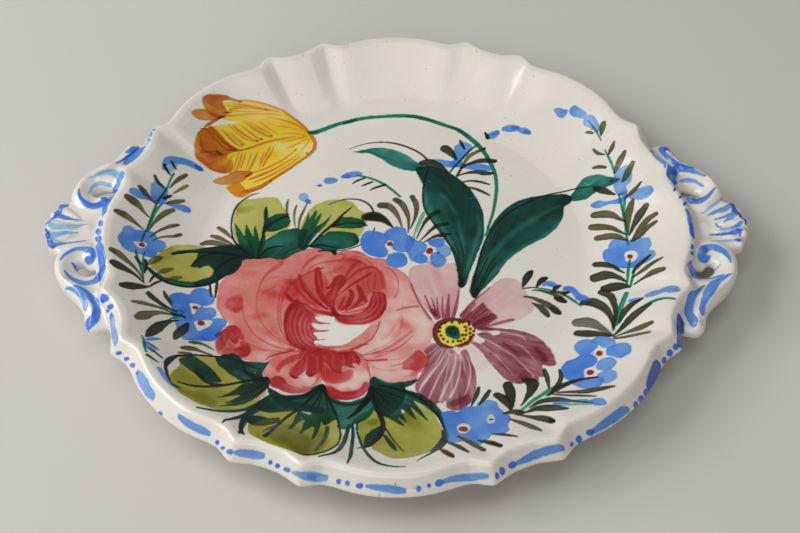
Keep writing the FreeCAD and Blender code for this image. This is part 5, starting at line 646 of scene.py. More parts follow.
    ('b', 'olk', [(-100.3,7.4,0.88), (-102.4,6,0.59)], {'d': 0.253, 'streak': 0.2, 'pool': 0.3, 'end': 0.25, 'soft': 0.1}),
    ('b', 'olk', [(-127.2,-13.6,1.1), (-125.8,-14.3,1.1)], {'d': 0.253, 'streak': 0.2, 'pool': 0.3, 'end': 0.25, 'soft': 0.1}),
    ('b', 'olk', [(-114.2,6,0.37), (-112.7,8.1,0.37)], {'d': 0.253, 'streak': 0.2, 'pool': 0.3, 'end': 0.25, 'soft': 0.1}),
    ('b', 'ygk', [(-99.5,36.7,0.68), (-101.5,34.8,0.85), (-103.7,32.6,0.58), (-105.5,30.6,0.26)], {'d': 0.95, 'streak': 0.2, 'pool': 0.3, 'end': 0.25}),
    ('b', 'olk', [(-114.2,36.9,0.63), (-113,34.8,0.87), (-111.2,33.2,0.67), (-110,32.2,0.37)], {'d': 1.092, 'streak': 0.2, 'pool': 0.3, 'end': 0.25}),
    ('b', 'olk', [(-110.4,44,0.7), (-109.4,42.1,0.78), (-108.1,40.4,0.51), (-107.3,39.7,0.22)], {'d': 1.092, 'streak': 0.2, 'pool': 0.3, 'end': 0.25}),
    ('b', 'olk', [(-107.4,47.1,0.55), (-106.4,45.4,0.64), (-105.2,44,0.36)], {'d': 1.092, 'streak': 0.2, 'pool': 0.3, 'end': 0.25}),
    ('b', 'olk', [(-106.3,29,0.45), (-107.8,27.3,0.89), (-109.1,25.6,0.74)], {'d': 1.092, 'streak': 0.2, 'pool': 0.3, 'end': 0.25}),
    ('b', 'olk', [(-125.4,-21.3,1.73), (-123.1,-22.6,2.23), (-120.4,-23.4,1.62), (-117,-24.7,0.89), (-114.2,-26.3,0.55), (-111.8,-28.2,0.23)], {'d': 0.977, 'streak': 0.2, 'pool': 0.3, 'end': 0.25}),
    ('b', 'olk', [(-120.6,-33,1.13), (-117.6,-32.2,1.93), (-114.1,-30.8,1.44), (-111.6,-30,0.79), (-109.8,-29,0.31)], {'d': 0.977, 'streak': 0.2, 'pool': 0.3, 'end': 0.25}),
    ('b', 'olk', [(-107.9,-20.8,0.46), (-109.1,-24.2,0.51), (-109.8,-26.8,0.22)], {'d': 0.977, 'streak': 0.2, 'pool': 0.3, 'end': 0.25}),
    ('b', 'olk', [(-105.3,-24,0.36), (-107.7,-26.5,0.49), (-109.8,-29.4,0.2)], {'d': 0.977, 'streak': 0.2, 'pool': 0.3, 'end': 0.25}),
    ('b', 'olk', [(-109.6,-32.7,0.87), (-107.7,-35.2,1.53), (-104.8,-37.4,1.1), (-101.3,-39.5,0.73), (-96.8,-41.2,0.32)], {'d': 0.977, 'streak': 0.2, 'pool': 0.3, 'end': 0.25}),
    ('b', 'olk', [(-103.5,-29.6,0.53), (-102.2,-32.3,0.96), (-100.5,-35,0.96), (-99.4,-37.3,0.33)], {'d': 0.977, 'streak': 0.2, 'pool': 0.3, 'end': 0.25}),
    ('b', 'olk', [(-106.5,-61.2,0.51), (-105.2,-58,1.91), (-103.2,-53.7,2.27), (-101,-50.3,1.6), (-98.2,-47.6,0.7), (-95.2,-45.9,0.24)], {'d': 0.977, 'streak': 0.2, 'pool': 0.3, 'end': 0.25}),
    ('b', 'olk', [(-95.2,-58.4,0.86), (-94.6,-54.8,1.98), (-93,-50.9,2.11), (-91.8,-47.6,1.08), (-91.4,-46.2,0.46)], {'d': 0.977, 'streak': 0.2, 'pool': 0.3, 'end': 0.25}),
    ('b', 'olk', [(-84.5,-19.9,0.51), (-84,-23.7,0.57), (-83.3,-27.6,0.34)], {'d': 0.977, 'streak': 0.2, 'pool': 0.3, 'end': 0.25}),
    ('b', 'olk', [(-81.4,-18.3,0.65), (-81.4,-22.9,0.7), (-81.4,-27.8,0.35)], {'d': 0.977, 'streak': 0.2, 'pool': 0.3, 'end': 0.25}),
    ('b', 'olk', [(-113,-13.5,0.47), (-112.2,-17.2,0.6), (-112.3,-22.2,0.26)], {'d': 0.977, 'streak': 0.2, 'pool': 0.3, 'end': 0.25}),
    ('b', 'olk', [(-98.8,-42.7,0.41), (-95.6,-42.7,0.65), (-93.4,-42.8,0.49)], {'d': 0.977, 'streak': 0.2, 'pool': 0.3, 'end': 0.25}),
    ('b', 'ol', [(-83.5,15,0.89), (-80.9,12.9,1.15), (-78.3,10,0.69), (-76.3,7.6,0.27)], {'d': 1.188, 'streak': 0.2, 'pool': 0.3, 'end': 0.25}),
    ('b', 'ol', [(-86,9.6,0.95), (-83,8.6,1.31), (-79.2,6.4,0.83), (-76.1,4.4,0.37)], {'d': 1.188, 'streak': 0.2, 'pool': 0.3, 'end': 0.25}),
    ('b', 'ol', [(-90.5,4.1,0.91), (-87.4,5.5,1.58), (-83.3,5.2,1.44), (-79,4.2,0.71), (-76,3.7,0.32)], {'d': 1.188, 'streak': 0.2, 'pool': 0.3, 'end': 0.25}),
    ('w', 'yg', [(-108.7,-8.6), (-106.9,-4.7), (-103.5,-0.7), (-99.2,1.4), (-93.6,2.9), (-89,2.7), (-84.2,2), (-78.1,0.4), (-77.2,-4.4), (-79.8,-8.3), (-82.9,-12.9), (-86.7,-16.6), (-90.3,-19.6), (-94.1,-21.3), (-99,-22), (-103.5,-20.8), (-107.6,-18.8), (-110.4,-17.3), (-110.2,-14)], {'pool': 0.08, 'mottle': 0.12, 'tones': [(-99, 0.3, 0.8), (-103.1, -4.2, 0.9), (-93.3, 0.1, 0.85), (-106.7, -11.9, 1.1), (-100.4, -8.9, 1.15), (-101.8, -16.6, 0.9), (-97.1, -19.2, 1), (-90.6, -16.8, 0.95), (-87, -13.1, 1), (-87.8, -10.8, 0.85), (-95, -6.6, 1.2), (-92, -13.9, 1.05), (-84.5, -8.3, 1.2)]}),
    ('w', 'ygk', [(-108.7,-8.6), (-106.9,-4.7), (-103.4,-1.1), (-100.9,-3.5), (-102.7,-8.1), (-106.7,-11.9), (-109.7,-14.6)], {'d': 0.2, 'soft': 1, 'pool': 0}),
    ('b', 'ygk', [(-111.5,-15.7,0.6), (-109.9,-12.7,1.56), (-107.5,-9.7,1.1), (-106.7,-9,0.57)], {'d': 1.1, 'soft': 0.1}),
    ('b', 'ygk', [(-107.2,-20,0.56), (-104.5,-17.1,1.44), (-101.5,-14.5,0.73)], {'d': 1, 'soft': 0.1}),
    ('b', 'ygk', [(-103,-22.7,0.52), (-99.8,-20,1.19), (-97.4,-18.5,0.61)], {'d': 1, 'soft': 0.1}),
    ('b', 'grn2', [(-102.5,-5.2,0.67), (-99.8,-3.4,0.99), (-95.5,-1.6,1), (-91,-0.2,1.24), (-86.5,1,1.6), (-81.8,1.7,1.93), (-76.5,2,2.09), (-72.9,2.1,2.25)], {'d': 1.064}),
    ('w', 'grn2', [(-93.8,-10.5), (-92.9,-7.7), (-90.7,-3.7), (-86.9,-1.3), (-81.5,-1.3), (-76.2,-1.6), (-71.2,-5.2), (-72,-10.7), (-75.2,-14.2), (-77.8,-14.9), (-80.3,-16), (-82.5,-14.9), (-83,-12.5), (-84.6,-10.2), (-86.2,-8.7), (-88.5,-8.5), (-90.2,-9.7), (-92.1,-10.3)], {'pool': 0.12, 'rays': 0.15, 'tones': [(-90.4, -7.2, 0.85), (-86.6, -4.4, 0.95), (-88, -7.7, 0.75), (-83.3, -8.3, 0.9), (-80.1, -5.1, 1.1), (-79.5, -12.2, 1), (-76.9, -8.3, 1.05)], 'centre': (-66.3, -0.5), 'd': 1.12}),
    ('b', 'grn', [(-111.2,-18,0.46), (-107.9,-20.8,1.02), (-103.9,-22.4,1.37), (-98.9,-22.6,1.61), (-94,-21.8,1.5), (-89.2,-20.3,1.55), (-84.8,-18.2,1.38), (-80.9,-16,1.37), (-78.2,-13.7,1.21)], {'d': 1.035, 'streak': 0.2}),
    ('b', 'blk', [(-113.5,-13.7,0.32), (-111.9,-17.9,0.56), (-108.9,-21.2,0.69), (-104.9,-23.4,0.73), (-100.4,-24.1,0.56), (-94.4,-23.5,0.63), (-88.5,-21.6,0.62), (-84.1,-19.5,0.53), (-80.3,-17,0.45), (-77,-13.8,0.45)], {'d': 0.99}),
    ('b', 'blk', [(-93.6,-10.4,0.36), (-92.1,-6.8,0.53), (-89,-2.9,0.6), (-85.1,-1.3,0.56), (-78,-1.4,0.48), (-74.4,-1.6,0.4)], {'d': 0.88}),
    ('b', 'blk', [(-102.2,-4.9,0.38), (-96.5,-2.3,0.46), (-89.8,-0.7,0.4), (-82.8,-1,0.32)], {'d': 0.605}),
    ('b', 'blk', [(-83.4,-13.1,0.35), (-81.5,-9.4,0.51), (-78.2,-6,0.53), (-74.9,-3.6,0.39)], {'d': 0.77}),
    ('b', 'blk', [(-90.2,-9.7,0.31), (-92.1,-10.4,0.39), (-93.8,-10.5,0.32)], {'d': 0.66}),
    ('w', 'grn2', [(-90.9,0.8), (-86,2), (-78.6,3.1), (-74.5,3.2), (-71,2.6), (-68.3,0.4), (-65.4,-4.5), (-68.4,-5), (-71.3,-6.3), (-74.9,-11.7), (-79.5,-16.1), (-84.2,-19.5), (-88.8,-21.6), (-91.7,-21.2), (-90.5,-18.9), (-87.3,-17), (-85,-15.5), (-83.5,-13.2), (-85.4,-8.5), (-88.5,-9.5), (-90.3,-10.7), (-92,-7.7), (-91.6,-2.2)], {'pool': 0.14, 'rays': 0.18, 'wob': 0.2, 'tones': [(-85.8, -0.2, 0.95), (-78.4, 0.8, 0.85), (-73.4, 1.1, 1), (-87.3, -6.3, 0.75), (-81.5, -4.2, 0.65), (-82.5, -9.5, 0.8), (-78.6, -8.9, 1.1), (-84.3, -18.1, 1), (-74, -4.3, 1.1), (-88.1, -19.1, 0.9), (-69.1, -3, 1), (-79.7, -13.5, 1.15)], 'centre': (-64.9, -4.5), 'd': 1.12}),
    ('b', 'blk', [(-91.7,-1.2,0.4), (-87.8,-0.6,0.47), (-83.3,-0.7,0.54), (-78.2,-1.4,0.53), (-73.1,-2.6,0.53), (-68.5,-3.7,0.46)], {'d': 0.935}),
    ('b', 'blk', [(-91.3,-5.5,0.18), (-89.5,-3.5,0.32), (-86.7,-1.9,0.41), (-83.3,-1,0.41)], {'d': 0.825}),
    ('b', 'blk', [(-83.3,-12.5,0.31), (-80.6,-8.9,0.51), (-76.9,-5.3,0.59), (-73,-3.6,0.54), (-69,-3.5,0.4)], {'d': 0.935}),
    ('b', 'blk', [(-91.6,-22.4,0.26), (-87.9,-20.8,0.39), (-84.2,-19.1,0.39), (-79.5,-15.8,0.38), (-74.9,-11.6,0.38), (-71.8,-7,0.31)], {'d': 0.99}),
    ('b', 'blk', [(-77.3,13.5,0.35), (-76.5,9.3,0.41), (-74.7,5.2,0.5), (-71.4,1.4,0.53), (-68.1,-2,0.48), (-64.9,-4.5,0.43)], {'d': 0.99}),
    ('b', 'blk', [(-90.9,1.3,0.26), (-85.1,2.6,0.34), (-79,2.9,0.34), (-74.5,3.2,0.34)], {'d': 0.55}),
    ('w', 'yg', [(-93.9,-82.6), (-93,-79.1), (-91.2,-74.9), (-92,-71.9), (-92,-70), (-88.8,-68.1), (-85.5,-66.8), (-82.2,-65.4), (-78.2,-64.1), (-75.7,-65.6), (-72.4,-69.4), (-68.5,-73.2), (-64.7,-76.1), (-58.8,-77), (-55.9,-76.5), (-55.2,-85), (-56.7,-87.6), (-57.6,-90.6), (-59,-93.8), (-62.6,-97.1), (-66.6,-99.3), (-70.7,-100.2), (-74.6,-99.9), (-79.2,-98.3), (-83.6,-96.3), (-87.6,-93.7), (-90.1,-91.2), (-92.2,-88.5), (-93.5,-85.6)], {'pool': 0.06, 'mottle': 0.14, 'soft': 0.05, 'tones': [(-90.2, -78.5, 1.35), (-92, -82.1, 1.2), (-87.1, -81.3, 1.4), (-88.6, -90.2, 1.6), (-84.3, -91.2, 1.6), (-79.7, -94.6, 1.5), (-77.5, -89.9, 1.7), (-81.2, -78.4, 1.3), (-81.8, -68.6, 1.1), (-84.2, -67.4, 1), (-75.9, -74.9, 1.2), (-73.2, -78, 1.1), (-68, -77.8, 1), (-77.9, -87.1, 1.4), (-69.7, -84.3, 1.15), (-71.1, -96.8, 1.35), (-65.5, -96.8, 1.15), (-60.2, -93.1, 1.1), (-57.9, -87.4, 0.75), (-56.6, -85.7, 0.5), (-74.1, -95.3, 1.6)]}),
    ('w', 'ygk', [(-91.6,-88.8), (-89.6,-91), (-85.4,-93.5), (-79.3,-97.4), (-74.7,-98.9), (-73.5,-95.6), (-77.3,-91.8), (-79.8,-89.6), (-83,-90.7), (-86.4,-90.4), (-89.3,-89.4)], {'d': 0.28, 'soft': 1.6, 'pool': 0}),
    ('w', 'ygk', [(-93.6,-82.3), (-92.1,-77.3), (-90,-76.5), (-86.2,-79), (-82.5,-81.7), (-80.1,-82.9), (-82.1,-84.9), (-86.4,-86), (-90.4,-85.5), (-92.8,-84.4)], {'d': 0.22, 'soft': 1, 'pool': 0}),
    ('w', 'grn2', [(-92.1,-71.2), (-90.6,-69.5), (-88.2,-68), (-86,-67.2), (-84.2,-67.9), (-81.7,-69.5), (-79.1,-72), (-76.8,-74.7), (-74.7,-77.5), (-73.6,-79.2), (-74,-80.4), (-76.3,-81.3), (-78.5,-81.5), (-81.6,-80.1), (-84.6,-78.1), (-87.1,-76.5), (-89.7,-74.4), (-91.3,-72.6)], {'pool': 0.14, 'tones': [(-90.2, -72.2, 0.7), (-88, -70, 0.75), (-85.4, -72, 0.95), (-82.1, -75.8, 1.1), (-79.1, -76.8, 1.1), (-81.5, -70.9, 0.9), (-76, -78.8, 1), (-74.2, -79.7, 0.8), (-82.8, -78.9, 0.8), (-87.9, -74.8, 0.65)], 'd': 1.12}),
    ('w', 'grn2', [(-78.2,-64.3), (-75.9,-63.5), (-74.9,-62.1), (-72.5,-61.8), (-71.7,-60.9), (-69.6,-61.3), (-67.7,-62.5), (-66.3,-64.3), (-63.9,-64.7), (-60.3,-64.8), (-57.3,-64.8), (-54.9,-64.3), (-55.7,-65.9), (-57,-68.8), (-57.4,-71.4), (-56.4,-73.9), (-55.6,-75.6), (-58.7,-77.2), (-61.6,-77.5), (-64.5,-77.9), (-67.6,-76.3), (-70.4,-74.6), (-72.7,-72.3), (-75.2,-70.1), (-76.9,-67.8), (-77.9,-65.9)], {'pool': 0.1, 'rays': 0.12, 'tones': [(-75.7, -66, 1), (-72.9, -64.1, 1.1), (-71.2, -69.2, 1.2), (-69.2, -66.1, 1.15), (-74.2, -68.9, 0.9), (-68.5, -73.2, 0.8), (-66.4, -70.1, 1.1), (-64.2, -75.1, 0.65), (-62.1, -72.1, 0.9), (-63.1, -67.8, 0.9), (-59.5, -67.3, 0.75), (-61.5, -69.3, 0.65), (-56.7, -65.5, 0.85), (-58.5, -72.4, 1), (-58.1, -70.6, 0.8)], 'centre': (-55.7, -74.7), 'd': 1.12}),
    ('w', 'wht', [(-61.2,-70.7), (-60.6,-70.5), (-60.2,-71.1), (-60.4,-71.9), (-61,-71.8)], {'d': 0.75, 'cut': 0.9, 'pool': 0, 'soft': 0.15}),
    ('w', 'yg', [(-61.2,-70.7), (-60.6,-70.5), (-60.2,-71.1), (-60.4,-71.9), (-61,-71.8)], {'d': 0.8, 'pool': 0, 'soft': 0.15}),
    ('w', 'grn2', [(-55.4,-74.7), (-58.8,-76.7), (-61.6,-77.9), (-64.7,-79.2), (-67,-82.7), (-69.4,-86.4), (-71.9,-89.5), (-75,-92), (-72.3,-91), (-69.1,-89.2), (-65.3,-87.5), (-67.2,-90.9), (-70.6,-95.1), (-67.4,-93.5), (-70,-96.1), (-73.5,-97.7), (-69.7,-96.9), (-65.6,-95.4), (-62.5,-93.1), (-59.7,-89.6), (-57.2,-85.6), (-55.4,-82.1), (-54,-78.1), (-54.2,-75.4)], {'pool': 0.12, 'sharp': False, 'rays': 0.25, 'wob': 0.2, 'tones': [(-64.1, -82.5, 1.05), (-66.6, -86, 0.9), (-70.5, -89.8, 0.75), (-62.5, -87.4, 1.1), (-66, -91.6, 0.85), (-69.6, -95.4, 0.7), (-61.1, -83.8, 1.15), (-63.2, -91.9, 0.8), (-58.4, -81.9, 1), (-58, -86, 0.75), (-56.2, -79.3, 1.1), (-60.6, -89.4, 0.75), (-68.4, -95.8, 0.8)], 'centre': (-55.1, -74.7), 'd': 1.12}),
    ('b', 'grn', [(-80.9,-100.6,0.36), (-77.8,-101,0.61), (-74.4,-101.2,0.72), (-70.6,-101.1,0.83), (-66.5,-100,0.92), (-62.6,-97.8,0.92), (-59.5,-94.9,1.13), (-57.9,-92.9,1.17)], {'d': 1.15, 'streak': 0.25, 'soft': 0.06}),
    ('b', 'blk', [(-92.9,-69.1,0.65), (-94.6,-71.4,1.17), (-96,-74.4,1.32), (-96.4,-77.5,0.71), (-95.7,-80.6,0.69), (-94.5,-84,0.5), (-93.2,-86.9,0.37), (-91.9,-88.5,0.25)], {'d': 1.045, 'soft': 0.05}),
    ('b', 'blk', [(-92.4,-68.9,0.64), (-88.9,-67.4,0.72), (-86.1,-66,0.59), (-82.8,-65.1,0.54), (-78.8,-64.4,0.5), (-75.9,-63.9,0.44), (-72.9,-64.1,0.4), (-69.3,-64.7,0.4), (-65.6,-66.4,0.38), (-62.5,-67.7,0.34), (-58.8,-68.8,0.21)], {'d': 0.99}),
    ('b', 'blk', [(-84.5,-75.8,0.61), (-83,-78.5,0.89), (-80.9,-80.8,1.06), (-78.5,-82.3,1.04), (-75.6,-82.4,0.79), (-72.8,-82.1,0.56), (-70.6,-81.4,0.38)], {'d': 0.935, 'soft': 0.06}),
    ('b', 'blk', [(-90.5,-85.9,0.28), (-88.1,-86.2,0.52), (-85.5,-86.5,0.63), (-82.2,-86,0.72), (-78.2,-84.8,0.75), (-74.1,-83.1,0.69), (-70,-80.8,0.69), (-65.9,-78.5,0.77), (-61.7,-76.6,0.79), (-58.9,-75.5,0.97), (-55.7,-74.3,1.29)], {'d': 1.045}),
    ('b', 'blk', [(-66.1,-68.3,0.29), (-64.6,-71.2,0.78), (-62,-73.4,1.11), (-58.9,-74.7,1.07), (-56,-74.8,0.87)], {'d': 0.935, 'soft': 0.08}),
    ('b', 'blk', [(-55.9,-75.6,0.33), (-58,-79.5,0.35), (-61.1,-83.3,0.34), (-64.3,-86.4,0.22), (-65.9,-87.5,0.14)], {'d': 0.88}),
    ('b', 'blk', [(-54.9,-77.3,0.36), (-56,-81.5,0.35), (-58.1,-85.1,0.36), (-60.7,-87.9,0.36), (-63.9,-90.1,0.27), (-66.5,-92.2,0.14)], {'d': 0.935}),
    ('b', 'blk', [(-55.6,-76.5,0.26), (-58.4,-81.4,0.23), (-60.5,-84.1,0.16)], {'d': 0.66}),
    ('b', 'grn2', [(-54.3,-88.2,1.23), (-56.4,-90.9,1.38), (-57.9,-93.6,1), (-59.8,-97.4,1.02), (-61.7,-100.8,0.92), (-64.2,-103.7,0.91), (-66.7,-105.6,0.74), (-69,-107,0.53), (-69.9,-108.5,0.23)], {'d': 1.064, 'streak': 0.25}),
    ('b', 'grn2', [(-61.1,-100.9,0.65), (-62.2,-103.9,0.85), (-62.7,-108,0.77), (-62.2,-111.3,0.84), (-61.1,-113.5,0.55)], {'d': 1.12}),
    ('b', 'blu', [(-98.7,-79.8,0.84), (-96.7,-82.9,1), (-94.6,-86,0.96), (-92.5,-88.4,0.86), (-90.6,-89.3,0.83), (-89.1,-89.6,0.51)], {'d': 0.848, 'soft': 0.1}),
    ('b', 'bld', [(-92.1,-88.2,0.54), (-90.4,-89.1,0.73), (-89.1,-89.5,0.42)], {'d': 0.7}),
    ('b', 'ol', [(-89.1,-58.5,0.64), (-87.1,-58,1.04), (-85.1,-57.7,0.96), (-82.9,-58.3,0.77), (-81.1,-59.1,0.53), (-79,-60.3,0.25)], {'d': 1.188, 'streak': 0.2, 'pool': 0.3, 'end': 0.25}),
    ('b', 'ol', [(-91.5,-63.4,0.91), (-89.4,-62.7,1.56), (-87.2,-62.3,1.3), (-84.8,-62.6,0.81), (-82.1,-63.2,0.54), (-79.4,-63.8,0.36)], {'d': 1.188, 'streak': 0.2, 'pool': 0.3, 'end': 0.25}),
    ('b', 'ol', [(-92.5,-67,0.55), (-90.7,-66.4,0.83), (-87.9,-65.7,0.64)], {'d': 1.188, 'streak': 0.2, 'pool': 0.3, 'end': 0.25}),
    ('b', 'olk', [(-89.1,-58.5,0.55), (-87.1,-58,0.63), (-85.1,-57.9,0.45)], {'d': 0.253, 'streak': 0.2, 'pool': 0.3, 'end': 0.25}),
    ('b', 'olk', [(-91.4,-63,0.54), (-89.5,-62.1,0.55), (-87.3,-61.5,0.37)], {'d': 0.253, 'streak': 0.2, 'pool': 0.3, 'end': 0.25}),
    ('b', 'old', [(-90.6,-69.7,0.18), (-89.3,-68.8,0.18)], {'d': 0.345}),
    ('w', 'yg', [(-59.9,-108), (-59.6,-103.6), (-58.3,-99.7), (-56.2,-96.4), (-52,-96.3), (-47.9,-95.3), (-43,-93.5), (-39.7,-93.1), (-35.6,-91.4), (-31.4,-91), (-27,-94.6), (-24.1,-102.5), (-23,-105.2), (-22.1,-108.7), (-22.4,-112.6), (-23.5,-117), (-25.8,-119.8), (-28.9,-122.4), (-32.8,-123.9), (-36.8,-124.2), (-40.9,-122.4), (-45,-120.8), (-50,-118.8), (-54.2,-116.8), (-57.7,-114), (-59.6,-111.2)], {'pool': 0.05, 'mottle': 0.16, 'soft': 0.08, 'tones': [(-57.4, -108.9, 1.5), (-53.8, -112.5, 1.6), (-56, -97.8, 1), (-49.8, -107.3, 1.5), (-45.5, -115.2, 2), (-39.5, -120, 2.1), (-42.4, -113.2, 1.6), (-33.8, -120.6, 2), (-40.3, -108.5, 1.2), (-36, -112.2, 1.7), (-31.6, -117.5, 1.9), (-29, -112.8, 1.8), (-26.4, -106.9, 1.05), (-23.8, -109.5, 0.9), (-24.4, -115.2, 1.1), (-30.8, -103.1, 1.3), (-43.1, -104.7, 1.3), (-23, -108, 0.6)]}),
    ('w', 'ygk', [(-50.9,-108.9), (-46.3,-105.2), (-42.3,-104.5), (-37.9,-108.2), (-34.3,-113.4), (-30.6,-105.9), (-27.8,-112.7), (-29.8,-119.5), (-33.7,-122.7), (-39.3,-122.1), (-44.3,-120), (-49.3,-117.3)], {'d': 0.38, 'soft': 1.6, 'pool': 0}),
    ('w', 'grn', [(-57.8,-92.6), (-55.3,-86.9), (-51.4,-83.3), (-47.5,-83.8), (-44.6,-83.4), (-40.3,-82.6), (-37,-80.8), (-35.4,-78.4), (-33.2,-76.7), (-31,-76.7), (-30.5,-78.5), (-29.6,-81.6), (-27.4,-83.9), (-23.9,-85.6), (-20.4,-86.1), (-16.6,-84.9), (-13.6,-83.2), (-11.5,-79.6), (-10.6,-77.4), (-11.5,-75.7), (-11.1,-73.8), (-9.3,-72.9), (-7.6,-74), (-5,-75.4), (-1.5,-76.2), (2.9,-75.8), (2.8,-85.6), (-1.5,-92.6), (-4.9,-95.2), (-7.9,-91.4), (-10,-91.4), (-12.1,-94.6), (-15,-99.3), (-18.1,-100.2), (-18.5,-103.5), (-22.4,-104.6), (-24.1,-103.7), (-24.5,-98.4), (-25.5,-98), (-29.6,-101.7), (-30.4,-101), (-31.5,-97), (-31.2,-102.1), (-32.2,-107.4), (-34.3,-113), (-33.9,-109.1), (-34,-103.4), (-37.1,-107), (-39,-109.9), (-38.3,-105), (-38.2,-99.8), (-40.7,-103.3), (-43.7,-108), (-42.7,-103.5), (-41.8,-98.9), (-41.3,-94.1), (-43,-94.2), (-47.9,-95.6), (-52.8,-96.5), (-56.6,-96), (-58.1,-95.1)], {'pool': 0.1, 'sharp': False, 'wob': 0.2, 'tones': [(-52.9, -86.2, 1.1), (-48.4, -89.5, 1.3), (-52.3, -92.9, 1.35), (-43.4, -88.9, 0.95), (-40.1, -86.6, 1), (-36, -83.6, 1.2), (-32.7, -80, 1.1), (-41.5, -92, 0.85), (-38.2, -90.3, 1.1), (-36.2, -96.1, 0.8), (-39, -104.1, 0.9), (-34.9, -103.6, 1), (-33.7, -109.1, 0.9), (-32.1, -92.4, 1), (-31.6, -85.9, 1.1), (-27.9, -92.1, 1.15), (-28.5, -98.8, 1.4), (-25.5, -89.3, 0.75), (-24.9, -102.6, 0.8), (-22.9, -90.5, 0.65), (-23, -87.3, 0.85), (-20.9, -99.6, 0.55), (-18.5, -92.9, 0.7), (-14.4, -87.8, 0.75), (-15.1, -95.4, 0.6), (-11.3, -91.4, 0.55), (-10.1, -82.3, 1), (-9.3, -75.3, 0.8), (-3.7, -77.5, 0.7), (-1.5, -80.2, 0.8), (-4.9, -85.5, 1.1)], 'd': 1.15}),
    ('w', 'wht', [(-39.5,-93.4), (-37.6,-92.8), (-35.9,-93.7), (-35.5,-95), (-36.2,-96), (-37.4,-95.6), (-38.8,-94.9)], {'d': 0.9, 'cut': 0.95, 'pool': 0, 'soft': 0.2}),
    ('w', 'wht', [(-39.8,-98.2), (-39.1,-97.7), (-38.5,-98.4), (-38.9,-99.3), (-39.6,-99.2)], {'d': 0.6, 'cut': 0.95, 'pool': 0, 'soft': 0.2}),
    ('w', 'yg', [(-39.8,-98.2), (-39.1,-97.7), (-38.5,-98.4), (-38.9,-99.3), (-39.6,-99.2)], {'d': 0.7, 'pool': 0, 'soft': 0.2}),
    ('w', 'wht', [(-24.7,-91.9), (-23.9,-91.5), (-24.1,-92.5), (-24.7,-92.8)], {'d': 0.7, 'cut': 0.95, 'pool': 0, 'soft': 0.2}),
    ('w', 'grn2', [(-61.9,-104.2), (-59.8,-101.1), (-55.9,-99.6), (-51.7,-100.5), (-48.4,-99.8), (-47.8,-101.2), (-50.1,-103.8), (-53.3,-105.4), (-56.9,-105.9), (-59.8,-105.5)], {'pool': 0.12, 'soft': 0.1, 'tones': [(-59.6, -102.9, 1), (-55.6, -102, 1.1), (-51.5, -101.9, 0.75), (-48.3, -100.6, 0.9)], 'd': 1.12}),
    ('b', 'blk', [(-60.6,-104.7,0.35), (-57.7,-105.9,0.57), (-54.4,-105.9,0.65), (-51.3,-104.9,0.62), (-47.4,-102.4,0.69)], {'d': 0.99}),
    ('b', 'grn2', [(-62.6,-112.9,0.77), (-62.2,-109.3,0.71), (-61.4,-105.5,0.81), (-59.2,-99.2,0.88), (-56.3,-94.4,1.05)], {'d': 0.896}),
    ('b', 'grn2', [(-53.5,-111,0.32), (-51.7,-108.7,0.53), (-49.9,-106.9,0.51), (-48.4,-104.9,0.31)], {'d': 0.896}),
    ('b', 'grn2', [(-32.2,-120.4,0.43), (-30.5,-115.9,0.74), (-29.1,-111.4,0.84), (-28.5,-106.4,0.93), (-28.5,-102.8,0.67)], {'d': 0.84, 'soft': 0.3}),
    ('b', 'blk', [(-52.4,-114.2,1.04), (-50.4,-110.3,0.75), (-48,-104.9,0.67), (-44.4,-97.8,0.69), (-41.4,-93.3,0.57), (-38.3,-88.3,0.55), (-35.2,-83,0.57), (-31.9,-78.3,0.75)], {'d': 1.045}),
    ('b', 'blk', [(-51.5,-82,0.36), (-48.8,-84.3,0.74), (-45.7,-85.5,1.1), (-41.9,-84.8,1.1), (-38.6,-82.9,0.9), (-35.3,-80,0.84), (-31.9,-77.5,0.95)], {'d': 1.045}),
    ('b', 'blk', [(-31,-77.8,0.75), (-29.6,-82.2,0.64), (-27.2,-88.8,0.56), (-25.3,-94.5,0.5), (-24,-100.5,0.44), (-23.2,-105.2,0.39), (-22.8,-109.4,0.33), (-23.6,-115.2,0.35), (-25.8,-119,0.46), (-28.9,-121.5,0.48), (-32.9,-123,0.42), (-36.8,-123.1,0.34), (-40.5,-122.1,0.2)], {'d': 1.012}),
    ('b', 'blk', [(-31.9,-78.9,0.41), (-33,-83.5,0.37), (-34.9,-88.7,0.29), (-36,-92.2,0.19)], {'d': 0.88}),
    ('b', 'blk', [(-31.6,-79.4,0.35), (-32.1,-84.6,0.31), (-32.7,-89.2,0.22), (-33.3,-92.6,0.13)], {'d': 0.825}),
    ('b', 'blk', [(-31,-80,0.35), (-29.5,-85.7,0.31), (-29.1,-90.2,0.21), (-29.3,-93.6,0.13)], {'d': 0.825}),
    ('b', 'blk', [(-10.8,-79.1,1.15), (-11.8,-84.4,1.19), (-14.6,-88.9,1.03), (-17.7,-93.5,0.69), (-20.5,-96.7,0.29)], {'d': 1.045}),
    ('b', 'grn2', [(-19.6,-100.9,0.61), (-20.2,-106.4,0.79), (-21.2,-113.6,0.93), (-23,-119.5,0.93), (-25.6,-122.6,0.68), (-30.7,-124.7,0.34)], {'d': 1.12, 'streak': 0.2}),
    ('b', 'grn2', [(-18.2,-100.8,0.59), (-17.7,-107.7,0.66), (-17.9,-114.8,0.74), (-18.2,-122.8,0.72), (-19.2,-128.2,0.26)], {'d': 1.12, 'streak': 0.2}),
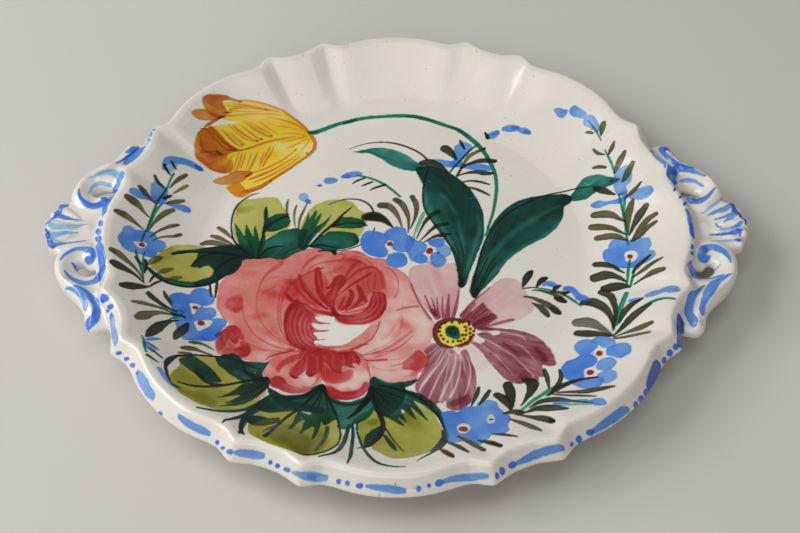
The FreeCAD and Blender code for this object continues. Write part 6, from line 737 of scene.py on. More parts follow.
    ('w', 'yg', [(-15.8,-99.6), (-14,-95.6), (-11.5,-92.7), (-9.6,-91.2), (-5.8,-92.6), (-0.6,-94.5), (3.2,-92.7), (7.1,-85.6), (10,-86.9), (13.2,-90.1), (15.6,-94.1), (17.4,-99.1), (18.5,-104.3), (18.4,-108.5), (17,-113.7), (14.1,-119.4), (10.4,-121.4), (6.7,-122.9), (3.1,-123.6), (-0.6,-123.9), (-4.2,-122.2), (-7.3,-119.5), (-9.8,-116.8), (-10.5,-115.1), (-13.6,-114.2), (-14.9,-108.9), (-15.7,-104.2)], {'pool': 0.06, 'mottle': 0.12, 'tones': [(-10.2, -94.6, 1.1), (-9.8, -98.5, 1.7), (-12.9, -104.6, 1.3), (-14.5, -101.6, 1.3), (-7.3, -118.3, 1.3), (-3.2, -100.4, 1.1), (-0.6, -105.5, 1.2), (5.1, -97.1, 1.8), (1.9, -94.6, 1.9), (8.2, -100.6, 1.6), (11.5, -92.9, 1), (10.3, -88.2, 0.8), (15.8, -100, 1), (14.3, -110.3, 1.1), (16.9, -106.3, 0.9), (8, -113.1, 1.2), (3.7, -119.4, 1.4), (-1.2, -120.5, 1.3), (5, -107.7, 1.1), (-3.7, -119.3, 1.4)]}),
    ('w', 'ygk', [(2.6,-92.7), (5.1,-91.8), (8.3,-94.7), (10.1,-99.7), (7.6,-101.6), (3.8,-99.5), (1.9,-96.5)], {'d': 0.25, 'soft': 1.4, 'pool': 0}),
    ('w', 'ygk', [(-12.1,-97.5), (-8.3,-96.5), (-7.6,-99.4), (-10.7,-101)], {'d': 0.3, 'soft': 1, 'pool': 0}),
    ('w', 'grn2', [(-11.6,-75.8), (-11.1,-73.8), (-9.8,-72.7), (-8.5,-73.4), (-7.1,-75.5), (-4.5,-76.6), (-0.6,-76.8), (4,-75.6), (8.9,-74.5), (7.2,-76.9), (3.6,-79.2), (6.8,-80.8), (11,-82.8), (14.2,-86.2), (16.7,-90.3), (18.9,-95.7), (17.8,-97.1), (15.3,-93.1), (12.2,-89.2), (10.3,-87.4), (7.1,-85.7), (9.3,-89.5), (10.9,-93.1), (12.8,-98.1), (9.6,-94), (5.8,-89), (7,-92.8), (8.1,-97.1), (4.6,-92.9), (1.9,-90.3), (2.9,-94.6), (4.2,-99.1), (1.3,-96), (0.3,-95.1), (3.2,-101.1), (0,-98.9), (-1.9,-97.1), (-5.4,-94.9), (-6.2,-96.5), (-8.3,-92.6), (-9.6,-90.3), (-10.1,-88), (-11,-81.5), (-11.5,-78.2)], {'pool': 0.1, 'rays': 0.3, 'wob': 0.15, 'tones': [(-10.4, -74.6, 0.85), (-8.4, -76.3, 0.75), (-5.8, -79.9, 1.1), (-4.5, -77.5, 0.7), (0.7, -77.5, 0.7), (5.3, -76, 0.85), (2, -80, 1), (-1.3, -82.7, 1), (-5.8, -85.5, 1.2), (-3.2, -88.9, 1.1), (-1.3, -86.4, 0.95), (1.9, -87.2, 0.75), (3.9, -84.8, 0.65), (-3.2, -94.5, 0.8), (0.6, -92.6, 0.75), (3.8, -96.6, 0.9), (7, -92.8, 0.85), (10.8, -94.8, 0.85), (7.1, -83.2, 0.9), (11, -84.9, 0.9), (14.2, -88.3, 0.8), (17.2, -94.2, 0.7), (-8.4, -86.3, 1.15), (-7.7, -91.7, 1.1), (-9.7, -81.5, 1.2)], 'centre': (-10.7, -78.3), 'd': 1.12}),
    ('b', 'grn', [(-10.3,-89.8,0.52), (-11.5,-92.7,1.37), (-14,-95.6,1.95), (-16.2,-97.7,1.49), (-17.7,-99.7,0.89)], {'d': 0.805, 'streak': 0.3, 'soft': 0.1}),
    ('w', 'grn2', [(-13.3,-113.1), (-12.8,-108.8), (-10.7,-104.6), (-8.2,-102), (-6.6,-101), (-6.1,-104.5), (-6.8,-108.7), (-8,-111.9), (-9.9,-114.6), (-11.7,-115.8), (-12.9,-115.2)], {'pool': 0.12, 'tones': [(-11.2, -108.8, 1.1), (-8.2, -104.5, 1), (-11.7, -113.6, 1), (-9, -111.4, 0.9)], 'd': 1.12}),
    ('b', 'blk', [(-10.7,-79.1,1.2), (-11.5,-82.7,1.37), (-13.4,-86.3,1.34), (-16,-90.9,1.03), (-18.5,-94.8,0.68), (-20.5,-96.9,0.27)], {'d': 1.045}),
    ('b', 'blk', [(-10,-82.7,0.59), (-9,-86.7,0.6), (-7.7,-91.7,0.83), (-6.2,-96.5,1.09), (-5.6,-100.4,1.07), (-6.1,-105,1.16), (-7.5,-109.2,1.13), (-9.3,-112.4,0.9), (-11.1,-115.2,0.69), (-13.5,-116.4,0.52), (-15.9,-117.3,0.21)], {'d': 1.045}),
    ('b', 'dkb', [(-5.7,-99.4,0.44), (-3.8,-104.5,0.45), (-1.9,-109.2,0.43), (0,-113.4,0.33), (1.9,-117.2,0.34), (3,-118.8,0.19)], {'d': 0.9, 'cut': 0.8}),
    ('b', 'grn2', [(-5.2,-107.1,0.49), (-3.4,-110.8,0.96), (-1.8,-114.5,1.08), (-0.4,-117.7,0.6)], {'d': 1.12}),
    ('b', 'blk', [(-7.8,-77.5,0.36), (-3.2,-78.5,0.44), (1.3,-80,0.55), (5.9,-82.1,0.62), (10.4,-84.9,0.61), (14.2,-89.2,0.59), (17.2,-95.1,0.6), (18.8,-100.2,0.53), (20,-105.5,0.6), (20.3,-109.7,0.88), (19.5,-113.4,1.08), (17.5,-117.2,1.02), (14.3,-120.5,0.56), (10.9,-123.2,0.36), (7.9,-126,0.15)], {'d': 1.045}),
    ('b', 'grn', [(14.2,-85.7,0.44), (16.7,-89.8,0.76), (18.5,-94.7,0.82), (19.1,-100.2,0.65)], {'d': 0.92, 'soft': 0.1}),
    ('b', 'bld', [(17.6,-93.2,0.49), (18.9,-98.2,0.88), (19.6,-103.3,0.97), (19.8,-105.4,0.51)], {'d': 0.45, 'soft': 0.2}),
    ('b', 'grn2', [(18.7,-105.3,0.38), (19,-109.6,0.77), (17.6,-114.3,1.05), (15.5,-117.6,0.85), (13.4,-119.9,0.3)], {'d': 1.064}),
    ('b', 'blk', [(-9.4,-79.1,0.44), (-5.8,-80.3,0.35), (-1.3,-82.4,0.31), (2.6,-84.5,0.16)], {'d': 0.825}),
    ('b', 'blk', [(-9.7,-79.9,0.41), (-6.5,-83.1,0.33), (-2.9,-87.2,0.15)], {'d': 0.825}),
    ('b', 'blk', [(-10,-81.1,0.45), (-7.7,-85.5,0.32), (-4.8,-89.9,0.15)], {'d': 0.88}),
    ('b', 'blk', [(-10,-82.7,0.3), (-9.2,-86.3,0.23)], {'d': 0.66}),
    ('b', 'grn', [(-16.3,-99.7,0.41), (-16.2,-104.8,0.48), (-15.2,-110,0.51), (-13.5,-116.3,0.64), (-10.9,-122.2,0.74), (-7.8,-126.6,0.73), (-4.2,-128.6,0.54), (-0.6,-129.4,0.4), (3.3,-129.5,0.2)], {'d': 1.15, 'streak': 0.2}),
    ('b', 'br2', [(20.2,-113.7,0.35), (22.2,-115.5,0.58), (25.3,-119.1,0.78), (26.8,-121,0.58)], {'d': 0.9}),
    ('b', 'br2', [(17.5,-118.6,0.29), (19.5,-121.1,0.96), (21.2,-123.4,1.31), (22.1,-124.5,0.76)], {'d': 0.95}),
    ('w', 'mau', [(6.2,-21.3), (5.7,-16.5), (6.8,-11.1), (10.3,-9.1), (16,-8.4), (22.4,-8.5), (27.3,-8.4), (28.8,-13.1), (29,-18), (28.5,-25.1), (27.4,-32.1), (25.2,-41.1), (21.6,-40.9), (18.9,-41), (15.9,-39), (12,-33.2), (8.9,-28.5)], {'pool': 0.05, 'soft': 0.12, 'rays': 0.25, 'pitch': 2.4, 'tones': [(10.9, -14.2, 0.65), (17.7, -15.4, 0.95), (23.2, -13.1, 0.6), (13, -21.4, 0.8), (18.9, -23.8, 0.85), (25.3, -20.3, 0.75), (26.4, -27.4, 1), (21, -30.3, 0.9), (15.2, -29.1, 0.7), (18.5, -38.4, 1.4), (22.6, -37.9, 1.5), (15.5, -36.7, 1.2), (25.2, -37.9, 1.2), (9.4, -24.9, 0.8), (8.1, -17.8, 0.6)], 'centre': (24.9, -49.3)}),
    ('w', 'mau', [(28.3,-39.8), (30.7,-35.1), (34.4,-30.5), (38.2,-27), (42.4,-22.9), (44.8,-20.2), (48.6,-17.8), (54,-18.2), (57,-21.8), (58.3,-25.4), (60.5,-30.7), (61.6,-33), (61.2,-35.9), (59,-38.8), (54.8,-41.6), (49.8,-43.9), (44.4,-45.5), (39.1,-46.7), (34.7,-47.1), (32.1,-43.7)], {'pool': 0.04, 'soft': 0.14, 'rays': 0.2, 'pitch': 2.4, 'tones': [(47, -21.7, 0.7), (53.7, -23, 0.55), (44.4, -28.8, 0.75), (51, -30, 0.55), (57.5, -33.6, 0.6), (51, -38.2, 0.45), (45.6, -39.3, 0.5), (56.3, -38.8, 0.35), (38.1, -29.3, 1), (33.3, -36.3, 1.2), (36.7, -40.9, 1.4), (32.2, -40.9, 1.4), (41.5, -42.7, 0.7), (39.5, -36.3, 0.9), (49.1, -25.3, 0.9), (48.1, -42.7, 0.4)], 'centre': (24.9, -49.3)}),
    ('w', 'mau', [(16.9,-53.7), (20.3,-55.9), (24.7,-57.1), (28.1,-57.1), (31.8,-53.8), (34.4,-53.8), (36.8,-58.3), (40.8,-66), (36.3,-70.3), (34.6,-70.2), (33.1,-64.8), (30.7,-59.3), (28,-61.5), (24.2,-59.3), (20.3,-58.1)], {'d': 0.22, 'soft': 1, 'pool': 0}),
    ('w', 'plm', [(36.4,-47.5), (40,-46.3), (45.2,-46.8), (51.4,-47.7), (56.6,-49), (61.2,-51.3), (64.9,-55.3), (67.1,-59.5), (68.4,-65.3), (68.1,-69.1), (65.4,-69.2), (62.7,-68), (63.3,-72), (62.3,-75.7), (60.6,-75.7), (60.5,-77.9), (57.2,-77.2), (53.7,-78.4), (50.8,-77.9), (47.2,-75.4), (44,-71.4), (40.8,-66.5), (37.6,-61.1), (34.3,-56.6), (32.3,-54.5), (34.4,-54.4), (36.9,-55.5), (38.8,-53.9), (35.8,-50.5), (39,-49.4), (43.3,-50.6), (46,-48.9), (41.7,-47.9)], {'pool': 0.1, 'rays': 0.35, 'pitch': 1.4, 'power': 3.2, 'tones': [(41.7, -47.2, 0.95), (47.8, -48.4, 0.9), (54.3, -50.1, 0.75), (59.8, -53, 0.85), (63.9, -56.4, 0.95), (61.6, -59.1, 1.25), (64.1, -64.6, 1.3), (67.5, -65.1, 0.85), (66.3, -68.8, 0.9), (43.2, -51.7, 1), (50.1, -54, 1), (55.9, -59, 1), (47.3, -57.3, 1.25), (51.4, -61.7, 1.2), (53.7, -67.2, 1.25), (57.3, -64, 0.9), (59.4, -70.7, 0.8), (62.1, -73.1, 0.75), (54.9, -73.2, 1.3), (53.8, -76.8, 1.2), (49.7, -75, 0.85), (45.7, -70.9, 0.8), (41.7, -64.9, 0.75), (38.5, -58.9, 0.75), (35.2, -56.1, 0.9), (46.9, -64.9, 1), (42.9, -58.4, 0.85), (58.9, -76.4, 0.9), (58.8, -67.6, 0.8)], 'centre': (24.9, -48.7), 'd': 1.1}),
    ('w', 'plm', [(14.7,-55.3), (12.2,-59.3), (13,-61.4), (14.3,-64.7), (12.3,-67.9), (10.1,-72.2), (8.2,-76.9), (8.2,-80.6), (9.9,-83.2), (12.4,-84.8), (14.8,-87.7), (16.4,-88.3), (17.7,-86.9), (19.1,-87.8), (20.5,-86.1), (21.3,-90.4), (23.6,-92.1), (26.1,-92.1), (28.7,-90.4), (31.3,-87.5), (33.2,-82.7), (34.1,-76.6), (33.7,-70.2), (32.2,-63.7), (30.1,-58.2), (28.1,-59.3), (27.1,-61.5), (25.5,-59.3), (24.2,-58.2), (20.3,-57.2), (16.9,-54.8)], {'pool': 0.06, 'rays': 0.5, 'pitch': 1.3, 'power': 3.2, 'soft': 0.06, 'tones': [(14.6, -58.1, 0.8), (16.8, -58.1, 0.6), (14.9, -63.6, 0.9), (18, -62.5, 0.75), (12.2, -71.1, 0.65), (10.4, -77.5, 0.7), (13.8, -77.5, 0.8), (16.5, -72.2, 0.75), (12, -82.2, 0.75), (16.2, -84.9, 0.7), (21.8, -64.7, 0.65), (20.8, -72.3, 0.75), (18.8, -81.7, 0.6), (24.4, -66.9, 0.6), (25, -75, 0.7), (27.8, -66.9, 0.9), (29.3, -72.3, 1), (30.8, -80.3, 0.95), (28.9, -85.3, 1.1), (24.6, -87.5, 1.25), (22.8, -89.9, 0.9), (32, -69.7, 0.85), (33, -77.7, 0.8), (27.3, -80.8, 0.8), (21.7, -83.9, 0.5), (27.1, -62.6, 0.35), (29.7, -61.5, 0.8), (23.7, -59.3, 0.5), (20.2, -59.2, 0.6)], 'centre': (25.3, -50.4), 'd': 1.1}),
    ('b', 'wht', [(40.8,-48.4,0.17), (45.6,-48.7,0.45), (51.2,-50,0.45), (55.5,-51.8,0.38), (56.6,-54.6,0.15)], {'d': 0.7, 'cut': 0.85, 'streak': 0.1, 'pool': 0, 'wob': 0.05, 'soft': 0.12}),
    ('b', 'wht', [(36,-51.6,0.22), (40.9,-54.2,0.43), (46.4,-58.4,0.32), (52.1,-63.9,0.31), (56.1,-69.7,0.4), (58.6,-74.7,0.31)], {'d': 0.7, 'cut': 0.85, 'streak': 0.1, 'pool': 0, 'wob': 0.05, 'soft': 0.12}),
    ('b', 'wht', [(49.7,-54,0.16), (54.3,-56.8,0.32), (57.9,-61.2,0.36), (60.4,-65.8,0.15)], {'d': 0.7, 'cut': 0.85, 'streak': 0.1, 'pool': 0, 'wob': 0.05, 'soft': 0.12}),
    ('b', 'wht', [(36.9,-55.5,0.16), (40.7,-58.9,0.26), (45.2,-64.9,0.2), (49.9,-72.7,0.15)], {'d': 0.7, 'cut': 0.85, 'streak': 0.1, 'pool': 0, 'wob': 0.05, 'soft': 0.12}),
    ('b', 'wht', [(22.4,-58.7,0.19), (19.2,-64.7,0.37), (15.2,-71.1,0.56), (11.3,-76.9,0.65), (9.7,-80.4,0.36)], {'d': 0.8, 'cut': 0.85, 'streak': 0.1, 'pool': 0, 'wob': 0.05, 'soft': 0.12}),
    ('b', 'wht', [(23.3,-59.3,0.18), (21.6,-65.8,0.4), (18.6,-72.2,0.45), (15.5,-79.6,0.53), (13.7,-84.3,0.35)], {'d': 0.8, 'cut': 0.85, 'streak': 0.1, 'pool': 0, 'wob': 0.05, 'soft': 0.12}),
    ('b', 'wht', [(25.6,-60.9,0.17), (25.2,-66.9,0.43), (22.9,-73.9,0.53), (20.4,-80.2,0.62), (18.1,-85.5,0.46)], {'d': 0.8, 'cut': 0.85, 'streak': 0.1, 'pool': 0, 'wob': 0.05, 'soft': 0.12}),
    ('b', 'wht', [(28,-61,0.22), (27.3,-69.1,0.3), (25.8,-76.5,0.43), (23,-83.4,0.62), (22.2,-84.5,0.25)], {'d': 0.8, 'cut': 0.85, 'streak': 0.1, 'pool': 0, 'wob': 0.05, 'soft': 0.12}),
    ('b', 'wht', [(30.2,-61,0.18), (31.5,-66.4,0.35), (31.7,-71.8,0.43), (30.2,-79.2,0.39), (28.7,-83.3,0.18)], {'d': 0.8, 'cut': 0.85, 'streak': 0.1, 'pool': 0, 'wob': 0.05, 'soft': 0.12}),
    ('b', 'wht', [(20.3,-58.7,0.14), (18.9,-62.5,0.27), (16.6,-66.8,0.23)], {'d': 0.8, 'cut': 0.85, 'streak': 0.1, 'pool': 0, 'wob': 0.05, 'soft': 0.12}),
    ('b', 'wht', [(18.1,-58.1,0.14), (16.3,-61.4,0.24), (14.7,-63.6,0.19)], {'d': 0.45, 'cut': 0.85, 'streak': 0.1, 'pool': 0, 'wob': 0.05, 'soft': 0.12}),
    ('b', 'wht', [(26.4,-58.2,0.37), (27.4,-61,0.54), (27.5,-63.7,0.17)], {'d': 0.45, 'cut': 0.85, 'streak': 0.1, 'pool': 0, 'wob': 0.05, 'soft': 0.12}),
    ('b', 'wht', [(24.2,-58.7,0.13), (23.6,-64.7,0.22), (21.7,-71.2,0.18)], {'d': 0.45, 'cut': 0.85, 'streak': 0.1, 'pool': 0, 'wob': 0.05, 'soft': 0.12}),
    ('b', 'wht', [(28.9,-59.3,0.09), (29.1,-68,0.17), (28.8,-75.5,0.13)], {'d': 0.45, 'cut': 0.85, 'streak': 0.1, 'pool': 0, 'wob': 0.05, 'soft': 0.12}),
    ('b', 'wht', [(33.4,-77.7,0.13), (33.2,-72.4,0.17)], {'d': 0.45, 'cut': 0.85, 'streak': 0.1, 'pool': 0, 'wob': 0.05, 'soft': 0.12}),
    ('b', 'plm', [(6.7,-20.7,0.19), (8.9,-27.9,0.39), (11.9,-34.9,0.54), (15.2,-41.3,0.74)], {'d': 0.792, 'streak': 0.3, 'soft': 0.08}),
    ('b', 'plm', [(12.9,-27.8,0.29), (14.6,-33.2,0.48), (16.6,-37.8,1.07), (18.1,-40.7,1.18)], {'d': 0.792, 'streak': 0.3, 'soft': 0.08}),
    ('b', 'plm', [(15.8,-28.8,0.23), (16.9,-33.2,0.37), (17.7,-39,0.63)], {'d': 0.792, 'streak': 0.3, 'soft': 0.08}),
    ('b', 'plm', [(18.3,-29.1,0.23), (18.4,-34.4,0.36), (19.2,-40.4,0.63)], {'d': 0.792, 'streak': 0.3, 'soft': 0.08}),
    ('b', 'plm', [(20.8,-28.6,0.27), (20.6,-34.4,0.45), (21.1,-40.5,0.8)], {'d': 0.792, 'streak': 0.3, 'soft': 0.08}),
    ('b', 'plm', [(23.7,-27.1,0.32), (23.2,-33.3,0.72), (22.8,-40.5,1.15)], {'d': 0.792, 'streak': 0.3, 'soft': 0.08}),
    ('b', 'plm', [(28.7,-21.5,0.18), (27.8,-28.6,0.54), (26.6,-35,0.81), (25.1,-40.8,0.77)], {'d': 0.792, 'streak': 0.3, 'soft': 0.08}),
    ('w', 'plm', [(15,-36.4), (16.4,-35.5), (18.2,-36.1), (18.5,-38.4), (17.6,-39.9), (16.3,-39)], {'d': 0.77, 'soft': 0.3}),
    ('w', 'plm', [(28.4,-39.8), (30.6,-36.2), (33.4,-32.8), (35.3,-31.1), (35.5,-32.8), (34.2,-35.1), (33.3,-37.4), (36,-35.1), (39.1,-32.1), (39.7,-33.7), (40.8,-35.6), (42.3,-36.6), (43.1,-38.4), (44.3,-39.2), (44.6,-41), (42.4,-42.7), (40,-44.8), (36.4,-47.1), (34.2,-46.3), (32.6,-43.1), (30.4,-41.7)], {'pool': 0.04, 'rays': 0.8, 'pitch': 1.5, 'soft': 0.06, 'tones': [(30.6, -38.5, 0.8), (34.8, -32.2, 0.6), (35.1, -36.9, 0.6), (37.8, -34.6, 0.7), (39.5, -37.5, 0.75), (42.1, -39.2, 0.8), (37.6, -40.9, 0.95), (34.8, -43.7, 1.2), (38.3, -44.3, 0.8), (32.3, -40.3, 0.95), (36.4, -46.6, 1.3)], 'centre': (24.9, -50.4), 'd': 1.1}),
    ('b', 'plm', [(39.1,-32.1,0.26), (35.1,-36,0.41), (31.4,-40.6,0.4)], {'d': 0.66, 'streak': 0.2, 'soft': 0.05}),
    ('b', 'plm', [(39.8,-33.8,0.32), (36.4,-37,0.47), (33.1,-40.9,0.41)], {'d': 0.66, 'streak': 0.2, 'soft': 0.05}),
    ('b', 'plm', [(40.8,-35.6,0.32), (37.7,-38.6,0.47), (34.4,-42,0.41)], {'d': 0.66, 'streak': 0.2, 'soft': 0.05}),
    ('b', 'plm', [(42.3,-36.7,0.26), (39.4,-39.2,0.47), (35.7,-42.6,0.42)], {'d': 0.66, 'streak': 0.2, 'soft': 0.05}),
    ('b', 'plm', [(43.1,-38.4,0.27), (40.2,-40.6,0.48), (36.6,-43.5,0.42)], {'d': 0.66, 'streak': 0.2, 'soft': 0.05}),
    ('b', 'plm', [(44.2,-39.2,0.32), (41.5,-41.5,0.48), (37.4,-44.3,0.48)], {'d': 0.66, 'streak': 0.2, 'soft': 0.05}),
    ('b', 'plm', [(44.5,-40.9,0.37), (41.9,-42.7,0.54), (37.8,-45.2,0.54)], {'d': 0.66, 'streak': 0.2, 'soft': 0.05}),
    ('b', 'plm', [(42.4,-23.1,0.32), (39.1,-26.5,0.42), (34.8,-31.2,0.46), (31.1,-36,0.55), (28.5,-39.8,0.54)], {'d': 0.66, 'streak': 0.2, 'soft': 0.05}),
    ('b', 'plm', [(51.8,-41.9,0.67), (47.2,-43.2,0.78), (41.8,-45,0.67), (36.4,-46.9,0.55)], {'d': 0.66, 'streak': 0.2, 'soft': 0.05}),
    ('b', 'plm', [(36.2,-47.1,0.79), (39.1,-47.2,1.36), (42.1,-47.5,0.57)], {'d': 0.66, 'streak': 0.2, 'soft': 0.05}),
    ('b', 'plmd', [(35.8,-50.1,0.56), (39,-49.4,0.56), (41.6,-50,0.34)], {'d': 0.5}),
    ('b', 'plmd', [(37,-54.7,0.21), (40.3,-57.8,0.41), (42.8,-61.1,0.25)], {'d': 0.35, 'soft': 0.2}),
    ('b', 'plmd', [(47,-55.1,0.42), (50.7,-59,0.61), (53.1,-62.8,0.3)], {'d': 0.35, 'soft': 0.3}),
    ('b', 'plmd', [(60.7,-58.5,0.72), (63.1,-62,1.27), (64,-65.8,0.73)], {'d': 0.4, 'soft': 0.5}),
    ('b', 'plmd', [(51.9,-74.6,0.86), (56.2,-73.4,1.54), (54.3,-70.7,0.84)], {'d': 0.25, 'soft': 0.5}),
    ('b', 'plmd', [(23.7,-88,1.78), (27.2,-85.8,1.44), (29.8,-83.6,0.53)], {'d': 0.4, 'soft': 0.5}),
    ('b', 'plmd', [(49.1,-72,0.2), (46.7,-68.7,0.3), (45.1,-66,0.2)], {'d': 0.5}),
    ('b', 'plmd', [(29.8,-58.8,0.18), (31.4,-63.7,0.27), (32.9,-69.7,0.18)], {'d': 0.4}),
    ('w', 'cyel', [(18.6,-47), (20.2,-44.4), (23.3,-43.2), (26.9,-43), (28.7,-41.4), (30.4,-43.1), (32.1,-44.7), (33.8,-47.1), (34.1,-49.4), (32.6,-53.8), (29.9,-55.8), (27.3,-57.4), (26.4,-56.3), (22.9,-56.1), (19.9,-53.8), (18.4,-50.4)], {'d': 1, 'cut': 0.9, 'pool': 0.05, 'tones': [(21.5, -45.9, 0.9), (28.6, -44.8, 1), (31, -50.5, 1), (26.5, -54.9, 0.9), (19.6, -49.2, 0.9)]}),
    ('b', 'amb2', [(27.3,-57.4,0.53), (29.9,-55.8,0.84), (32.6,-53.8,0.78), (34.1,-50.5,0.46)], {'d': 0.55, 'soft': 0.15}),
    ('b', 'brk', [(31.5,-42.7,0.8), (28.7,-42.1,1.03), (25.1,-41.7,0.86), (21.6,-42.4,1.22), (18.6,-44.4,1.4), (17.2,-48.1,1.24), (17.4,-52,1.18), (19,-55.1,1.13), (22.1,-56.9,0.82), (24.7,-57.2,0.44)], {'d': 1, 'cut': 0.8, 'wob': 0.16}),
    ('b', 'brk', [(25.5,-56.7,0.33), (28.6,-56,0.86), (31.3,-54.4,0.91), (33.1,-51.6,0.38)], {'d': 0.9, 'wob': 0.25, 'dry': 0.2}),
    ('w', 'brk', [(19.9,-46.1), (19.8,-45.7), (19.5,-45.4), (19.1,-45.4), (18.7,-45.7), (18.6,-46.1), (18.7,-46.6), (19,-46.9), (19.4,-46.9), (19.8,-46.6)], {'d': 0.95, 'wob': 0.1}),
    ('w', 'brk', [(19.6,-48.4), (19.5,-47.9), (19.2,-47.6), (18.8,-47.6), (18.5,-47.9), (18.3,-48.4), (18.4,-48.9), (18.8,-49.1), (19.2,-49.1), (19.5,-48.9)], {'d': 0.95, 'wob': 0.1}),
    ('w', 'brk', [(20.2,-50.7), (20,-50.2), (19.7,-50), (19.3,-50), (19,-50.2), (18.8,-50.7), (19,-51.2), (19.3,-51.4), (19.7,-51.4), (20,-51.2)], {'d': 0.95, 'wob': 0.1}),
    ('w', 'brk', [(21.2,-52.6), (21.1,-52.2), (20.8,-51.9), (20.4,-51.9), (20.1,-52.1), (19.9,-52.6), (20,-53.1), (20.4,-53.3), (20.8,-53.4), (21.1,-53.1)], {'d': 0.95, 'wob': 0.1}),
    ('w', 'brk', [(23.1,-54.2), (23,-53.7), (22.7,-53.4), (22.3,-53.4), (22,-53.7), (21.8,-54.2), (21.9,-54.6), (22.3,-54.9), (22.7,-54.9), (23,-54.6)], {'d': 0.95, 'wob': 0.1}),
    ('w', 'brk', [(25.4,-54), (25.3,-53.6), (25,-53.3), (24.6,-53.3), (24.2,-53.6), (24.1,-54), (24.2,-54.5), (24.5,-54.8), (24.9,-54.8), (25.3,-54.5)], {'d': 0.95, 'wob': 0.1}),
    ('w', 'brk', [(20.7,-44.3), (20.6,-43.8), (20.2,-43.5), (19.8,-43.5), (19.5,-43.8), (19.3,-44.3), (19.5,-44.7), (19.8,-45), (20.2,-45), (20.5,-44.7)], {'d': 0.95, 'wob': 0.1}),
    ('w', 'brk', [(22.1,-43.6), (22,-43.1), (21.7,-42.9), (21.3,-42.8), (20.9,-43.1), (20.8,-43.6), (20.9,-44.1), (21.2,-44.4), (21.6,-44.4), (22,-44.1)], {'d': 0.95, 'wob': 0.1}),
    ('w', 'brk', [(25.3,-43.2), (25.2,-42.7), (24.9,-42.4), (24.5,-42.4), (24.1,-42.7), (24,-43.2), (24.1,-43.6), (24.4,-43.9), (24.8,-43.9), (25.2,-43.7)], {'d': 0.95, 'wob': 0.1}),
    ('w', 'brk', [(28.6,-43.6), (28.5,-43.1), (28.2,-42.8), (27.8,-42.8), (27.4,-43.1), (27.3,-43.5), (27.4,-44), (27.7,-44.3), (28.1,-44.3), (28.5,-44)], {'d': 0.95, 'wob': 0.1}),
    ('w', 'brk', [(30.2,-43.2), (30.1,-42.8), (29.7,-42.5), (29.3,-42.5), (29,-42.8), (28.8,-43.2), (28.9,-43.7), (29.3,-44), (29.7,-44), (30,-43.7)], {'d': 0.95, 'wob': 0.1}),
    ('w', 'brk', [(30.9,-45.8), (30.8,-45.4), (30.4,-45.1), (30,-45.1), (29.7,-45.4), (29.5,-45.8), (29.7,-46.3), (30,-46.6), (30.4,-46.6), (30.7,-46.3)], {'d': 0.95, 'wob': 0.1}),
    ('w', 'brk', [(32.8,-44.7), (32.7,-44.3), (32.3,-44), (31.9,-44), (31.6,-44.3), (31.4,-44.7), (31.5,-45.2), (31.9,-45.5), (32.3,-45.5), (32.6,-45.2)], {'d': 0.95, 'wob': 0.1}),
    ('w', 'brk', [(33.2,-47.1), (33.1,-46.6), (32.8,-46.4), (32.4,-46.4), (32,-46.6), (31.9,-47.1), (32,-47.6), (32.3,-47.9), (32.7,-47.9), (33.1,-47.6)], {'d': 0.95, 'wob': 0.1}),
    ('w', 'brk', [(31.4,-47.9), (31.3,-47.5), (31,-47.2), (30.6,-47.2), (30.2,-47.5), (30.1,-47.9), (30.2,-48.4), (30.5,-48.7), (30.9,-48.7), (31.3,-48.4)], {'d': 0.95, 'wob': 0.1}),
    ('w', 'brk', [(33,-49.5), (32.9,-49), (32.6,-48.7), (32.2,-48.7), (31.8,-49), (31.7,-49.5), (31.8,-49.9), (32.1,-50.2), (32.5,-50.2), (32.9,-49.9)], {'d': 0.95, 'wob': 0.1}),
    ('w', 'brk', [(34.7,-48.4), (34.6,-47.9), (34.3,-47.6), (33.9,-47.6), (33.6,-47.9), (33.4,-48.4), (33.5,-48.8), (33.8,-49.1), (34.2,-49.1), (34.6,-48.8)], {'d': 0.95, 'wob': 0.1}),
    ('w', 'brk', [(34.4,-50.5), (34.3,-50), (34,-49.7), (33.6,-49.7), (33.2,-50), (33.1,-50.5), (33.2,-50.9), (33.5,-51.2), (33.9,-51.2), (34.2,-51)], {'d': 0.95, 'wob': 0.1}),
    ('w', 'brk', [(33.2,-51.6), (33,-51.1), (32.7,-50.9), (32.3,-50.9), (32,-51.1), (31.8,-51.6), (31.9,-52.1), (32.3,-52.3), (32.7,-52.3), (33,-52.1)], {'d': 0.95, 'wob': 0.1}),
    ('w', 'brk', [(32.8,-43.6), (32.7,-43.1), (32.4,-42.8), (32,-42.8), (31.6,-43.1), (31.5,-43.6), (31.6,-44.1), (31.9,-44.3), (32.3,-44.3), (32.7,-44.1)], {'d': 0.95, 'wob': 0.1}),
    ('w', 'brk', [(29.7,-50.5), (29.6,-50), (29.3,-49.7), (28.9,-49.7), (28.5,-50), (28.4,-50.4), (28.5,-50.9), (28.8,-51.2), (29.2,-51.2), (29.5,-50.9)], {'d': 0.95, 'wob': 0.1}),
    ('w', 'brk', [(30.4,-52.7), (30.2,-52.2), (29.9,-52), (29.5,-51.9), (29.2,-52.2), (29,-52.7), (29.1,-53.1), (29.5,-53.4), (29.9,-53.4), (30.2,-53.2)], {'d': 0.95, 'wob': 0.1}),
    ('w', 'brk', [(28.9,-53.9), (28.8,-53.5), (28.5,-53.2), (28.1,-53.2), (27.7,-53.4), (27.6,-53.9), (27.7,-54.4), (28,-54.6), (28.4,-54.6), (28.8,-54.4)], {'d': 0.95, 'wob': 0.1}),
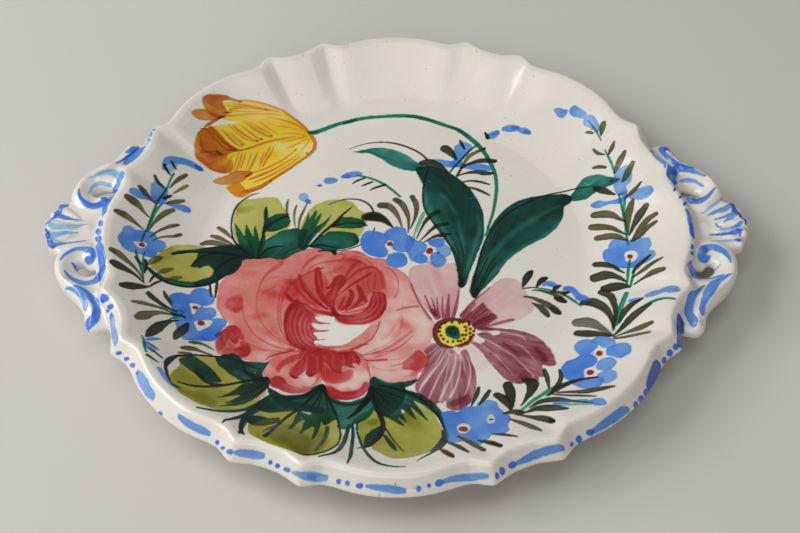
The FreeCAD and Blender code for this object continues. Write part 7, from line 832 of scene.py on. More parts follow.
    ('w', 'brk', [(27.7,-53.8), (27.6,-53.3), (27.3,-53), (26.9,-53), (26.5,-53.3), (26.4,-53.8), (26.5,-54.2), (26.8,-54.5), (27.2,-54.5), (27.5,-54.2)], {'d': 0.95, 'wob': 0.1}),
    ('w', 'brk', [(31.2,-50.5), (31.1,-50), (30.8,-49.7), (30.4,-49.7), (30,-50), (29.9,-50.5), (30,-50.9), (30.3,-51.2), (30.7,-51.2), (31.1,-50.9)], {'d': 0.95, 'wob': 0.1}),
    ('w', 'brk', [(27.6,-46.5), (27.5,-46.2), (27.3,-46), (27.1,-46), (26.8,-46.2), (26.7,-46.5), (26.8,-46.8), (27,-47), (27.3,-47), (27.5,-46.8)], {'d': 0.9, 'wob': 0.1}),
    ('w', 'brk', [(27.5,-48.3), (27.4,-48), (27.2,-47.8), (26.9,-47.8), (26.7,-48), (26.6,-48.3), (26.7,-48.6), (26.9,-48.8), (27.2,-48.8), (27.4,-48.6)], {'d': 0.9, 'wob': 0.1}),
    ('w', 'brk', [(25.9,-45.5), (25.8,-45.2), (25.6,-45), (25.3,-45), (25.1,-45.2), (25,-45.5), (25.1,-45.8), (25.3,-45.9), (25.6,-45.9), (25.8,-45.8)], {'d': 0.9, 'wob': 0.1}),
    ('w', 'brk', [(30.4,-54.6), (30.3,-54.4), (30.1,-54.2), (29.9,-54.2), (29.6,-54.3), (29.5,-54.6), (29.6,-54.9), (29.8,-55.1), (30.1,-55.1), (30.3,-54.9)], {'d': 0.9, 'wob': 0.1}),
    ('w', 'brk', [(28.6,-55.6), (28.6,-55.3), (28.3,-55.1), (28.1,-55.1), (27.9,-55.3), (27.8,-55.6), (27.8,-55.9), (28,-56), (28.3,-56), (28.5,-55.9)], {'d': 0.9, 'wob': 0.1}),
    ('w', 'brk', [(35.1,-47.1), (35,-46.8), (34.8,-46.6), (34.5,-46.6), (34.3,-46.8), (34.2,-47.1), (34.3,-47.4), (34.5,-47.6), (34.8,-47.6), (35,-47.4)], {'d': 0.9, 'wob': 0.1}),
    ('w', 'brk', [(31.6,-46.5), (31.5,-46.2), (31.3,-46), (31,-46), (30.8,-46.2), (30.7,-46.5), (30.8,-46.8), (31,-47), (31.3,-47), (31.5,-46.8)], {'d': 0.9, 'wob': 0.1}),
    ('w', 'gmid', [(21.3,-48.7), (21.7,-46.3), (23.7,-45.2), (25.9,-45.4), (27.4,-47.1), (28,-49.9), (28.1,-51.8), (26.3,-52.7), (23.9,-52), (22.1,-50.8)], {'d': 0.9, 'cut': 0.8}),
    ('w', 'gdk', [(21.9,-48.7), (22.5,-46.7), (24.1,-45.9), (25.9,-46), (26.7,-47.6), (27,-50.4), (25.3,-51.5), (23.3,-50.7)], {'d': 0.55, 'soft': 0.25}),
    ('w', 'blk', [(23.7,-47), (23.6,-46.7), (23.4,-46.5), (23.1,-46.5), (22.8,-46.7), (22.7,-47), (22.8,-47.4), (23,-47.6), (23.3,-47.6), (23.6,-47.4)], {'d': 0.77}),
    ('w', 'blk', [(25.5,-47), (25.4,-46.7), (25.1,-46.5), (24.8,-46.5), (24.5,-46.7), (24.4,-47), (24.5,-47.4), (24.8,-47.6), (25.1,-47.6), (25.4,-47.4)], {'d': 0.77}),
    ('w', 'blk', [(24.6,-49), (24.5,-48.7), (24.2,-48.5), (23.9,-48.5), (23.6,-48.7), (23.5,-49), (23.6,-49.3), (23.8,-49.5), (24.2,-49.5), (24.4,-49.3)], {'d': 0.77}),
    ('w', 'blk', [(26.3,-49.3), (26.2,-49), (26,-48.8), (25.6,-48.8), (25.4,-49), (25.2,-49.3), (25.3,-49.6), (25.6,-49.8), (25.9,-49.8), (26.2,-49.6)], {'d': 0.77}),
    ('w', 'plmd', [(24.3,-59.7), (24.3,-59.4), (24.1,-59.3), (23.8,-59.3), (23.6,-59.4), (23.5,-59.7), (23.6,-60), (23.8,-60.2), (24,-60.2), (24.2,-60)], {'d': 0.6, 'soft': 0.1}),
    ('w', 'plmd', [(41.2,-60.8), (41.2,-60.5), (41,-60.3), (40.7,-60.3), (40.5,-60.5), (40.4,-60.8), (40.5,-61.1), (40.7,-61.3), (40.9,-61.3), (41.1,-61.1)], {'d': 0.6, 'soft': 0.1}),
    ('w', 'plmd', [(17,-33.5), (17,-33.2), (16.8,-33), (16.5,-33), (16.3,-33.2), (16.2,-33.5), (16.3,-33.8), (16.5,-34), (16.8,-34), (17,-33.8)], {'d': 0.6, 'soft': 0.1}),
    ('w', 'gmid', [(-22,65.8), (-18.1,66.4), (-11.9,68.2), (-5.7,68.4), (1.4,65.8), (6.7,61.9), (10.3,58.1), (14.4,54.1), (11.8,52.6), (8.3,51.9), (3.1,53.2), (-2.2,55.8), (-7.4,60.8), (-13.6,64.7), (-18.1,65)], {'d': 0.85, 'pool': 0.1, 'rays': 0.25, 'pitch': 1.5, 'tones': [(-19.8, 65.8, 1.2), (-12.8, 67, 0.95), (-5.7, 65.9, 0.75), (1.4, 63.3, 0.85), (1.4, 58.2, 1.05), (7.5, 55.7, 1.1), (-5.7, 60.8, 1), (10.1, 53.8, 1.3), (6.6, 59.4, 0.8), (-3, 63.3, 1.1)], 'centre': (18.7, 50.6)}),
    ('w', 'gmid', [(9.9,53.9), (16.2,55.2), (22.3,52.8), (28.3,48.6), (34.1,42.1), (38.1,34.6), (40.8,26.2), (41.5,16.9), (40.9,7.8), (37.6,-2.3), (34.2,-12.1), (30.6,-22.6), (28.5,-22.6), (28.1,-16.4), (27.2,-7.7), (25.2,1.2), (21.2,9.1), (17.2,17.2), (14,25.3), (13.1,33.6), (13.6,42.1), (11.6,47.9)], {'d': 1.05, 'pool': 0.12}),
    ('w', 'gdk', [(9.9,53.9), (16.2,55.2), (22.3,52.8), (28.3,48.6), (34.1,42.1), (38.1,34.6), (40.8,26.2), (41.5,16.9), (40.9,7.8), (37.6,-2.3), (34.2,-12.1), (30.6,-22.6), (28.5,-22.6), (28.1,-16.4), (27.2,-7.7), (25.2,1.2), (21.2,9.1), (17.2,17.2), (14,25.3), (13.1,33.6), (13.6,42.1), (11.6,47.9)], {'d': 0.62, 'pool': 0.05, 'rays': 0.35, 'pitch': 2, 'wob': 0.12, 'tones': [(12.7, 51.9, 0.93), (18.7, 50.6, 0.93), (23.9, 48.1, 0.84), (30.6, 40.7, 0.84), (23.7, 38.3, 1.01), (28.6, 31.1, 1.01), (34.6, 31, 0.75), (16.7, 33.6, 0.16), (18.2, 26.5, 0.08), (20.1, 32.4, 0.25), (23.3, 24.1, 0.5), (26.4, 14.8, 0.41), (23, 14.8, 0.16), (29.9, 19.4, 1.09), (34.7, 12.4, 1.09), (38.3, 19.3, 0.58), (40.6, 12.3, 0.41), (37.7, 3.3, 0.33), (27.8, 5.6, 0.25), (29.2, -3.3, 0.41), (33.3, -3.3, 0.67), (30.4, -14.3, 0.5), (33.9, -9.9, 0.25), (15.1, 43.3, 0.67), (14.9, 28.9, 0.08), (29.8, -20.7, 1.01), (24.5, 7.9, 0.41)], 'centre': (29.7, -24.9)}),
    ('w', 'gmid', [(33.2,-26), (34.5,-18.6), (37.7,-6.7), (41.5,5.5), (45.3,15.7), (51.3,25), (57.6,30.6), (65.5,33.7), (74.1,35.1), (81.8,35), (84.2,32.6), (83.6,30.2), (80,26.6), (79.2,21.2), (75.2,13.4), (69.5,7.5), (62.6,3.1), (55.6,-2.5), (50.3,-7.9), (46.7,-14.4), (42.4,-20.3), (38.1,-25.6), (35.4,-29.4), (34.1,-28.7)], {'d': 1.05, 'pool': 0.12}),
    ('w', 'gdk', [(33.2,-26), (34.5,-18.6), (37.7,-6.7), (41.5,5.5), (45.3,15.7), (51.3,25), (57.6,30.6), (65.5,33.7), (74.1,35.1), (81.8,35), (84.2,32.6), (83.6,30.2), (80,26.6), (79.2,21.2), (75.2,13.4), (69.5,7.5), (62.6,3.1), (55.6,-2.5), (50.3,-7.9), (46.7,-14.4), (42.4,-20.3), (38.1,-25.6), (35.4,-29.4), (34.1,-28.7)], {'d': 0.62, 'pool': 0.05, 'rays': 0.35, 'pitch': 2, 'wob': 0.12, 'tones': [(80.8, 32.8, 1.01), (73.8, 30.6, 1.09), (65.1, 28.4, 1.01), (57.2, 24.9, 0.67), (51.8, 19.1, 0.75), (60.3, 19, 1.18), (69, 23.6, 1.09), (76.8, 25.9, 0.93), (75.3, 16.6, 0.16), (68.2, 12.1, 0.25), (63, 9.8, 0.41), (56.1, 5.4, 0.33), (51.2, 7.7, 1.09), (46, 3.2, 1.01), (48.1, 12.3, 0.67), (42.8, 5.5, 0.41), (40.7, -3.4, 0.58), (45.4, -7.9, 0.41), (50.6, -3.5, 0.25), (41.8, -14.4, 0.41), (36.8, -18.6, 0.84), (38.2, -22.9, 0.67), (34.8, -27.1, 1.09), (54.9, 13.3, 1.01), (64.3, 16.7, 0.41), (57.6, 3.1, 0.5)], 'centre': (34.3, -29.2)}),
    ('w', 'gmid', [(82.7,32), (85.7,36.5), (88.1,40.2), (91.7,42.9), (96.6,42.3), (101.3,39.4), (105.9,36.3), (104.4,34.9), (100,33.9), (95.2,32.7), (91.7,30.6), (86.5,29.9), (83.5,30.7)], {'d': 0.9, 'pool': 0.1, 'rays': 0.2, 'pitch': 1.5, 'tones': [(85.1, 33.3, 1.2), (88.9, 40, 0.8), (94, 40.7, 0.75), (98.8, 38.2, 0.85), (103.5, 36.5, 1.3), (90.2, 35.3, 1.05), (95.2, 35, 1.3), (86.5, 30.8, 1.1), (84.1, 31.8, 1.3)], 'centre': (82.4, 31.5)}),
    ('b', 'gdk', [(102.7,36.3,0.53), (104.7,36.3,0.96), (106.1,36.1,0.63)], {'d': 0.8}),
    ('b', 'blk', [(-23,67.6,0.14), (-17.3,70.6,0.21), (-9.3,72.4,0.35), (-2.2,72,0.49), (5.8,68.9,0.55), (12,64.4,0.52), (15.6,59.8,0.49)], {'d': 0.99}),
    ('b', 'blk', [(16.2,54.9,0.35), (14,45.7,0.39), (12.9,36,0.38), (13.6,26.5,0.39), (16.4,19.5,0.37), (20.5,12.8,0.37), (24.4,4.6,0.35), (27.3,-5.5,0.33), (28.8,-14.2,0.37), (29.6,-23,0.41)], {'d': 0.99}),
    ('b', 'blk', [(25.4,9.1,0.15), (28.8,-2.2,0.24), (30.1,-13.2,0.27), (29.7,-22.8,0.27)], {'d': 0.66}),
    ('b', 'blk', [(31.8,-3.3,0.18), (31.6,-13.2,0.27), (29.7,-22.8,0.22)], {'d': 0.66}),
    ('b', 'blk', [(16.6,31.8,0.1), (14.9,27.7,0.15), (13.5,24.2,0.15)], {'d': 0.44}),
    ('b', 'blk', [(94.7,36.6,0.17), (87.1,37.4,0.3), (78.5,36.5,0.39), (69.8,33.9,0.44), (60.9,29,0.49), (52,22,0.45), (44.8,12.3,0.46), (40.1,1,0.43), (37.3,-10,0.41), (35.2,-20.7,0.45), (34.4,-28.7,0.35)], {'d': 1.012}),
    ('b', 'blk', [(45.7,-4.9,0.2), (41.9,-12.2,0.29), (38.3,-20.8,0.28), (34.9,-28.7,0.33)], {'d': 0.825}),
    ('b', 'blk', [(34.7,-18.6,0.27), (33.8,-22.9,0.31), (33.3,-25.5,0.27)], {'d': 0.77}),
    ('b', 'grn', [(10.1,52.5,0.59), (11.7,48.2,0.77), (13.4,43.3,0.76)], {'d': 0.46}),
    ('b', 'wht', [(35.5,32.8,0.23), (37.2,33.6,0.35), (39.4,34.6,0.23)], {'d': 0.5, 'cut': 0.85, 'streak': 0.1, 'pool': 0, 'wob': 0.05, 'soft': 0.12}),
    ('b', 'wht', [(90.6,39.6,0.19), (92.1,38.1,0.43), (94.2,38.5,0.21)], {'d': 0.5, 'cut': 0.85, 'streak': 0.1, 'pool': 0, 'wob': 0.05, 'soft': 0.12}),
    ('b', 'wht', [(15.6,45.5,0.22), (16.7,44.2,0.33)], {'d': 0.5, 'cut': 0.85, 'streak': 0.1, 'pool': 0, 'wob': 0.05, 'soft': 0.12}),
    ('b', 'blu', [(18.2,59.2,0.93), (21.7,58.1,1.85), (26.6,56.5,2.33), (30.4,56.7,2.33)], {'d': 1.007}),
    ('b', 'blu', [(31.2,55.5,1.4), (36.9,54.8,2.02), (42.8,54,2.32), (45.8,53.4,1.39)], {'d': 1.06}),
    ('w', 'blu', [(28.2,64.2), (29.6,69.3), (32.5,71.9), (36.1,71.6), (37.9,69), (36.2,64.2), (33,59.8), (31.1,55.4), (27.6,54.8), (26.1,56.7), (28.8,60.4)], {'pool': 0.12, 'tones': [(32.4, 69.3, 0.8), (35.9, 68, 0.8), (29.5, 61.7, 1), (28.5, 56.7, 1.3)], 'd': 1.06}),
    ('b', 'teal', [(25.5,49.5,0.41), (28.4,54.2,0.52), (33,61,0.53), (37.7,67.3,0.56), (41.2,70.5,0.47)], {'d': 1.21}),
    ('b', 'grn2', [(28.4,54.2,0.42), (33,61,0.53), (36.8,66.4,0.43)], {'d': 0.672}),
    ('b', 'olk', [(24.6,67.5,2.54), (27.2,64.5,2), (29.7,60.1,0.64)], {'d': 1.035, 'streak': 0.2, 'pool': 0.3, 'end': 0.25}),
    ('b', 'olk', [(32.1,73.2,0.5), (32.9,70.6,0.89), (34,67.2,0.49)], {'d': 1.035, 'streak': 0.2, 'pool': 0.3, 'end': 0.25}),
    ('b', 'olk', [(44.7,78.3,0.45), (45.7,74.7,0.73)], {'d': 1.035, 'streak': 0.2, 'pool': 0.3, 'end': 0.25}),
    ('b', 'ol', [(30,47.8,0.37), (32.4,54.8,0.68), (36.6,62.3,1), (43.9,67.4,0.84)], {'d': 1.188, 'streak': 0.2, 'pool': 0.3, 'end': 0.25}),
    ('b', 'old', [(12.7,57.3,1.55), (16.2,57.6,2.64), (20,56,2.25), (23.2,53.3,1.28), (25.6,50.6,0.56)], {'d': 1.092, 'streak': 0.2, 'pool': 0.3, 'end': 0.25}),
    ('b', 'old', [(29.3,48.2,0.25), (32.5,54,0.54), (37,57.2,0.9), (42.5,58.8,1.56), (48.5,58.5,1.33)], {'d': 1.092, 'streak': 0.2, 'pool': 0.3, 'end': 0.25}),
    ('b', 'old', [(30.1,48.4,0.3), (34,50.1,0.61), (38.9,51,1.23), (43.2,50.1,1.54), (47.1,50,0.85)], {'d': 1.092, 'streak': 0.2, 'pool': 0.3, 'end': 0.25}),
    ('b', 'old', [(32.1,44.2,0.3), (36.5,44.9,0.61), (40.8,44.2,0.76), (45.3,42.4,0.37)], {'d': 1.092, 'streak': 0.2, 'pool': 0.3, 'end': 0.25}),
    ('b', 'old', [(32.8,41,0.3), (37.4,39.8,0.67), (41,37.9,0.8), (45.2,34.9,0.36)], {'d': 1.092, 'streak': 0.2, 'pool': 0.3, 'end': 0.25}),
    ('b', 'blu', [(-26,48.3,0.76), (-24,48.9,1.82), (-21.3,49.7,2.06), (-18.6,50.2,1.69), (-16.8,50.5,0.61)], {'d': 1.007}),
    ('b', 'bld', [(-25.6,48.3,0.61), (-23.9,48.7,1.07), (-22.3,48.8,0.61)], {'d': 0.3, 'soft': 0.2}),
    ('b', 'teal', [(-18.8,49.3,0.53), (-15.3,48.3,0.6), (-10.9,46.4,0.66), (-5.5,42.9,0.71), (-1.8,39.1,0.67), (2,34.6,0.53)], {'d': 1.045}),
    ('b', 'old', [(-20.9,43.6,0.29), (-18.5,45.7,0.59), (-15,47.4,0.52)], {'d': 1.092, 'streak': 0.2, 'pool': 0.3, 'end': 0.25}),
    ('b', 'old', [(-16.4,41.9,0.29), (-14.1,43.3,0.59), (-11.5,44.6,0.45)], {'d': 1.092, 'streak': 0.2, 'pool': 0.3, 'end': 0.25}),
    ('b', 'old', [(-12.5,39.1,0.29), (-9.3,41,0.66), (-5.1,42.7,0.67)], {'d': 1.092, 'streak': 0.2, 'pool': 0.3, 'end': 0.25}),
    ('b', 'olk', [(-13.6,20.9,1.74), (-10.7,21.2,2.6), (-7,20,1.94), (-3.9,17.1,0.98), (-1.3,14.2,0.32)], {'d': 1.035, 'streak': 0.2, 'pool': 0.3, 'end': 0.25}),
    ('b', 'ol', [(-7.2,28.9,1.91), (-3.9,28.5,1.97), (-0.7,25,1.48), (1.4,19.9,0.79), (2.8,14.6,0.33)], {'d': 1.25, 'streak': 0.2, 'pool': 0.3, 'end': 0.25}),
    ('b', 'ol', [(-0.1,32.5,1.5), (2.5,30.1,1.64), (4.8,24.9,1.36), (6,19.1,0.74), (5.6,10.9,0.26)], {'d': 1.25, 'streak': 0.2, 'pool': 0.3, 'end': 0.25}),
    ('b', 'ol', [(7.9,34.3,1.28), (9.5,30,1.42), (9.7,24.2,1.06), (8.4,18.4,0.55), (6.6,13.4,0.23)], {'d': 1.25, 'streak': 0.2, 'pool': 0.3, 'end': 0.25}),
    ('b', 'olk', [(-7.2,28.9,1.62), (-5.5,28.7,1.62)], {'d': 0.253, 'streak': 0.2, 'pool': 0.3, 'end': 0.25, 'soft': 0.3}),
    ('b', 'olk', [(-0.1,32.5,1.38), (1.4,31.2,1.38)], {'d': 0.253, 'streak': 0.2, 'pool': 0.3, 'end': 0.25, 'soft': 0.3}),
    ('b', 'olk', [(7.9,34.5,1.03), (8.6,32.3,0.91)], {'d': 0.253, 'streak': 0.2, 'pool': 0.3, 'end': 0.25, 'soft': 0.3}),
    ('b', 'tealp', [(13.1,24.1,0.51), (10.9,18.4,0.51), (9.2,12.6,0.38), (7.8,4.8,0.21)], {'d': 1.1}),
    ('b', 'teal', [(13.8,23,0.23), (11.6,17.6,0.22), (9.7,11.2,0.16)], {'d': 0.77}),
    ('b', 'old', [(20,24.4,1.17), (17.2,22.5,1.25), (14,18.3,0.91), (11.8,13.3,0.45), (9.6,7.3,0.22)], {'d': 1.15, 'streak': 0.2, 'pool': 0.3, 'end': 0.25, 'cut': 0.3}),
    ('b', 'old', [(24,16.4,1.07), (19.7,15.4,1.18), (16.5,12.6,0.77), (13.3,8.4,0.37), (10.7,5.1,0.19)], {'d': 1.15, 'streak': 0.2, 'pool': 0.3, 'end': 0.25, 'cut': 0.3}),
    ('b', 'old', [(25.4,10,0.56), (21.6,9.3,1.19), (17.9,8.3,0.82), (14.8,6.2,0.4), (12.4,4.4,0.2)], {'d': 1.15, 'streak': 0.2, 'pool': 0.3, 'end': 0.25, 'cut': 0.3}),
    ('w', 'blu', [(-16.3,8.6), (-13.8,12.2), (-10.1,12.3), (-6.5,11), (-3.8,9.2), (-3.2,7.1), (-4.5,5), (-5.3,2.9), (-4.2,0.8), (-3.7,-1.9), (-5.4,-4.4), (-8.5,-4.5), (-12.6,-2.7), (-15.7,0.8), (-16.6,4.6)], {'d': 1.219, 'pool': 0.14, 'mottle': 0.12}),
    ('w', 'blu', [(-5.4,11), (-2.3,14), (1.3,14.9), (4.5,13.5), (5.1,9.8), (9.1,7), (8,2.8), (4.9,-1), (1.8,-1.2), (-1.3,0.3), (-2.2,2.8), (-0.8,4.8), (-3.3,6.3)], {'d': 1.073, 'pool': 0.14, 'mottle': 0.12}),
    ('w', 'blu', [(-4.7,-6.7), (-3.9,-3.3), (-1.3,-1.6), (2.3,-1.6), (4.9,-4), (5.2,-7.5), (3.4,-10.2), (0.2,-10.9), (-3.3,-10)], {'d': 1.219, 'pool': 0.14, 'mottle': 0.12}),
    ('w', 'blu', [(5,8.1), (9.1,6.3), (12.2,5.2), (14.1,3.4), (13.8,-0), (12.2,-2.5), (10.2,-3.3), (8.5,-6.9), (6.9,-6.3), (5.4,-2.7), (4.5,0)], {'d': 1.024, 'pool': 0.14, 'mottle': 0.12}),
    ('w', 'blu', [(8.1,-6.2), (9.5,-3.5), (12.1,-2.4), (14.2,-4.2), (14.2,-6.9), (11.5,-8.4), (9.2,-8)], {'d': 1.17, 'pool': 0.14, 'mottle': 0.12}),
    ('w', 'blu', [(14.7,5), (17.9,7), (21.8,7.1), (22.5,4), (20.4,1.6), (17.3,1.9)], {'d': 1.17, 'pool': 0.14, 'mottle': 0.12}),
    ('w', 'blu', [(18.3,1.3), (22,3.7), (25.5,-0.2), (24.6,-3.6), (21.8,-4.6), (19.3,-2.2)], {'d': 0.731, 'pool': 0.14, 'mottle': 0.12}),
    ('w', 'blu', [(15.5,-6.3), (16.6,-2.1), (19.3,-1.6), (22.4,-4.3), (23,-7.7), (20.1,-10.5), (17.6,-10.2)], {'d': 0.975, 'pool': 0.14, 'mottle': 0.12}),
    ('w', 'red', [(-1.6,3.9), (-1.9,4.7), (-2.6,5.2), (-3.5,5.2), (-4.2,4.7), (-4.4,3.9), (-4.2,3.1), (-3.5,2.6), (-2.6,2.5), (-1.9,3)], {'d': 1}),
    ('w', 'red', [(17,0.4), (16.3,1.1), (15.4,1.1), (14.4,0.4), (13.9,-0.7), (14,-1.8), (14.6,-2.5), (15.6,-2.5), (16.5,-1.8), (17.1,-0.7)], {'d': 1}),
    ('w', 'bld', [(17.1,-4.8), (17,-4.4), (16.8,-4.2), (16.5,-4.2), (16.3,-4.4), (16.2,-4.8), (16.3,-5.1), (16.5,-5.3), (16.8,-5.3), (17,-5.1)], {'d': 0.8}),
    ('w', 'bld', [(20,-1.8), (19.9,-1.5), (19.7,-1.3), (19.4,-1.3), (19.2,-1.5), (19.1,-1.8), (19.1,-2.2), (19.4,-2.4), (19.7,-2.4), (19.9,-2.2)], {'d': 0.8}),
    ('b', 'teal', [(6.3,9.1,0.22), (7,7,0.28), (7.8,4.8,0.17)], {'d': 0.44}),
    ('b', 'plm', [(14.5,-7.6,0.67), (16.6,-8.3,0.67)], {'d': 0.33, 'soft': 0.4}),
    ('w', 'blu', [(86.2,82.2), (88.7,83.7), (91.5,81.3), (94.4,76.7), (93.8,75.1), (90.5,76.7), (87.3,78.9)], {'d': 0.975, 'pool': 0.14, 'tones': [(87.8, 81.7, 1.1), (90.7, 79.1, 0.75), (93.5, 76.1, 0.6)]}),
    ('w', 'blu', [(92.5,74.4), (95,76.5), (97.8,74.3), (99.4,69.5), (99.9,65.9), (97.9,65.5), (95.2,68.8), (92.8,71.7)], {'d': 0.975, 'pool': 0.14, 'tones': [(94.8, 74.4, 0.75), (97.6, 70.9, 0.85), (98.8, 66.7, 1), (95.3, 70, 0.7)]}),
    ('w', 'blu', [(78.9,84.6), (81.2,84.6), (83.4,83.4), (85.4,82.4), (85.1,80.8), (83.1,79), (81.6,79.3), (80.2,81.3)], {'d': 0.975, 'pool': 0.14, 'tones': [(80.3, 83, 0.8), (83.3, 82.2, 1.2), (83.2, 80.5, 0.9)]}),
    ('w', 'blu', [(104.1,39.5), (107,42.1), (110.5,42), (112.2,38.2), (111.6,33.9), (109.1,31.2), (109,27.5), (107.6,26), (105,27.9), (103.6,32.3)], {'d': 0.975, 'pool': 0.14, 'tones': [(108.2, 39.8, 0.65), (110.8, 36.9, 0.7), (105.7, 35.3, 0.85), (107.2, 29.1, 1), (106, 31.4, 0.6)]}),
    ('w', 'blu', [(109.5,23.4), (112.5,27), (116.8,27.2), (119.8,25.8), (119.9,22.4), (116.9,20.1), (112.7,21.3)], {'d': 0.975, 'pool': 0.14, 'tones': [(111.7, 24.6, 0.8), (118, 25.6, 0.7), (119, 22.3, 1), (113.6, 22.8, 0.75)]}),
    ('w', 'blu', [(92.3,25.7), (95.7,27.9), (100.5,25.7), (105.5,25.3), (109.1,26.6), (108.5,24), (105.2,22.4), (100.4,23.6), (95.3,23)], {'d': 0.975, 'pool': 0.14, 'tones': [(94.8, 25.8, 1.15), (99.7, 24.8, 0.9), (106.8, 24.6, 1.2), (97, 26.1, 0.8)]}),
    ('w', 'blu', [(97.5,68.3), (99.6,68.4), (100,65.4), (98.3,65.4)], {'d': 0.636}),
    ('b', 'bld', [(105.4,28,0.56), (107.1,27.8,0.84), (108.5,27.7,0.47)], {'d': 0.4, 'soft': 0.1}),
    ('w', 'blu', [(97.9,-0.6), (99.7,2.3), (103.8,2), (107.7,-0.1), (112.4,-0.8), (115.7,-2.8), (116.1,-7.1), (114.6,-9.4), (116.7,-11.1), (116.6,-14.7), (114,-16.8), (110.4,-17.5), (107.7,-18.2), (103.8,-17.2), (99.9,-15.1), (96.9,-11.6), (94.7,-7.6), (95.5,-3.4), (98,-2.1)], {'pool': 0.12, 'tones': [(100.2, 0.2, 0.8), (104.3, -0.3, 0.75), (110.8, -2.8, 0.8), (114.7, -4.5, 0.7), (113.6, -7.9, 0.7), (115, -12.5, 0.7), (110.8, -14.6, 1), (107.9, -16.5, 1.2), (104, -14.9, 1.05), (99.1, -10.3, 0.95), (97.5, -5.9, 1), (102.3, -5.5, 1.15), (101.3, -9, 1.2), (105.2, -4.5, 1), (111.5, -9, 0.8), (109.3, -4.2, 0.9)], 'd': 1.06}),
    ('w', 'wht', [(104.7,-7.3), (107,-7), (109,-8.3), (110,-11.3), (108.4,-13.5), (106.2,-14), (104.3,-12.1)], {'d': 1, 'cut': 1, 'pool': 0, 'soft': 0.1}),
    ('w', 'red', [(107.4,-10.6), (107.2,-9.7), (106.6,-9.2), (105.9,-9.1), (105.3,-9.5), (105,-10.3), (105.3,-11.1), (105.9,-11.7), (106.6,-11.8), (107.2,-11.4)], {'d': 1}),
    ('b', 'blu', [(75.9,-24,0.93), (78.2,-24.2,1.65), (80.4,-26.7,1.3), (82,-28.9,1.9), (83.9,-30.7,1.78), (85.7,-32.4,0.71)], {'d': 0.848, 'streak': 0.2}),
    ('b', 'blu', [(122.3,-40.1,1.26), (120.6,-38.6,2.46), (118.2,-37.4,2.01), (115.6,-37.8,1.42), (113,-37.8,2.04), (110.3,-38.1,1.41)], {'d': 0.901, 'streak': 0.2}),
    ('b', 'blu', [(122.1,-40.5,0.59), (121.5,-39,1.01)], {'d': 0.424}),
    ('b', 'blu', [(103.1,-38.4,1), (105.7,-39.1,1.42), (108.1,-38.9,0.61)], {'d': 0.954}),
    ('b', 'teal', [(94.6,73.6,0.27), (97,68.2,0.54), (99.9,60.5,0.2)], {'d': 0.935, 'streak': 0.35, 'soft': 0.05}),
    ('b', 'teal', [(101.4,55.3,0.34), (102.6,50,0.48), (103.7,45.1,0.48), (104.4,39.9,0.34)], {'d': 0.935, 'streak': 0.35, 'soft': 0.05}),
    ('b', 'teal', [(105.3,28,0.34), (105.9,20.3,0.54), (106.5,12.4,0.54), (106.5,2.8,0.54), (106.4,-3.2,0.27)], {'d': 0.935, 'streak': 0.35, 'soft': 0.05}),
    ('b', 'teal', [(107.9,24.4,0.53), (106.8,19,0.67), (106.1,13.6,0.44)], {'d': 0.935, 'streak': 0.35, 'soft': 0.05}),
    ('b', 'teal', [(106,-12.7,0.52), (104.6,-19.1,0.65), (103.3,-26.9,0.42)], {'d': 0.935, 'streak': 0.35, 'soft': 0.05}),
    ('b', 'teal', [(107.2,-20.2,0.46), (105.7,-24.6,0.61), (104.3,-29.3,0.38)], {'d': 0.935, 'streak': 0.35, 'soft': 0.05}),
    ('b', 'teal', [(102.3,-32.4,0.96), (100.1,-37.7,1.18), (97.8,-44,0.97), (96,-51.2,0.36)], {'d': 0.935, 'streak': 0.35, 'soft': 0.05}),
    ('b', 'teal', [(120.4,-45.4,0.48), (116.1,-43.4,0.7), (111.6,-43.3,0.92), (107.6,-44.6,0.6)], {'d': 0.935, 'streak': 0.35, 'soft': 0.05}),
    ('b', 'teal', [(73.1,-26.5,0.46), (76.4,-28.4,0.63), (79.7,-31.2,0.53), (82.5,-34.7,0.34)], {'d': 0.935, 'streak': 0.35, 'soft': 0.05}),
    ('b', 'tealp', [(101,-50.4,0.38), (98,-53.4,0.55), (94.6,-57.3,0.37)], {'d': 0.9}),
    ('b', 'gdk', [(94.8,73.2,0.2), (96.7,69.1,0.4), (98.6,65,0.27)], {'d': 0.6}),
    ('b', 'ol', [(93.5,67.3,0.65), (95.1,66.5,0.8), (96.3,65.5,0.47)], {'d': 1.312, 'streak': 0.2, 'pool': 0.3, 'end': 0.25}),
    ('b', 'ol', [(101.5,69,1.21), (100.8,66.4,1.37), (100,63.1,0.4)], {'d': 1.312, 'streak': 0.2, 'pool': 0.3, 'end': 0.25}),
    ('b', 'ol', [(105.9,58.2,0.51), (104.3,54.7,1.1), (102.8,51.9,0.43)], {'d': 1.312, 'streak': 0.2, 'pool': 0.3, 'end': 0.25}),
    ('b', 'ol', [(96.1,57.1,0.59), (97.9,54.8,0.78), (100.8,52.8,0.4)], {'d': 1.312, 'streak': 0.2, 'pool': 0.3, 'end': 0.25}),
    ('b', 'ol', [(95.5,47,0.8), (98,46.4,1.04), (100.6,44.9,0.68)], {'d': 1.312, 'streak': 0.2, 'pool': 0.3, 'end': 0.25}),
    ('b', 'ol', [(109.8,49.9,0.86), (107.7,46.3,1.62), (105.7,42.5,1.19), (104.3,39.9,0.34)], {'d': 1.312, 'streak': 0.2, 'pool': 0.3, 'end': 0.25}),
    ('b', 'ol', [(112.8,42.4,1.04), (110.6,38.8,1.64), (108.5,35.5,1.06), (107.4,34.4,0.36)], {'d': 1.312, 'streak': 0.2, 'pool': 0.3, 'end': 0.25}),
    ('b', 'ol', [(115.5,31,0.54), (112.7,27.9,1.18), (109.7,25.4,1.03), (107.7,24.3,0.38)], {'d': 1.312, 'streak': 0.2, 'pool': 0.3, 'end': 0.25}),
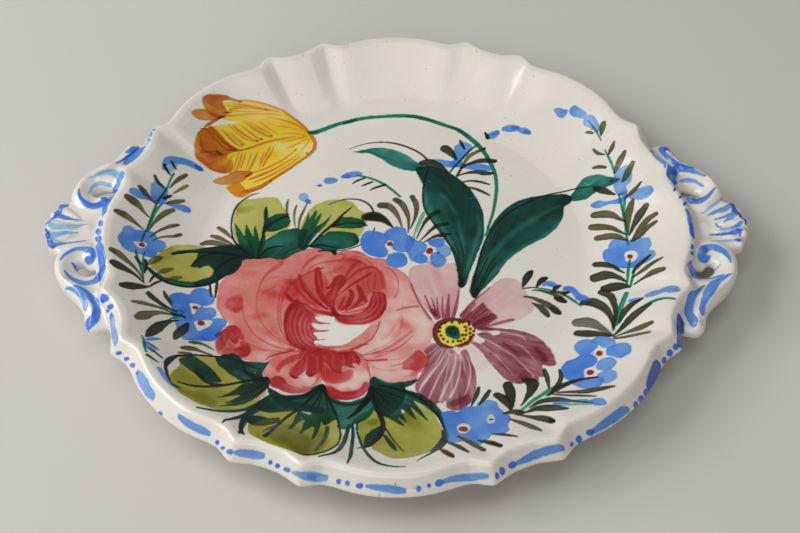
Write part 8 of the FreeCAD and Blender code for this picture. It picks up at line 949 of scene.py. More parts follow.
    ('b', 'ol', [(111.1,22,0.66), (109.4,18,1.66), (107.8,11.9,1.47), (107.1,3.3,0.28)], {'d': 1.312, 'streak': 0.2, 'pool': 0.3, 'end': 0.25}),
    ('b', 'ol', [(119.9,10.1,1.15), (116.2,8.4,1.59), (112.3,4.3,1.35), (108.1,-1.5,0.44)], {'d': 1.312, 'streak': 0.2, 'pool': 0.3, 'end': 0.25}),
    ('b', 'ol', [(119.4,5.7,0.96), (115.7,3.9,1.32), (112.6,0.8,1.03), (109.1,-1.6,0.38)], {'d': 1.312, 'streak': 0.2, 'pool': 0.3, 'end': 0.25}),
    ('b', 'ol', [(93.6,19.5,1.9), (97.8,18.8,2.15), (101.8,16.5,1.56), (104.3,13.7,0.82), (106.6,11.2,0.32)], {'d': 1.312, 'streak': 0.2, 'pool': 0.3, 'end': 0.25}),
    ('b', 'ol', [(91.9,12.6,1.81), (95.7,11.6,1.88), (99.8,10,1.42), (103,7,0.84), (106.1,3.7,0.33)], {'d': 1.312, 'streak': 0.2, 'pool': 0.3, 'end': 0.25}),
    ('b', 'ol', [(93.7,5.3,1.64), (97.9,5.1,1.92), (102,3.9,1.54), (106.2,0.1,0.43)], {'d': 1.312, 'streak': 0.2, 'pool': 0.3, 'end': 0.25}),
    ('b', 'ol', [(119.2,-17.5,0.5), (114.9,-19,1.07), (110.6,-21.6,1.07), (106.3,-24,0.39)], {'d': 1.312, 'streak': 0.2, 'pool': 0.3, 'end': 0.25}),
    ('b', 'ol', [(118.2,-25,1.4), (114.8,-24.9,1.69), (110.7,-26.2,0.8), (106.1,-28.1,0.39)], {'d': 1.312, 'streak': 0.2, 'pool': 0.3, 'end': 0.25}),
    ('b', 'ol', [(109.3,-55.8,1.03), (105.3,-56.4,1.56), (100.7,-57.1,1.13), (96.1,-58.4,0.51), (93.6,-59.3,0.4)], {'d': 1.312, 'streak': 0.2, 'pool': 0.3, 'end': 0.25}),
    ('b', 'ol', [(107.9,-61.1,0.72), (103.4,-60.9,1.15), (98.3,-60.9,0.93), (93.9,-60.2,0.51)], {'d': 1.312, 'streak': 0.2, 'pool': 0.3, 'end': 0.25}),
    ('b', 'ol', [(69.6,-25.8,0.56), (72.4,-26.2,0.74), (75.2,-26.2,0.56)], {'d': 1.312, 'streak': 0.2, 'pool': 0.3, 'end': 0.25}),
    ('b', 'old', [(95.3,35.1,1.19), (97.7,33.4,1.7), (101,30.9,1.19), (103.8,28.7,0.42)], {'d': 1.092, 'streak': 0.2, 'pool': 0.3, 'end': 0.25}),
    ('b', 'old', [(116.2,16.3,1.43), (113.2,12.6,2.04), (110.8,8.8,1.36), (107.7,2.7,0.34)], {'d': 1.092, 'streak': 0.2, 'pool': 0.3, 'end': 0.25}),
    ('b', 'old', [(91.4,-10.6,1.54), (94.8,-11.5,1.6), (98.7,-14.1,1.06), (101,-17.4,0.66), (102.8,-19.8,0.33)], {'d': 1.092, 'streak': 0.2, 'pool': 0.3, 'end': 0.25}),
    ('b', 'old', [(90.3,-18.7,2.52), (94.1,-18.2,2.72), (98,-19.8,1.67), (101.1,-22.9,0.86), (103.2,-25.8,0.33)], {'d': 1.092, 'streak': 0.2, 'pool': 0.3, 'end': 0.25}),
    ('b', 'old', [(93.5,-26.1,1.76), (97.3,-26.6,2.66), (101.2,-27.4,1.75), (103.6,-28.6,0.67)], {'d': 1.092, 'streak': 0.2, 'pool': 0.3, 'end': 0.25}),
    ('b', 'old', [(92.2,-28.3,1.76), (95.3,-31.4,1.73), (96.4,-37.4,1.37), (96.3,-43.4,0.94), (94.5,-53.1,0.35)], {'d': 1.092, 'streak': 0.2, 'pool': 0.3, 'end': 0.25}),
    ('b', 'old', [(83.3,-32.9,1.32), (87.1,-33.2,2.46), (90.8,-36.6,2.17), (93.5,-42.5,1.41), (94.3,-48.9,0.64), (94,-54.2,0.26)], {'d': 1.092, 'streak': 0.2, 'pool': 0.3, 'end': 0.25}),
    ('b', 'old', [(114.8,-13.2,0.57), (111.3,-15.9,1.04), (108.3,-18.6,1.01), (106,-21.4,0.36)], {'d': 1.092, 'streak': 0.2, 'pool': 0.3, 'end': 0.25}),
    ('b', 'old', [(108.1,-39.3,0.5), (103.5,-41,1.45), (99.8,-44.7,1.5), (97,-50.3,0.33)], {'d': 1.092, 'streak': 0.2, 'pool': 0.3, 'end': 0.25}),
    ('b', 'old', [(110.3,-44.4,0.91), (105.3,-47,1.86), (100.2,-51.1,1.62), (95.8,-55.7,0.74), (93.3,-58.5,0.37)], {'d': 1.092, 'streak': 0.2, 'pool': 0.3, 'end': 0.25}),
    ('b', 'old', [(79.3,-51.3,1.76), (83.7,-52.8,2.23), (88.1,-54.6,1.56), (92.3,-57.6,0.77)], {'d': 1.092, 'streak': 0.2, 'pool': 0.3, 'end': 0.25}),
    ('b', 'old', [(71.4,-29.7,0.91), (73.4,-30.6,1.64), (75.5,-31.6,1.09)], {'d': 1.092, 'streak': 0.2, 'pool': 0.3, 'end': 0.25}),
    ('b', 'olk', [(80,-44.6,2.52), (83.8,-45.3,2.96), (88.1,-48.9,1.95), (91.4,-54.1,1.15), (93.4,-58.2,0.48)], {'d': 0.575, 'streak': 0.2, 'pool': 0.3, 'end': 0.25}),
    ('w', 'bld', [(87.2,-33.5), (87.1,-32.8), (86.5,-32.3), (85.8,-32.1), (85.1,-32.4), (84.8,-33), (85,-33.7), (85.6,-34.3), (86.3,-34.4), (86.9,-34.2)], {'d': 0.6, 'soft': 0.2}),
    ('w', 'blu', [(76.9,-60.2), (79.2,-56.4), (82.9,-56.3), (86.2,-59.3), (86.4,-62.7), (84.3,-64.8), (81.1,-66.9), (78.1,-64.2)], {'d': 0.954, 'pool': 0.14, 'mottle': 0.12}),
    ('w', 'blu', [(84.4,-57.5), (87.7,-55.8), (91.1,-57.6), (93.6,-61.8), (93.2,-65.1), (90.2,-65.1), (87,-61.9)], {'d': 0.848, 'pool': 0.14, 'mottle': 0.12}),
    ('w', 'blu', [(79.2,-62.6), (82.2,-61.8), (84.7,-64), (83.7,-67.2), (80.4,-67.7)], {'d': 0.477, 'pool': 0.14, 'mottle': 0.12}),
    ('w', 'blu', [(89.6,-65.9), (93.2,-64.1), (96.7,-64.5), (99.3,-67.6), (98.3,-72.1), (94.8,-73.6), (91.7,-71.5), (89.4,-68.7)], {'d': 1.007, 'pool': 0.14, 'mottle': 0.12}),
    ('w', 'blu', [(70.3,-71.6), (72.6,-68.2), (76.3,-67.1), (78.9,-65.2), (83.5,-66.8), (85.3,-70), (83.7,-74.3), (79.8,-75.5), (78.8,-80.5), (75.1,-82.8), (72,-79.7), (70.1,-76.3)], {'d': 1.272, 'pool': 0.14, 'mottle': 0.12}),
    ('w', 'blu', [(84.8,-72.9), (88.3,-70.8), (92.1,-72.7), (92.3,-76.5), (89,-79.4), (85,-77.9)], {'d': 0.848, 'pool': 0.14, 'mottle': 0.12}),
    ('w', 'blu', [(84,-80.5), (88.4,-78.9), (91.5,-81), (91.4,-85.1), (88.4,-87.8), (85,-86.9)], {'d': 0.795, 'pool': 0.14, 'mottle': 0.12}),
    ('w', 'blu', [(72.8,-81.7), (77.7,-80.8), (82.8,-81.7), (86.1,-84.3), (84.3,-88.7), (80.1,-89.6), (75.8,-86.7)], {'d': 1.007, 'pool': 0.14, 'mottle': 0.12}),
    ('w', 'wht', [(79.6,-75.9), (81.8,-75.7), (83.9,-77.4), (83.6,-80.2), (81.1,-81.3), (79.3,-79.7)], {'d': 0.9, 'cut': 1, 'pool': 0, 'soft': 0.15}),
    ('w', 'wht', [(84.9,-64.8), (87.3,-64.4), (89.4,-66.1), (88.7,-69.3), (86.1,-69.5), (84.7,-67.4)], {'d': 0.9, 'cut': 1, 'pool': 0, 'soft': 0.15}),
    ('w', 'red', [(88,-67.7), (87.9,-66.5), (87.3,-65.7), (86.4,-65.4), (85.7,-65.8), (85.3,-66.7), (85.4,-67.9), (86,-68.7), (86.9,-69), (87.6,-68.6)], {'d': 1}),
    ('w', 'red', [(83,-78.1), (82.7,-77.1), (82,-76.4), (81,-76.3), (80.2,-77), (79.9,-78), (80.2,-79.1), (80.9,-79.8), (81.9,-79.8), (82.7,-79.2)], {'d': 1}),
    ('w', 'blu', [(18.6,-93.5), (22.3,-92.2), (25.9,-92.9), (28.4,-89.9), (33.1,-90.4), (34.5,-87.7), (38.1,-86.6), (41.6,-88.4), (43.1,-93.5), (45.8,-97.8), (46.9,-101.9), (45.4,-105.7), (45.3,-110.7), (42.2,-112.3), (38.9,-111.2), (36.4,-114.1), (32.8,-116.8), (29.6,-113.3), (24.9,-115), (20.9,-114.6), (20.5,-108.1), (19.6,-102.2), (19.1,-97.4)], {'pool': 0.12, 'tones': [(21, -94.8, 1.15), (25.8, -95.2, 1.25), (23.1, -102.5, 1.2), (22.2, -112.2, 0.95), (27.2, -114.8, 1), (30.8, -112.3, 1.2), (29.4, -93.7, 1.05), (33.4, -95.9, 1), (38, -89.1, 0.75), (41.3, -93.2, 1), (33.1, -101.7, 0.85), (43.1, -101.2, 1.15), (39.1, -108.5, 1.1), (43.6, -109.3, 0.9), (35.4, -111.9, 0.8), (31.5, -99.5, 0.9), (36.4, -96.3, 0.7), (41.6, -105.9, 1.2)], 'd': 1.06}),
    ('w', 'blu', [(19.1,-108), (21.7,-110.2), (23.2,-114.4), (20.9,-114.9), (20,-112)], {'d': 0.318, 'soft': 0.4}),
    ('w', 'wht', [(24.6,-103.8), (26.4,-101.4), (29.7,-101.8), (30.2,-105.2), (28.1,-108.1), (25.7,-107.8)], {'d': 1, 'cut': 1, 'pool': 0, 'soft': 0.12}),
    ('w', 'wht', [(37.4,-98.6), (39.3,-96.9), (40.4,-99.8), (39.8,-102.9), (37.7,-103.1)], {'d': 0.8, 'cut': 1, 'pool': 0, 'soft': 0.2}),
    ('w', 'red', [(29.3,-105.4), (29,-104.3), (28.1,-103.5), (26.9,-103.3), (25.9,-103.9), (25.5,-105), (25.9,-106.1), (26.7,-106.9), (27.9,-107), (28.8,-106.4)], {'d': 1}),
    ('w', 'red', [(39.7,-100.7), (39.5,-100.1), (39.1,-99.7), (38.6,-99.7), (38.1,-99.9), (37.9,-100.4), (38.1,-100.9), (38.5,-101.3), (39,-101.4), (39.5,-101.2)], {'d': 1}),
    ('b', 'teal', [(49.8,-97.4,0.62), (55.5,-92.1,1), (61.2,-87.6,1.19), (65.6,-84.6,1.41), (69.9,-82.8,1.14), (74.4,-81.4,0.66)], {'d': 0.77, 'streak': 0.5}),
    ('b', 'tealp', [(54.5,-96.6,0.48), (59.7,-96.4,0.89), (66.6,-97.2,0.87), (74.9,-98.8,0.78), (82.6,-100.7,0.46)], {'d': 0.9, 'streak': 0.4}),
    ('b', 'grn', [(66.1,-85.2,0.56), (70.4,-82.9,0.84), (74.1,-81.3,0.66)], {'d': 0.805}),
    ('b', 'olk', [(62.8,-88.9,0.64), (67.9,-85.2,1.11), (72.8,-82.6,1.13), (77.6,-81.6,0.87), (83.7,-82.2,0.48)], {'d': 0.977, 'streak': 0.2, 'pool': 0.3, 'end': 0.25}),
    ('b', 'old', [(35,-79.2,0.68), (33.8,-83.3,0.96), (31.3,-89.9,0.27)], {'d': 1.092, 'streak': 0.2, 'pool': 0.3, 'end': 0.25}),
    ('b', 'old', [(39.4,-81.1,0.77), (37.6,-84.5,1.09), (34.6,-89.7,0.3)], {'d': 1.092, 'streak': 0.2, 'pool': 0.3, 'end': 0.25}),
    ('b', 'old', [(63.3,-71.2,0.74), (64,-76.6,1.02), (64,-84.5,0.29)], {'d': 1.092, 'streak': 0.2, 'pool': 0.3, 'end': 0.25}),
    ('b', 'old', [(69.5,-72.4,0.47), (69.6,-77.9,0.93), (67.5,-83.1,1.17), (63.6,-88.8,0.49)], {'d': 1.092, 'streak': 0.2, 'pool': 0.3, 'end': 0.25}),
    ('b', 'old', [(89.4,-90.8,0.57), (84.5,-90.7,1.46), (78.8,-90.5,1.49), (72.7,-89,0.87), (67,-87.7,0.48)], {'d': 1.092, 'streak': 0.2, 'pool': 0.3, 'end': 0.25}),
    ('b', 'old', [(81.5,-95.1,0.38), (76.2,-92.9,0.69), (70.7,-90.9,0.67), (65.2,-88.6,0.47)], {'d': 1.092, 'streak': 0.2, 'pool': 0.3, 'end': 0.25}),
    ('b', 'old', [(55.2,-94.8,0.47), (60.1,-92.5,1.44), (65.9,-92.7,1.86), (71.4,-95.3,0.98), (79.5,-99,0.47)], {'d': 1.092, 'streak': 0.2, 'pool': 0.3, 'end': 0.25}),
    ('b', 'old', [(53,-97.5,0.48), (58,-96.6,1.67), (63.6,-98.4,2.12), (69.3,-100.6,0.79)], {'d': 1.092, 'streak': 0.2, 'pool': 0.3, 'end': 0.25}),
    ('b', 'old', [(44.4,-97.2,0.59), (49.2,-96.6,1.86), (51.5,-97.5,1.44)], {'d': 1.092, 'streak': 0.2, 'pool': 0.3, 'end': 0.25}),
    ('b', 'old', [(49.1,-98.6,0.48), (54.7,-101.1,1.06), (59.6,-103.8,1.83), (62.8,-107,1.38)], {'d': 1.092, 'streak': 0.2, 'pool': 0.3, 'end': 0.25}),
    ('b', 'old', [(46.5,-101.9,0.46), (50.8,-105.3,1.38), (55,-109.3,1.58), (58,-112.2,0.45)], {'d': 1.092, 'streak': 0.2, 'pool': 0.3, 'end': 0.25}),
    ('b', 'old', [(38.9,-111.1,0.39), (43.3,-112.8,0.9), (48.1,-115.1,0.39)], {'d': 1.092, 'streak': 0.2, 'pool': 0.3, 'end': 0.25}),
    ('b', 'old', [(33,-113.4,0.38), (37.4,-116.3,1.25), (41.2,-119.8,1.01)], {'d': 1.092, 'streak': 0.2, 'pool': 0.3, 'end': 0.25}),
    ('b', 'old', [(24.8,-110.3,0.55), (29,-114.5,1.36), (34.4,-120.5,1.17)], {'d': 1.092, 'streak': 0.2, 'pool': 0.3, 'end': 0.25}),
    ('b', 'old', [(20.3,-113.9,0.46), (24.2,-117.5,1.22), (28.3,-122.3,0.62)], {'d': 1.092, 'streak': 0.2, 'pool': 0.3, 'end': 0.25}),
    ('b', 'br2', [(16.8,-117.8,0.45), (19.5,-121.3,1.34), (22.2,-124.9,0.86)], {'d': 0.7, 'streak': 0.2, 'pool': 0.3, 'end': 0.25}),
    ('b', 'br2', [(37.4,-116.3,0.76), (41.1,-119.6,0.93)], {'d': 0.7, 'streak': 0.2, 'pool': 0.3, 'end': 0.25}),
    ('b', 'br2', [(62.2,-106.1,0.89), (62.9,-107,0.89)], {'d': 0.7, 'streak': 0.2, 'pool': 0.3, 'end': 0.25}),
    ('b', 'olk', [(47.3,-78.4,2.12), (48,-83,2.29), (48.1,-88.6,1.53), (47.9,-92.4,0.95), (47.4,-95.3,0.31)], {'d': 1.092}),
    ('b', 'olk', [(42.4,-84.1,1.63), (44.7,-86.7,2.11), (46.4,-91.2,1.34), (47.1,-95.1,0.31)], {'d': 1.035}),
    ('w', 'olk', [(53.2,-75.8), (56.3,-75.2), (59.5,-77), (60.2,-80.5), (58.5,-84.9), (55.2,-89), (51.5,-93.2), (53.5,-87.7), (55.1,-82.3), (54.8,-78.8)], {'pool': 0.14, 'd': 1.15, 'tones': [(56.7, -77.1, 1.1), (58.9, -80.2, 0.85), (56.1, -84.4, 0.8), (53.3, -89.6, 0.8)]}),
    ('b', 'ygk', [(59.2,-79.8,0.56), (57.7,-83.3,0.91), (55.3,-87.1,0.63)], {'d': 0.2, 'soft': 0.3}),
    ('b', 'blu', [(65,-95.3,0.78), (67.9,-95.5,1.75), (71,-95.8,0.8)], {'d': 0.954}),
    ('b', 'blu', [(73.7,-95.6,0.59), (76.9,-96.9,1.06), (79.7,-98.7,0.56)], {'d': 0.848}),
    ('b', 'blu', [(79.6,-98.3,1.34), (82.2,-99.1,2.46), (84.2,-100.2,1.04)], {'d': 0.901}),
    ('b', 'blu', [(66.6,-22.1,0.67), (68.7,-20.7,1.35), (71,-21.9,1.58), (72.4,-22.6,0.79)], {'d': 1.007}),
    ('b', 'bld', [(68.6,-21.9,0.64), (70.4,-22.1,0.64)], {'d': 0.25, 'soft': 0.2}),
    ('b', 'blu', [(75.7,-25,0.52), (77.3,-24,1.26), (79.2,-24.4,1.41), (80.9,-26.2,1.19), (82.2,-28,0.8)], {'d': 0.954}),
    ('b', 'blu', [(81.4,-30,1), (82.9,-29.5,1.53), (84.6,-30.6,1.73), (86,-31.5,0.71)], {'d': 0.954}),
    ('b', 'teal', [(57.1,-23.9,0.35), (59.4,-23.6,0.43), (61.8,-23.3,0.44), (64.2,-23.7,0.4), (67.2,-24.4,0.44), (70.1,-25.3,0.43), (73,-26.7,0.39), (75.9,-28.5,0.35), (78.6,-30.9,0.3), (80.8,-33.1,0.22), (82.3,-34.9,0.11)], {'d': 1.045}),
    ('b', 'olk', [(57.1,-23.4,0.19), (58.1,-20.6,1.13), (59.5,-17.4,1.73), (61.1,-14.6,1.4), (62,-13.4,0.63)], {'d': 1.092, 'streak': 0.2, 'pool': 0.3, 'end': 0.25}),
    ('b', 'olk', [(63.3,-23.3,0.26), (64.7,-20.9,1.06), (66.4,-18.8,1.43), (68,-17.8,1), (68.8,-17.7,0.32)], {'d': 1.092, 'streak': 0.2, 'pool': 0.3, 'end': 0.25}),
    ('b', 'olk', [(70.8,-25.7,0.39), (71.9,-23.9,1.09), (73.3,-22.8,0.89), (74.6,-22.3,0.27)], {'d': 1.092, 'streak': 0.2, 'pool': 0.3, 'end': 0.25}),
    ('b', 'olk', [(75,-28.1,0.34), (76.1,-26.9,0.86), (77.4,-26.3,0.7), (78.1,-26.4,0.2)], {'d': 1.092, 'streak': 0.2, 'pool': 0.3, 'end': 0.25}),
    ('b', 'ol', [(61.3,-25,0.24), (64.1,-25,0.48), (67.6,-26.1,0.79), (71.1,-27.7,1.08), (73.9,-30,1.36), (75.6,-31.7,0.75)], {'d': 1.375, 'streak': 0.2, 'pool': 0.3, 'end': 0.25}),
    ('b', 'ol', [(57.4,-28.7,0.39), (60.2,-29.1,0.7), (63.1,-30.5,1.08), (66.6,-32.7,1.52), (69.4,-35.1,1.71), (71.5,-37.4,1.76), (72.8,-38.6,0.74)], {'d': 1.375, 'streak': 0.2, 'pool': 0.3, 'end': 0.25}),
    ('b', 'old', [(60.8,-32.3,0.3), (62.3,-33.4,0.83), (64.3,-35,1.46), (66.2,-37.7,1.68), (67.4,-40,0.83)], {'d': 1.035, 'streak': 0.2, 'pool': 0.3, 'end': 0.25}),
    ('b', 'olk', [(69.3,-35.4,1.09), (71,-37.4,1.47), (72.5,-38.7,0.67)], {'d': 0.575, 'streak': 0.2, 'pool': 0.3, 'end': 0.25, 'soft': 0.3}),
    ('b', 'blu', [(46.1,75.5,1.15), (48.3,76.3,2.07), (50.7,77.6,1.42)], {'d': 1.007}),
    ('b', 'bld', [(48.3,76.6,0.71), (50.5,77.5,0.83)], {'d': 0.35, 'soft': 0.1}),
    ('b', 'olk', [(45,77.8,0.65), (45.7,76.3,0.96), (46.3,74.6,0.73)], {'d': 1.035}),
    ('b', 'blu', [(54.2,79.2,1.27), (57.2,79,1.96), (60.6,78.4,1.5)], {'d': 0.954}),
    ('b', 'bld', [(58.9,78.9,1.04), (61.1,78.6,0.81)], {'d': 0.35, 'soft': 0.1}),
    ('b', 'blu', [(61.8,77.5,1.11), (63.9,76.5,1.76), (66.1,75.1,1.29)], {'d': 0.954}),
    ('b', 'bld', [(64.7,75.9,1.01), (66.4,75.1,0.87)], {'d': 0.35, 'soft': 0.1}),
    ('b', 'blu', [(-32.8,45.6,2.19), (-31,45.8,2.06), (-29.6,45.8,1.37)], {'d': 0.954}),
    ('b', 'old', [(-106.2,-65.4,0.23), (-103.4,-66.6,0.35), (-100.4,-68.9,0.29)], {'d': 1.035, 'streak': 0.2, 'pool': 0.3, 'end': 0.25}),
    ('b', 'old', [(-104.5,-69.1,0.23), (-101.8,-70.6,0.46), (-98.4,-73.1,0.35)], {'d': 1.035, 'streak': 0.2, 'pool': 0.3, 'end': 0.25}),
    ('b', 'old', [(-104.3,-73.6,0.63), (-102.2,-74.8,0.58), (-99.5,-76.5,0.23)], {'d': 1.035, 'streak': 0.2, 'pool': 0.3, 'end': 0.25}),
    ('b', 'teal', [(43.4,14.6,0.51), (42.8,11.7,0.51), (41.9,8.7,0.43)], {'d': 0.99}),
    ('b', 'grn2', [(-53.2,-82.2,1.23), (-50.4,-85.5,2.05), (-45,-89.7,2.84), (-38.5,-91.3,2.52), (-32,-92.1,1.98)], {'d': 1.008}),
    ('b', 'grn', [(-52.3,-4.6,1.03), (-49.6,-1.6,1.59), (-46,0.5,1.38), (-42.5,1.3,0.83)], {'d': 1.035}),
    ('b', 'wht', [(-45,-33.3,0.32), (-46.7,-38.5,0.41), (-47,-44,0.44), (-45.9,-49.4,0.44), (-43.8,-54,0.36), (-41,-57.4,0.21)], {'d': 0.375, 'cut': 0.9, 'soft': 0.5, 'pool': 0}),
    ('b', 'wht', [(-43,-34.7,0.27), (-44.7,-39.9,0.41), (-44.9,-45.3,0.48), (-43.6,-50.7,0.44), (-41.1,-55,0.38), (-37.7,-57.4,0.23)], {'d': 0.425, 'cut': 0.9, 'soft': 0.5, 'pool': 0}),
    ('b', 'wht', [(-41.2,-37.5,0.26), (-42.5,-42,0.5), (-42.5,-46.7,0.58), (-41,-51.5,0.56), (-38.4,-54.8,0.45), (-34.8,-56.4,0.23)], {'d': 0.5, 'cut': 0.9, 'soft': 0.5, 'pool': 0}),
    ('b', 'wht', [(-39.8,-40.2,0.25), (-40.5,-44,0.49), (-40.3,-47.8,0.58), (-38.9,-51.6,0.52), (-36.1,-54,0.39)], {'d': 0.5, 'cut': 0.9, 'soft': 0.5, 'pool': 0}),
    ('b', 'wht', [(-38.6,-42.7,0.24), (-38.7,-45.7,0.43), (-37.8,-49.2,0.46), (-35.6,-52.1,0.27)], {'d': 0.5, 'cut': 0.9, 'soft': 0.5, 'pool': 0}),
    ('b', 'wht', [(-46.1,-35.8,0.21), (-48.1,-42.6,0.25), (-47.9,-48,0.24), (-45.7,-53.6,0.2)], {'d': 0.3125, 'cut': 0.9, 'soft': 0.5, 'pool': 0}),
    ('b', 'wht', [(-6.7,-27.3,0.3), (-6.2,-32,0.4), (-7.7,-36.7,0.44), (-10.8,-40.2,0.48), (-15.3,-42.1,0.37), (-19.5,-42.6,0.25)], {'d': 0.4, 'cut': 0.9, 'soft': 0.5, 'pool': 0}),
    ('b', 'wht', [(-8.6,-27.3,0.25), (-8.1,-31.7,0.4), (-9.6,-35.6,0.51), (-12.8,-38.6,0.49), (-17,-40.5,0.38), (-21.6,-40.7,0.25)], {'d': 0.45, 'cut': 0.9, 'soft': 0.5, 'pool': 0}),
    ('b', 'wht', [(-10.3,-28.4,0.25), (-10.1,-31.7,0.4), (-11.5,-35,0.45), (-14.3,-37.5,0.43), (-18.5,-38.8,0.31)], {'d': 0.425, 'cut': 0.9, 'soft': 0.5, 'pool': 0}),
    ('b', 'wht', [(-42.7,-17.3,0.21), (-40.1,-23.6,0.26), (-36.6,-29.8,0.27)], {'d': 0.375, 'cut': 0.9, 'soft': 0.5, 'pool': 0}),
    ('b', 'wht', [(-35.9,-13.3,0.2), (-35,-19.4,0.3), (-32.6,-26.5,0.25)], {'d': 0.4, 'cut': 0.9, 'soft': 0.5, 'pool': 0}),
    ('b', 'wht', [(-25.8,-17.7,0.21), (-27.6,-23.7,0.36), (-28.3,-29,0.25)], {'d': 0.4, 'cut': 0.9, 'soft': 0.5, 'pool': 0}),
    ('b', 'wht', [(-42.7,-61.3,0.2), (-43.9,-65.7,0.36), (-45.5,-70.3,0.25)], {'d': 0.375, 'cut': 0.9, 'soft': 0.5, 'pool': 0}),
    ('b', 'wht', [(-38.7,-61.6,0.19), (-38.9,-66.5,0.39), (-39.8,-70.6,0.34)], {'d': 0.4, 'cut': 0.9, 'soft': 0.5, 'pool': 0}),
    ('b', 'wht', [(-34.6,-61.9,0.19), (-34,-66.8,0.38), (-34.5,-70.4,0.24)], {'d': 0.4, 'cut': 0.9, 'soft': 0.5, 'pool': 0}),
    ('b', 'wht', [(-27.4,-60.9,0.19), (-27.7,-64.8,0.33), (-26.6,-68.1,0.24)], {'d': 0.375, 'cut': 0.9, 'soft': 0.5, 'pool': 0}),
    ('b', 'wht', [(-23.3,-60.4,0.19), (-22.8,-64.3,0.33), (-22.9,-67.4,0.24)], {'d': 0.4, 'cut': 0.9, 'soft': 0.5, 'pool': 0}),
    ('b', 'wht', [(-19.1,-61,0.19), (-18.2,-64.3,0.33), (-18.6,-66.9,0.24)], {'d': 0.375, 'cut': 0.9, 'soft': 0.5, 'pool': 0}),
    ('b', 'wht', [(-51.5,-73.6,0.23), (-48.2,-77.1,0.39), (-43.1,-79,0.32), (-38,-79.6,0.25)], {'d': 0.35, 'cut': 0.9, 'soft': 0.5, 'pool': 0}),
    ('b', 'wht', [(-27.2,-81,0.23), (-22.7,-83.1,0.35), (-17.7,-82.9,0.29), (-13.7,-80.1,0.22)], {'d': 0.35, 'cut': 0.9, 'soft': 0.5, 'pool': 0}),
    ('b', 'wht', [(-75.8,-49.6,0.2), (-74,-55.3,0.38), (-70.9,-58.9,0.3)], {'d': 0.375, 'cut': 0.9, 'soft': 0.5, 'pool': 0}),
    ('b', 'wht', [(-72.8,-47.9,0.2), (-71.4,-52,0.32), (-68,-56,0.28)], {'d': 0.35, 'cut': 0.9, 'soft': 0.5, 'pool': 0}),
    ('b', 'crmd', [(-46.1,-31.9,0.12), (-48.6,-38.5,0.16), (-49.1,-45.3,0.15), (-47.2,-52.7,0.1)], {'d': 0.6, 'soft': 0.4}),
    ('b', 'crmd', [(-5.4,-27.8,0.11), (-4.7,-32.9,0.15), (-6.4,-37.8,0.13)], {'d': 0.6, 'soft': 0.4}),
    ('b', 'crmd', [(-40.1,-78,0.11), (-36,-78.7,0.1)], {'d': 0.6, 'soft': 0.4}),
    ('b', 'crmd', [(-45.6,-33.9,0.09), (-44.2,-31.9,0.1), (-41.9,-31.7,0.08)], {'d': 0.6, 'soft': 0.4}),
    ('b', 'wht', [(-5.7,-48.4,2.27), (-0.5,-52.4,3.45), (5.8,-49.8,2.62)], {'d': 0.22, 'cut': 0.9, 'soft': 1.6, 'pool': 0}),
    ('b', 'wht', [(-8.8,-64.2,1.53), (-2.6,-66.3,2.58), (5.7,-64.3,2.06)], {'d': 0.28, 'cut': 0.9, 'soft': 1.6, 'pool': 0}),
    ('b', 'wht', [(2.7,-39,1.86), (8,-41.8,2.72), (11,-48.5,1.82)], {'d': 0.2, 'cut': 0.9, 'soft': 1.6, 'pool': 0}),
    ('b', 'wht', [(-62.4,-47.9,1.41), (-58.7,-51.9,2.41), (-54.6,-54.6,1.73)], {'d': 0.24, 'cut': 0.9, 'soft': 1.6, 'pool': 0}),
    ('b', 'wht', [(-69,-28.7,1.32), (-65.8,-35.6,1.71), (-64.2,-43.8,1.26)], {'d': 0.14, 'cut': 0.9, 'soft': 1.6, 'pool': 0}),
    ('b', 'wht', [(-0.4,-25.1,1.2), (2.7,-30.7,1.67)], {'d': 0.16, 'cut': 0.9, 'soft': 1.6, 'pool': 0}),
    ('b', 'old', [(-14.4,21.2,2.21), (-12.1,21.7,3), (-9.7,21.6,3.07), (-6.5,20,2.1), (-3.7,17.5,1.09), (-1.5,14.7,0.29)], {'d': 0.977, 'pool': 0.2}),
    ('b', 'olk', [(-13.9,21.2,1.55), (-11.7,21.4,2.22), (-9.7,21.2,1.77)], {'d': 0.575, 'soft': 0.5}),
    ('b', 'grn2', [(-54.4,-80.3,0.57), (-49.7,-83.9,0.73), (-44.7,-85,0.91), (-39.7,-84.6,0.88), (-34.8,-82.2,0.66), (-32.3,-79.5,0.48)], {'d': 1.064, 'pool': 0}),
    ('b', 'grn2', [(-30.4,-82.1,0.49), (-27.1,-85.8,0.66), (-22.6,-87.7,0.87), (-17.6,-87.3,0.8), (-12.6,-83.8,0.58), (-10.5,-78.7,0.43)], {'d': 1.064, 'pool': 0}),
    ('b', 'pnk', [(-47,-57.6,0.51), (-44,-58.5,0.78), (-40.3,-58.2,0.66)], {'d': 0.9, 'pool': 0}),
    ('b', 'pnk', [(-12.9,-65.4,0.31), (-11.6,-70.6,0.41), (-11.1,-74.1,0.41)], {'d': 0.6, 'pool': 0}),
    ('b', 'wht', [(14,40.1,0.53), (14.7,30.4,1.37), (18.5,19.6,1.82), (23.5,9,1.62), (27.1,-0.2,0.99), (28.9,-9.2,0.43)], {'d': 0.3, 'cut': 0.9, 'soft': 0.9, 'pool': 0}),
    ('b', 'wht', [(21.6,36.4,0.63), (26.6,27.8,0.97), (29.7,15.9,1.07), (31,4.3,1.03), (31,-7,0.67), (30.2,-15.8,0.33)], {'d': 0.26, 'cut': 0.9, 'soft': 0.9, 'pool': 0}),
    ('b', 'wht', [(38.7,21.8,0.44), (39.2,13.5,0.94), (37.1,4.3,1.3), (33.6,-7,0.95), (31.2,-15.8,0.42)], {'d': 0.34, 'cut': 0.9, 'soft': 0.9, 'pool': 0}),
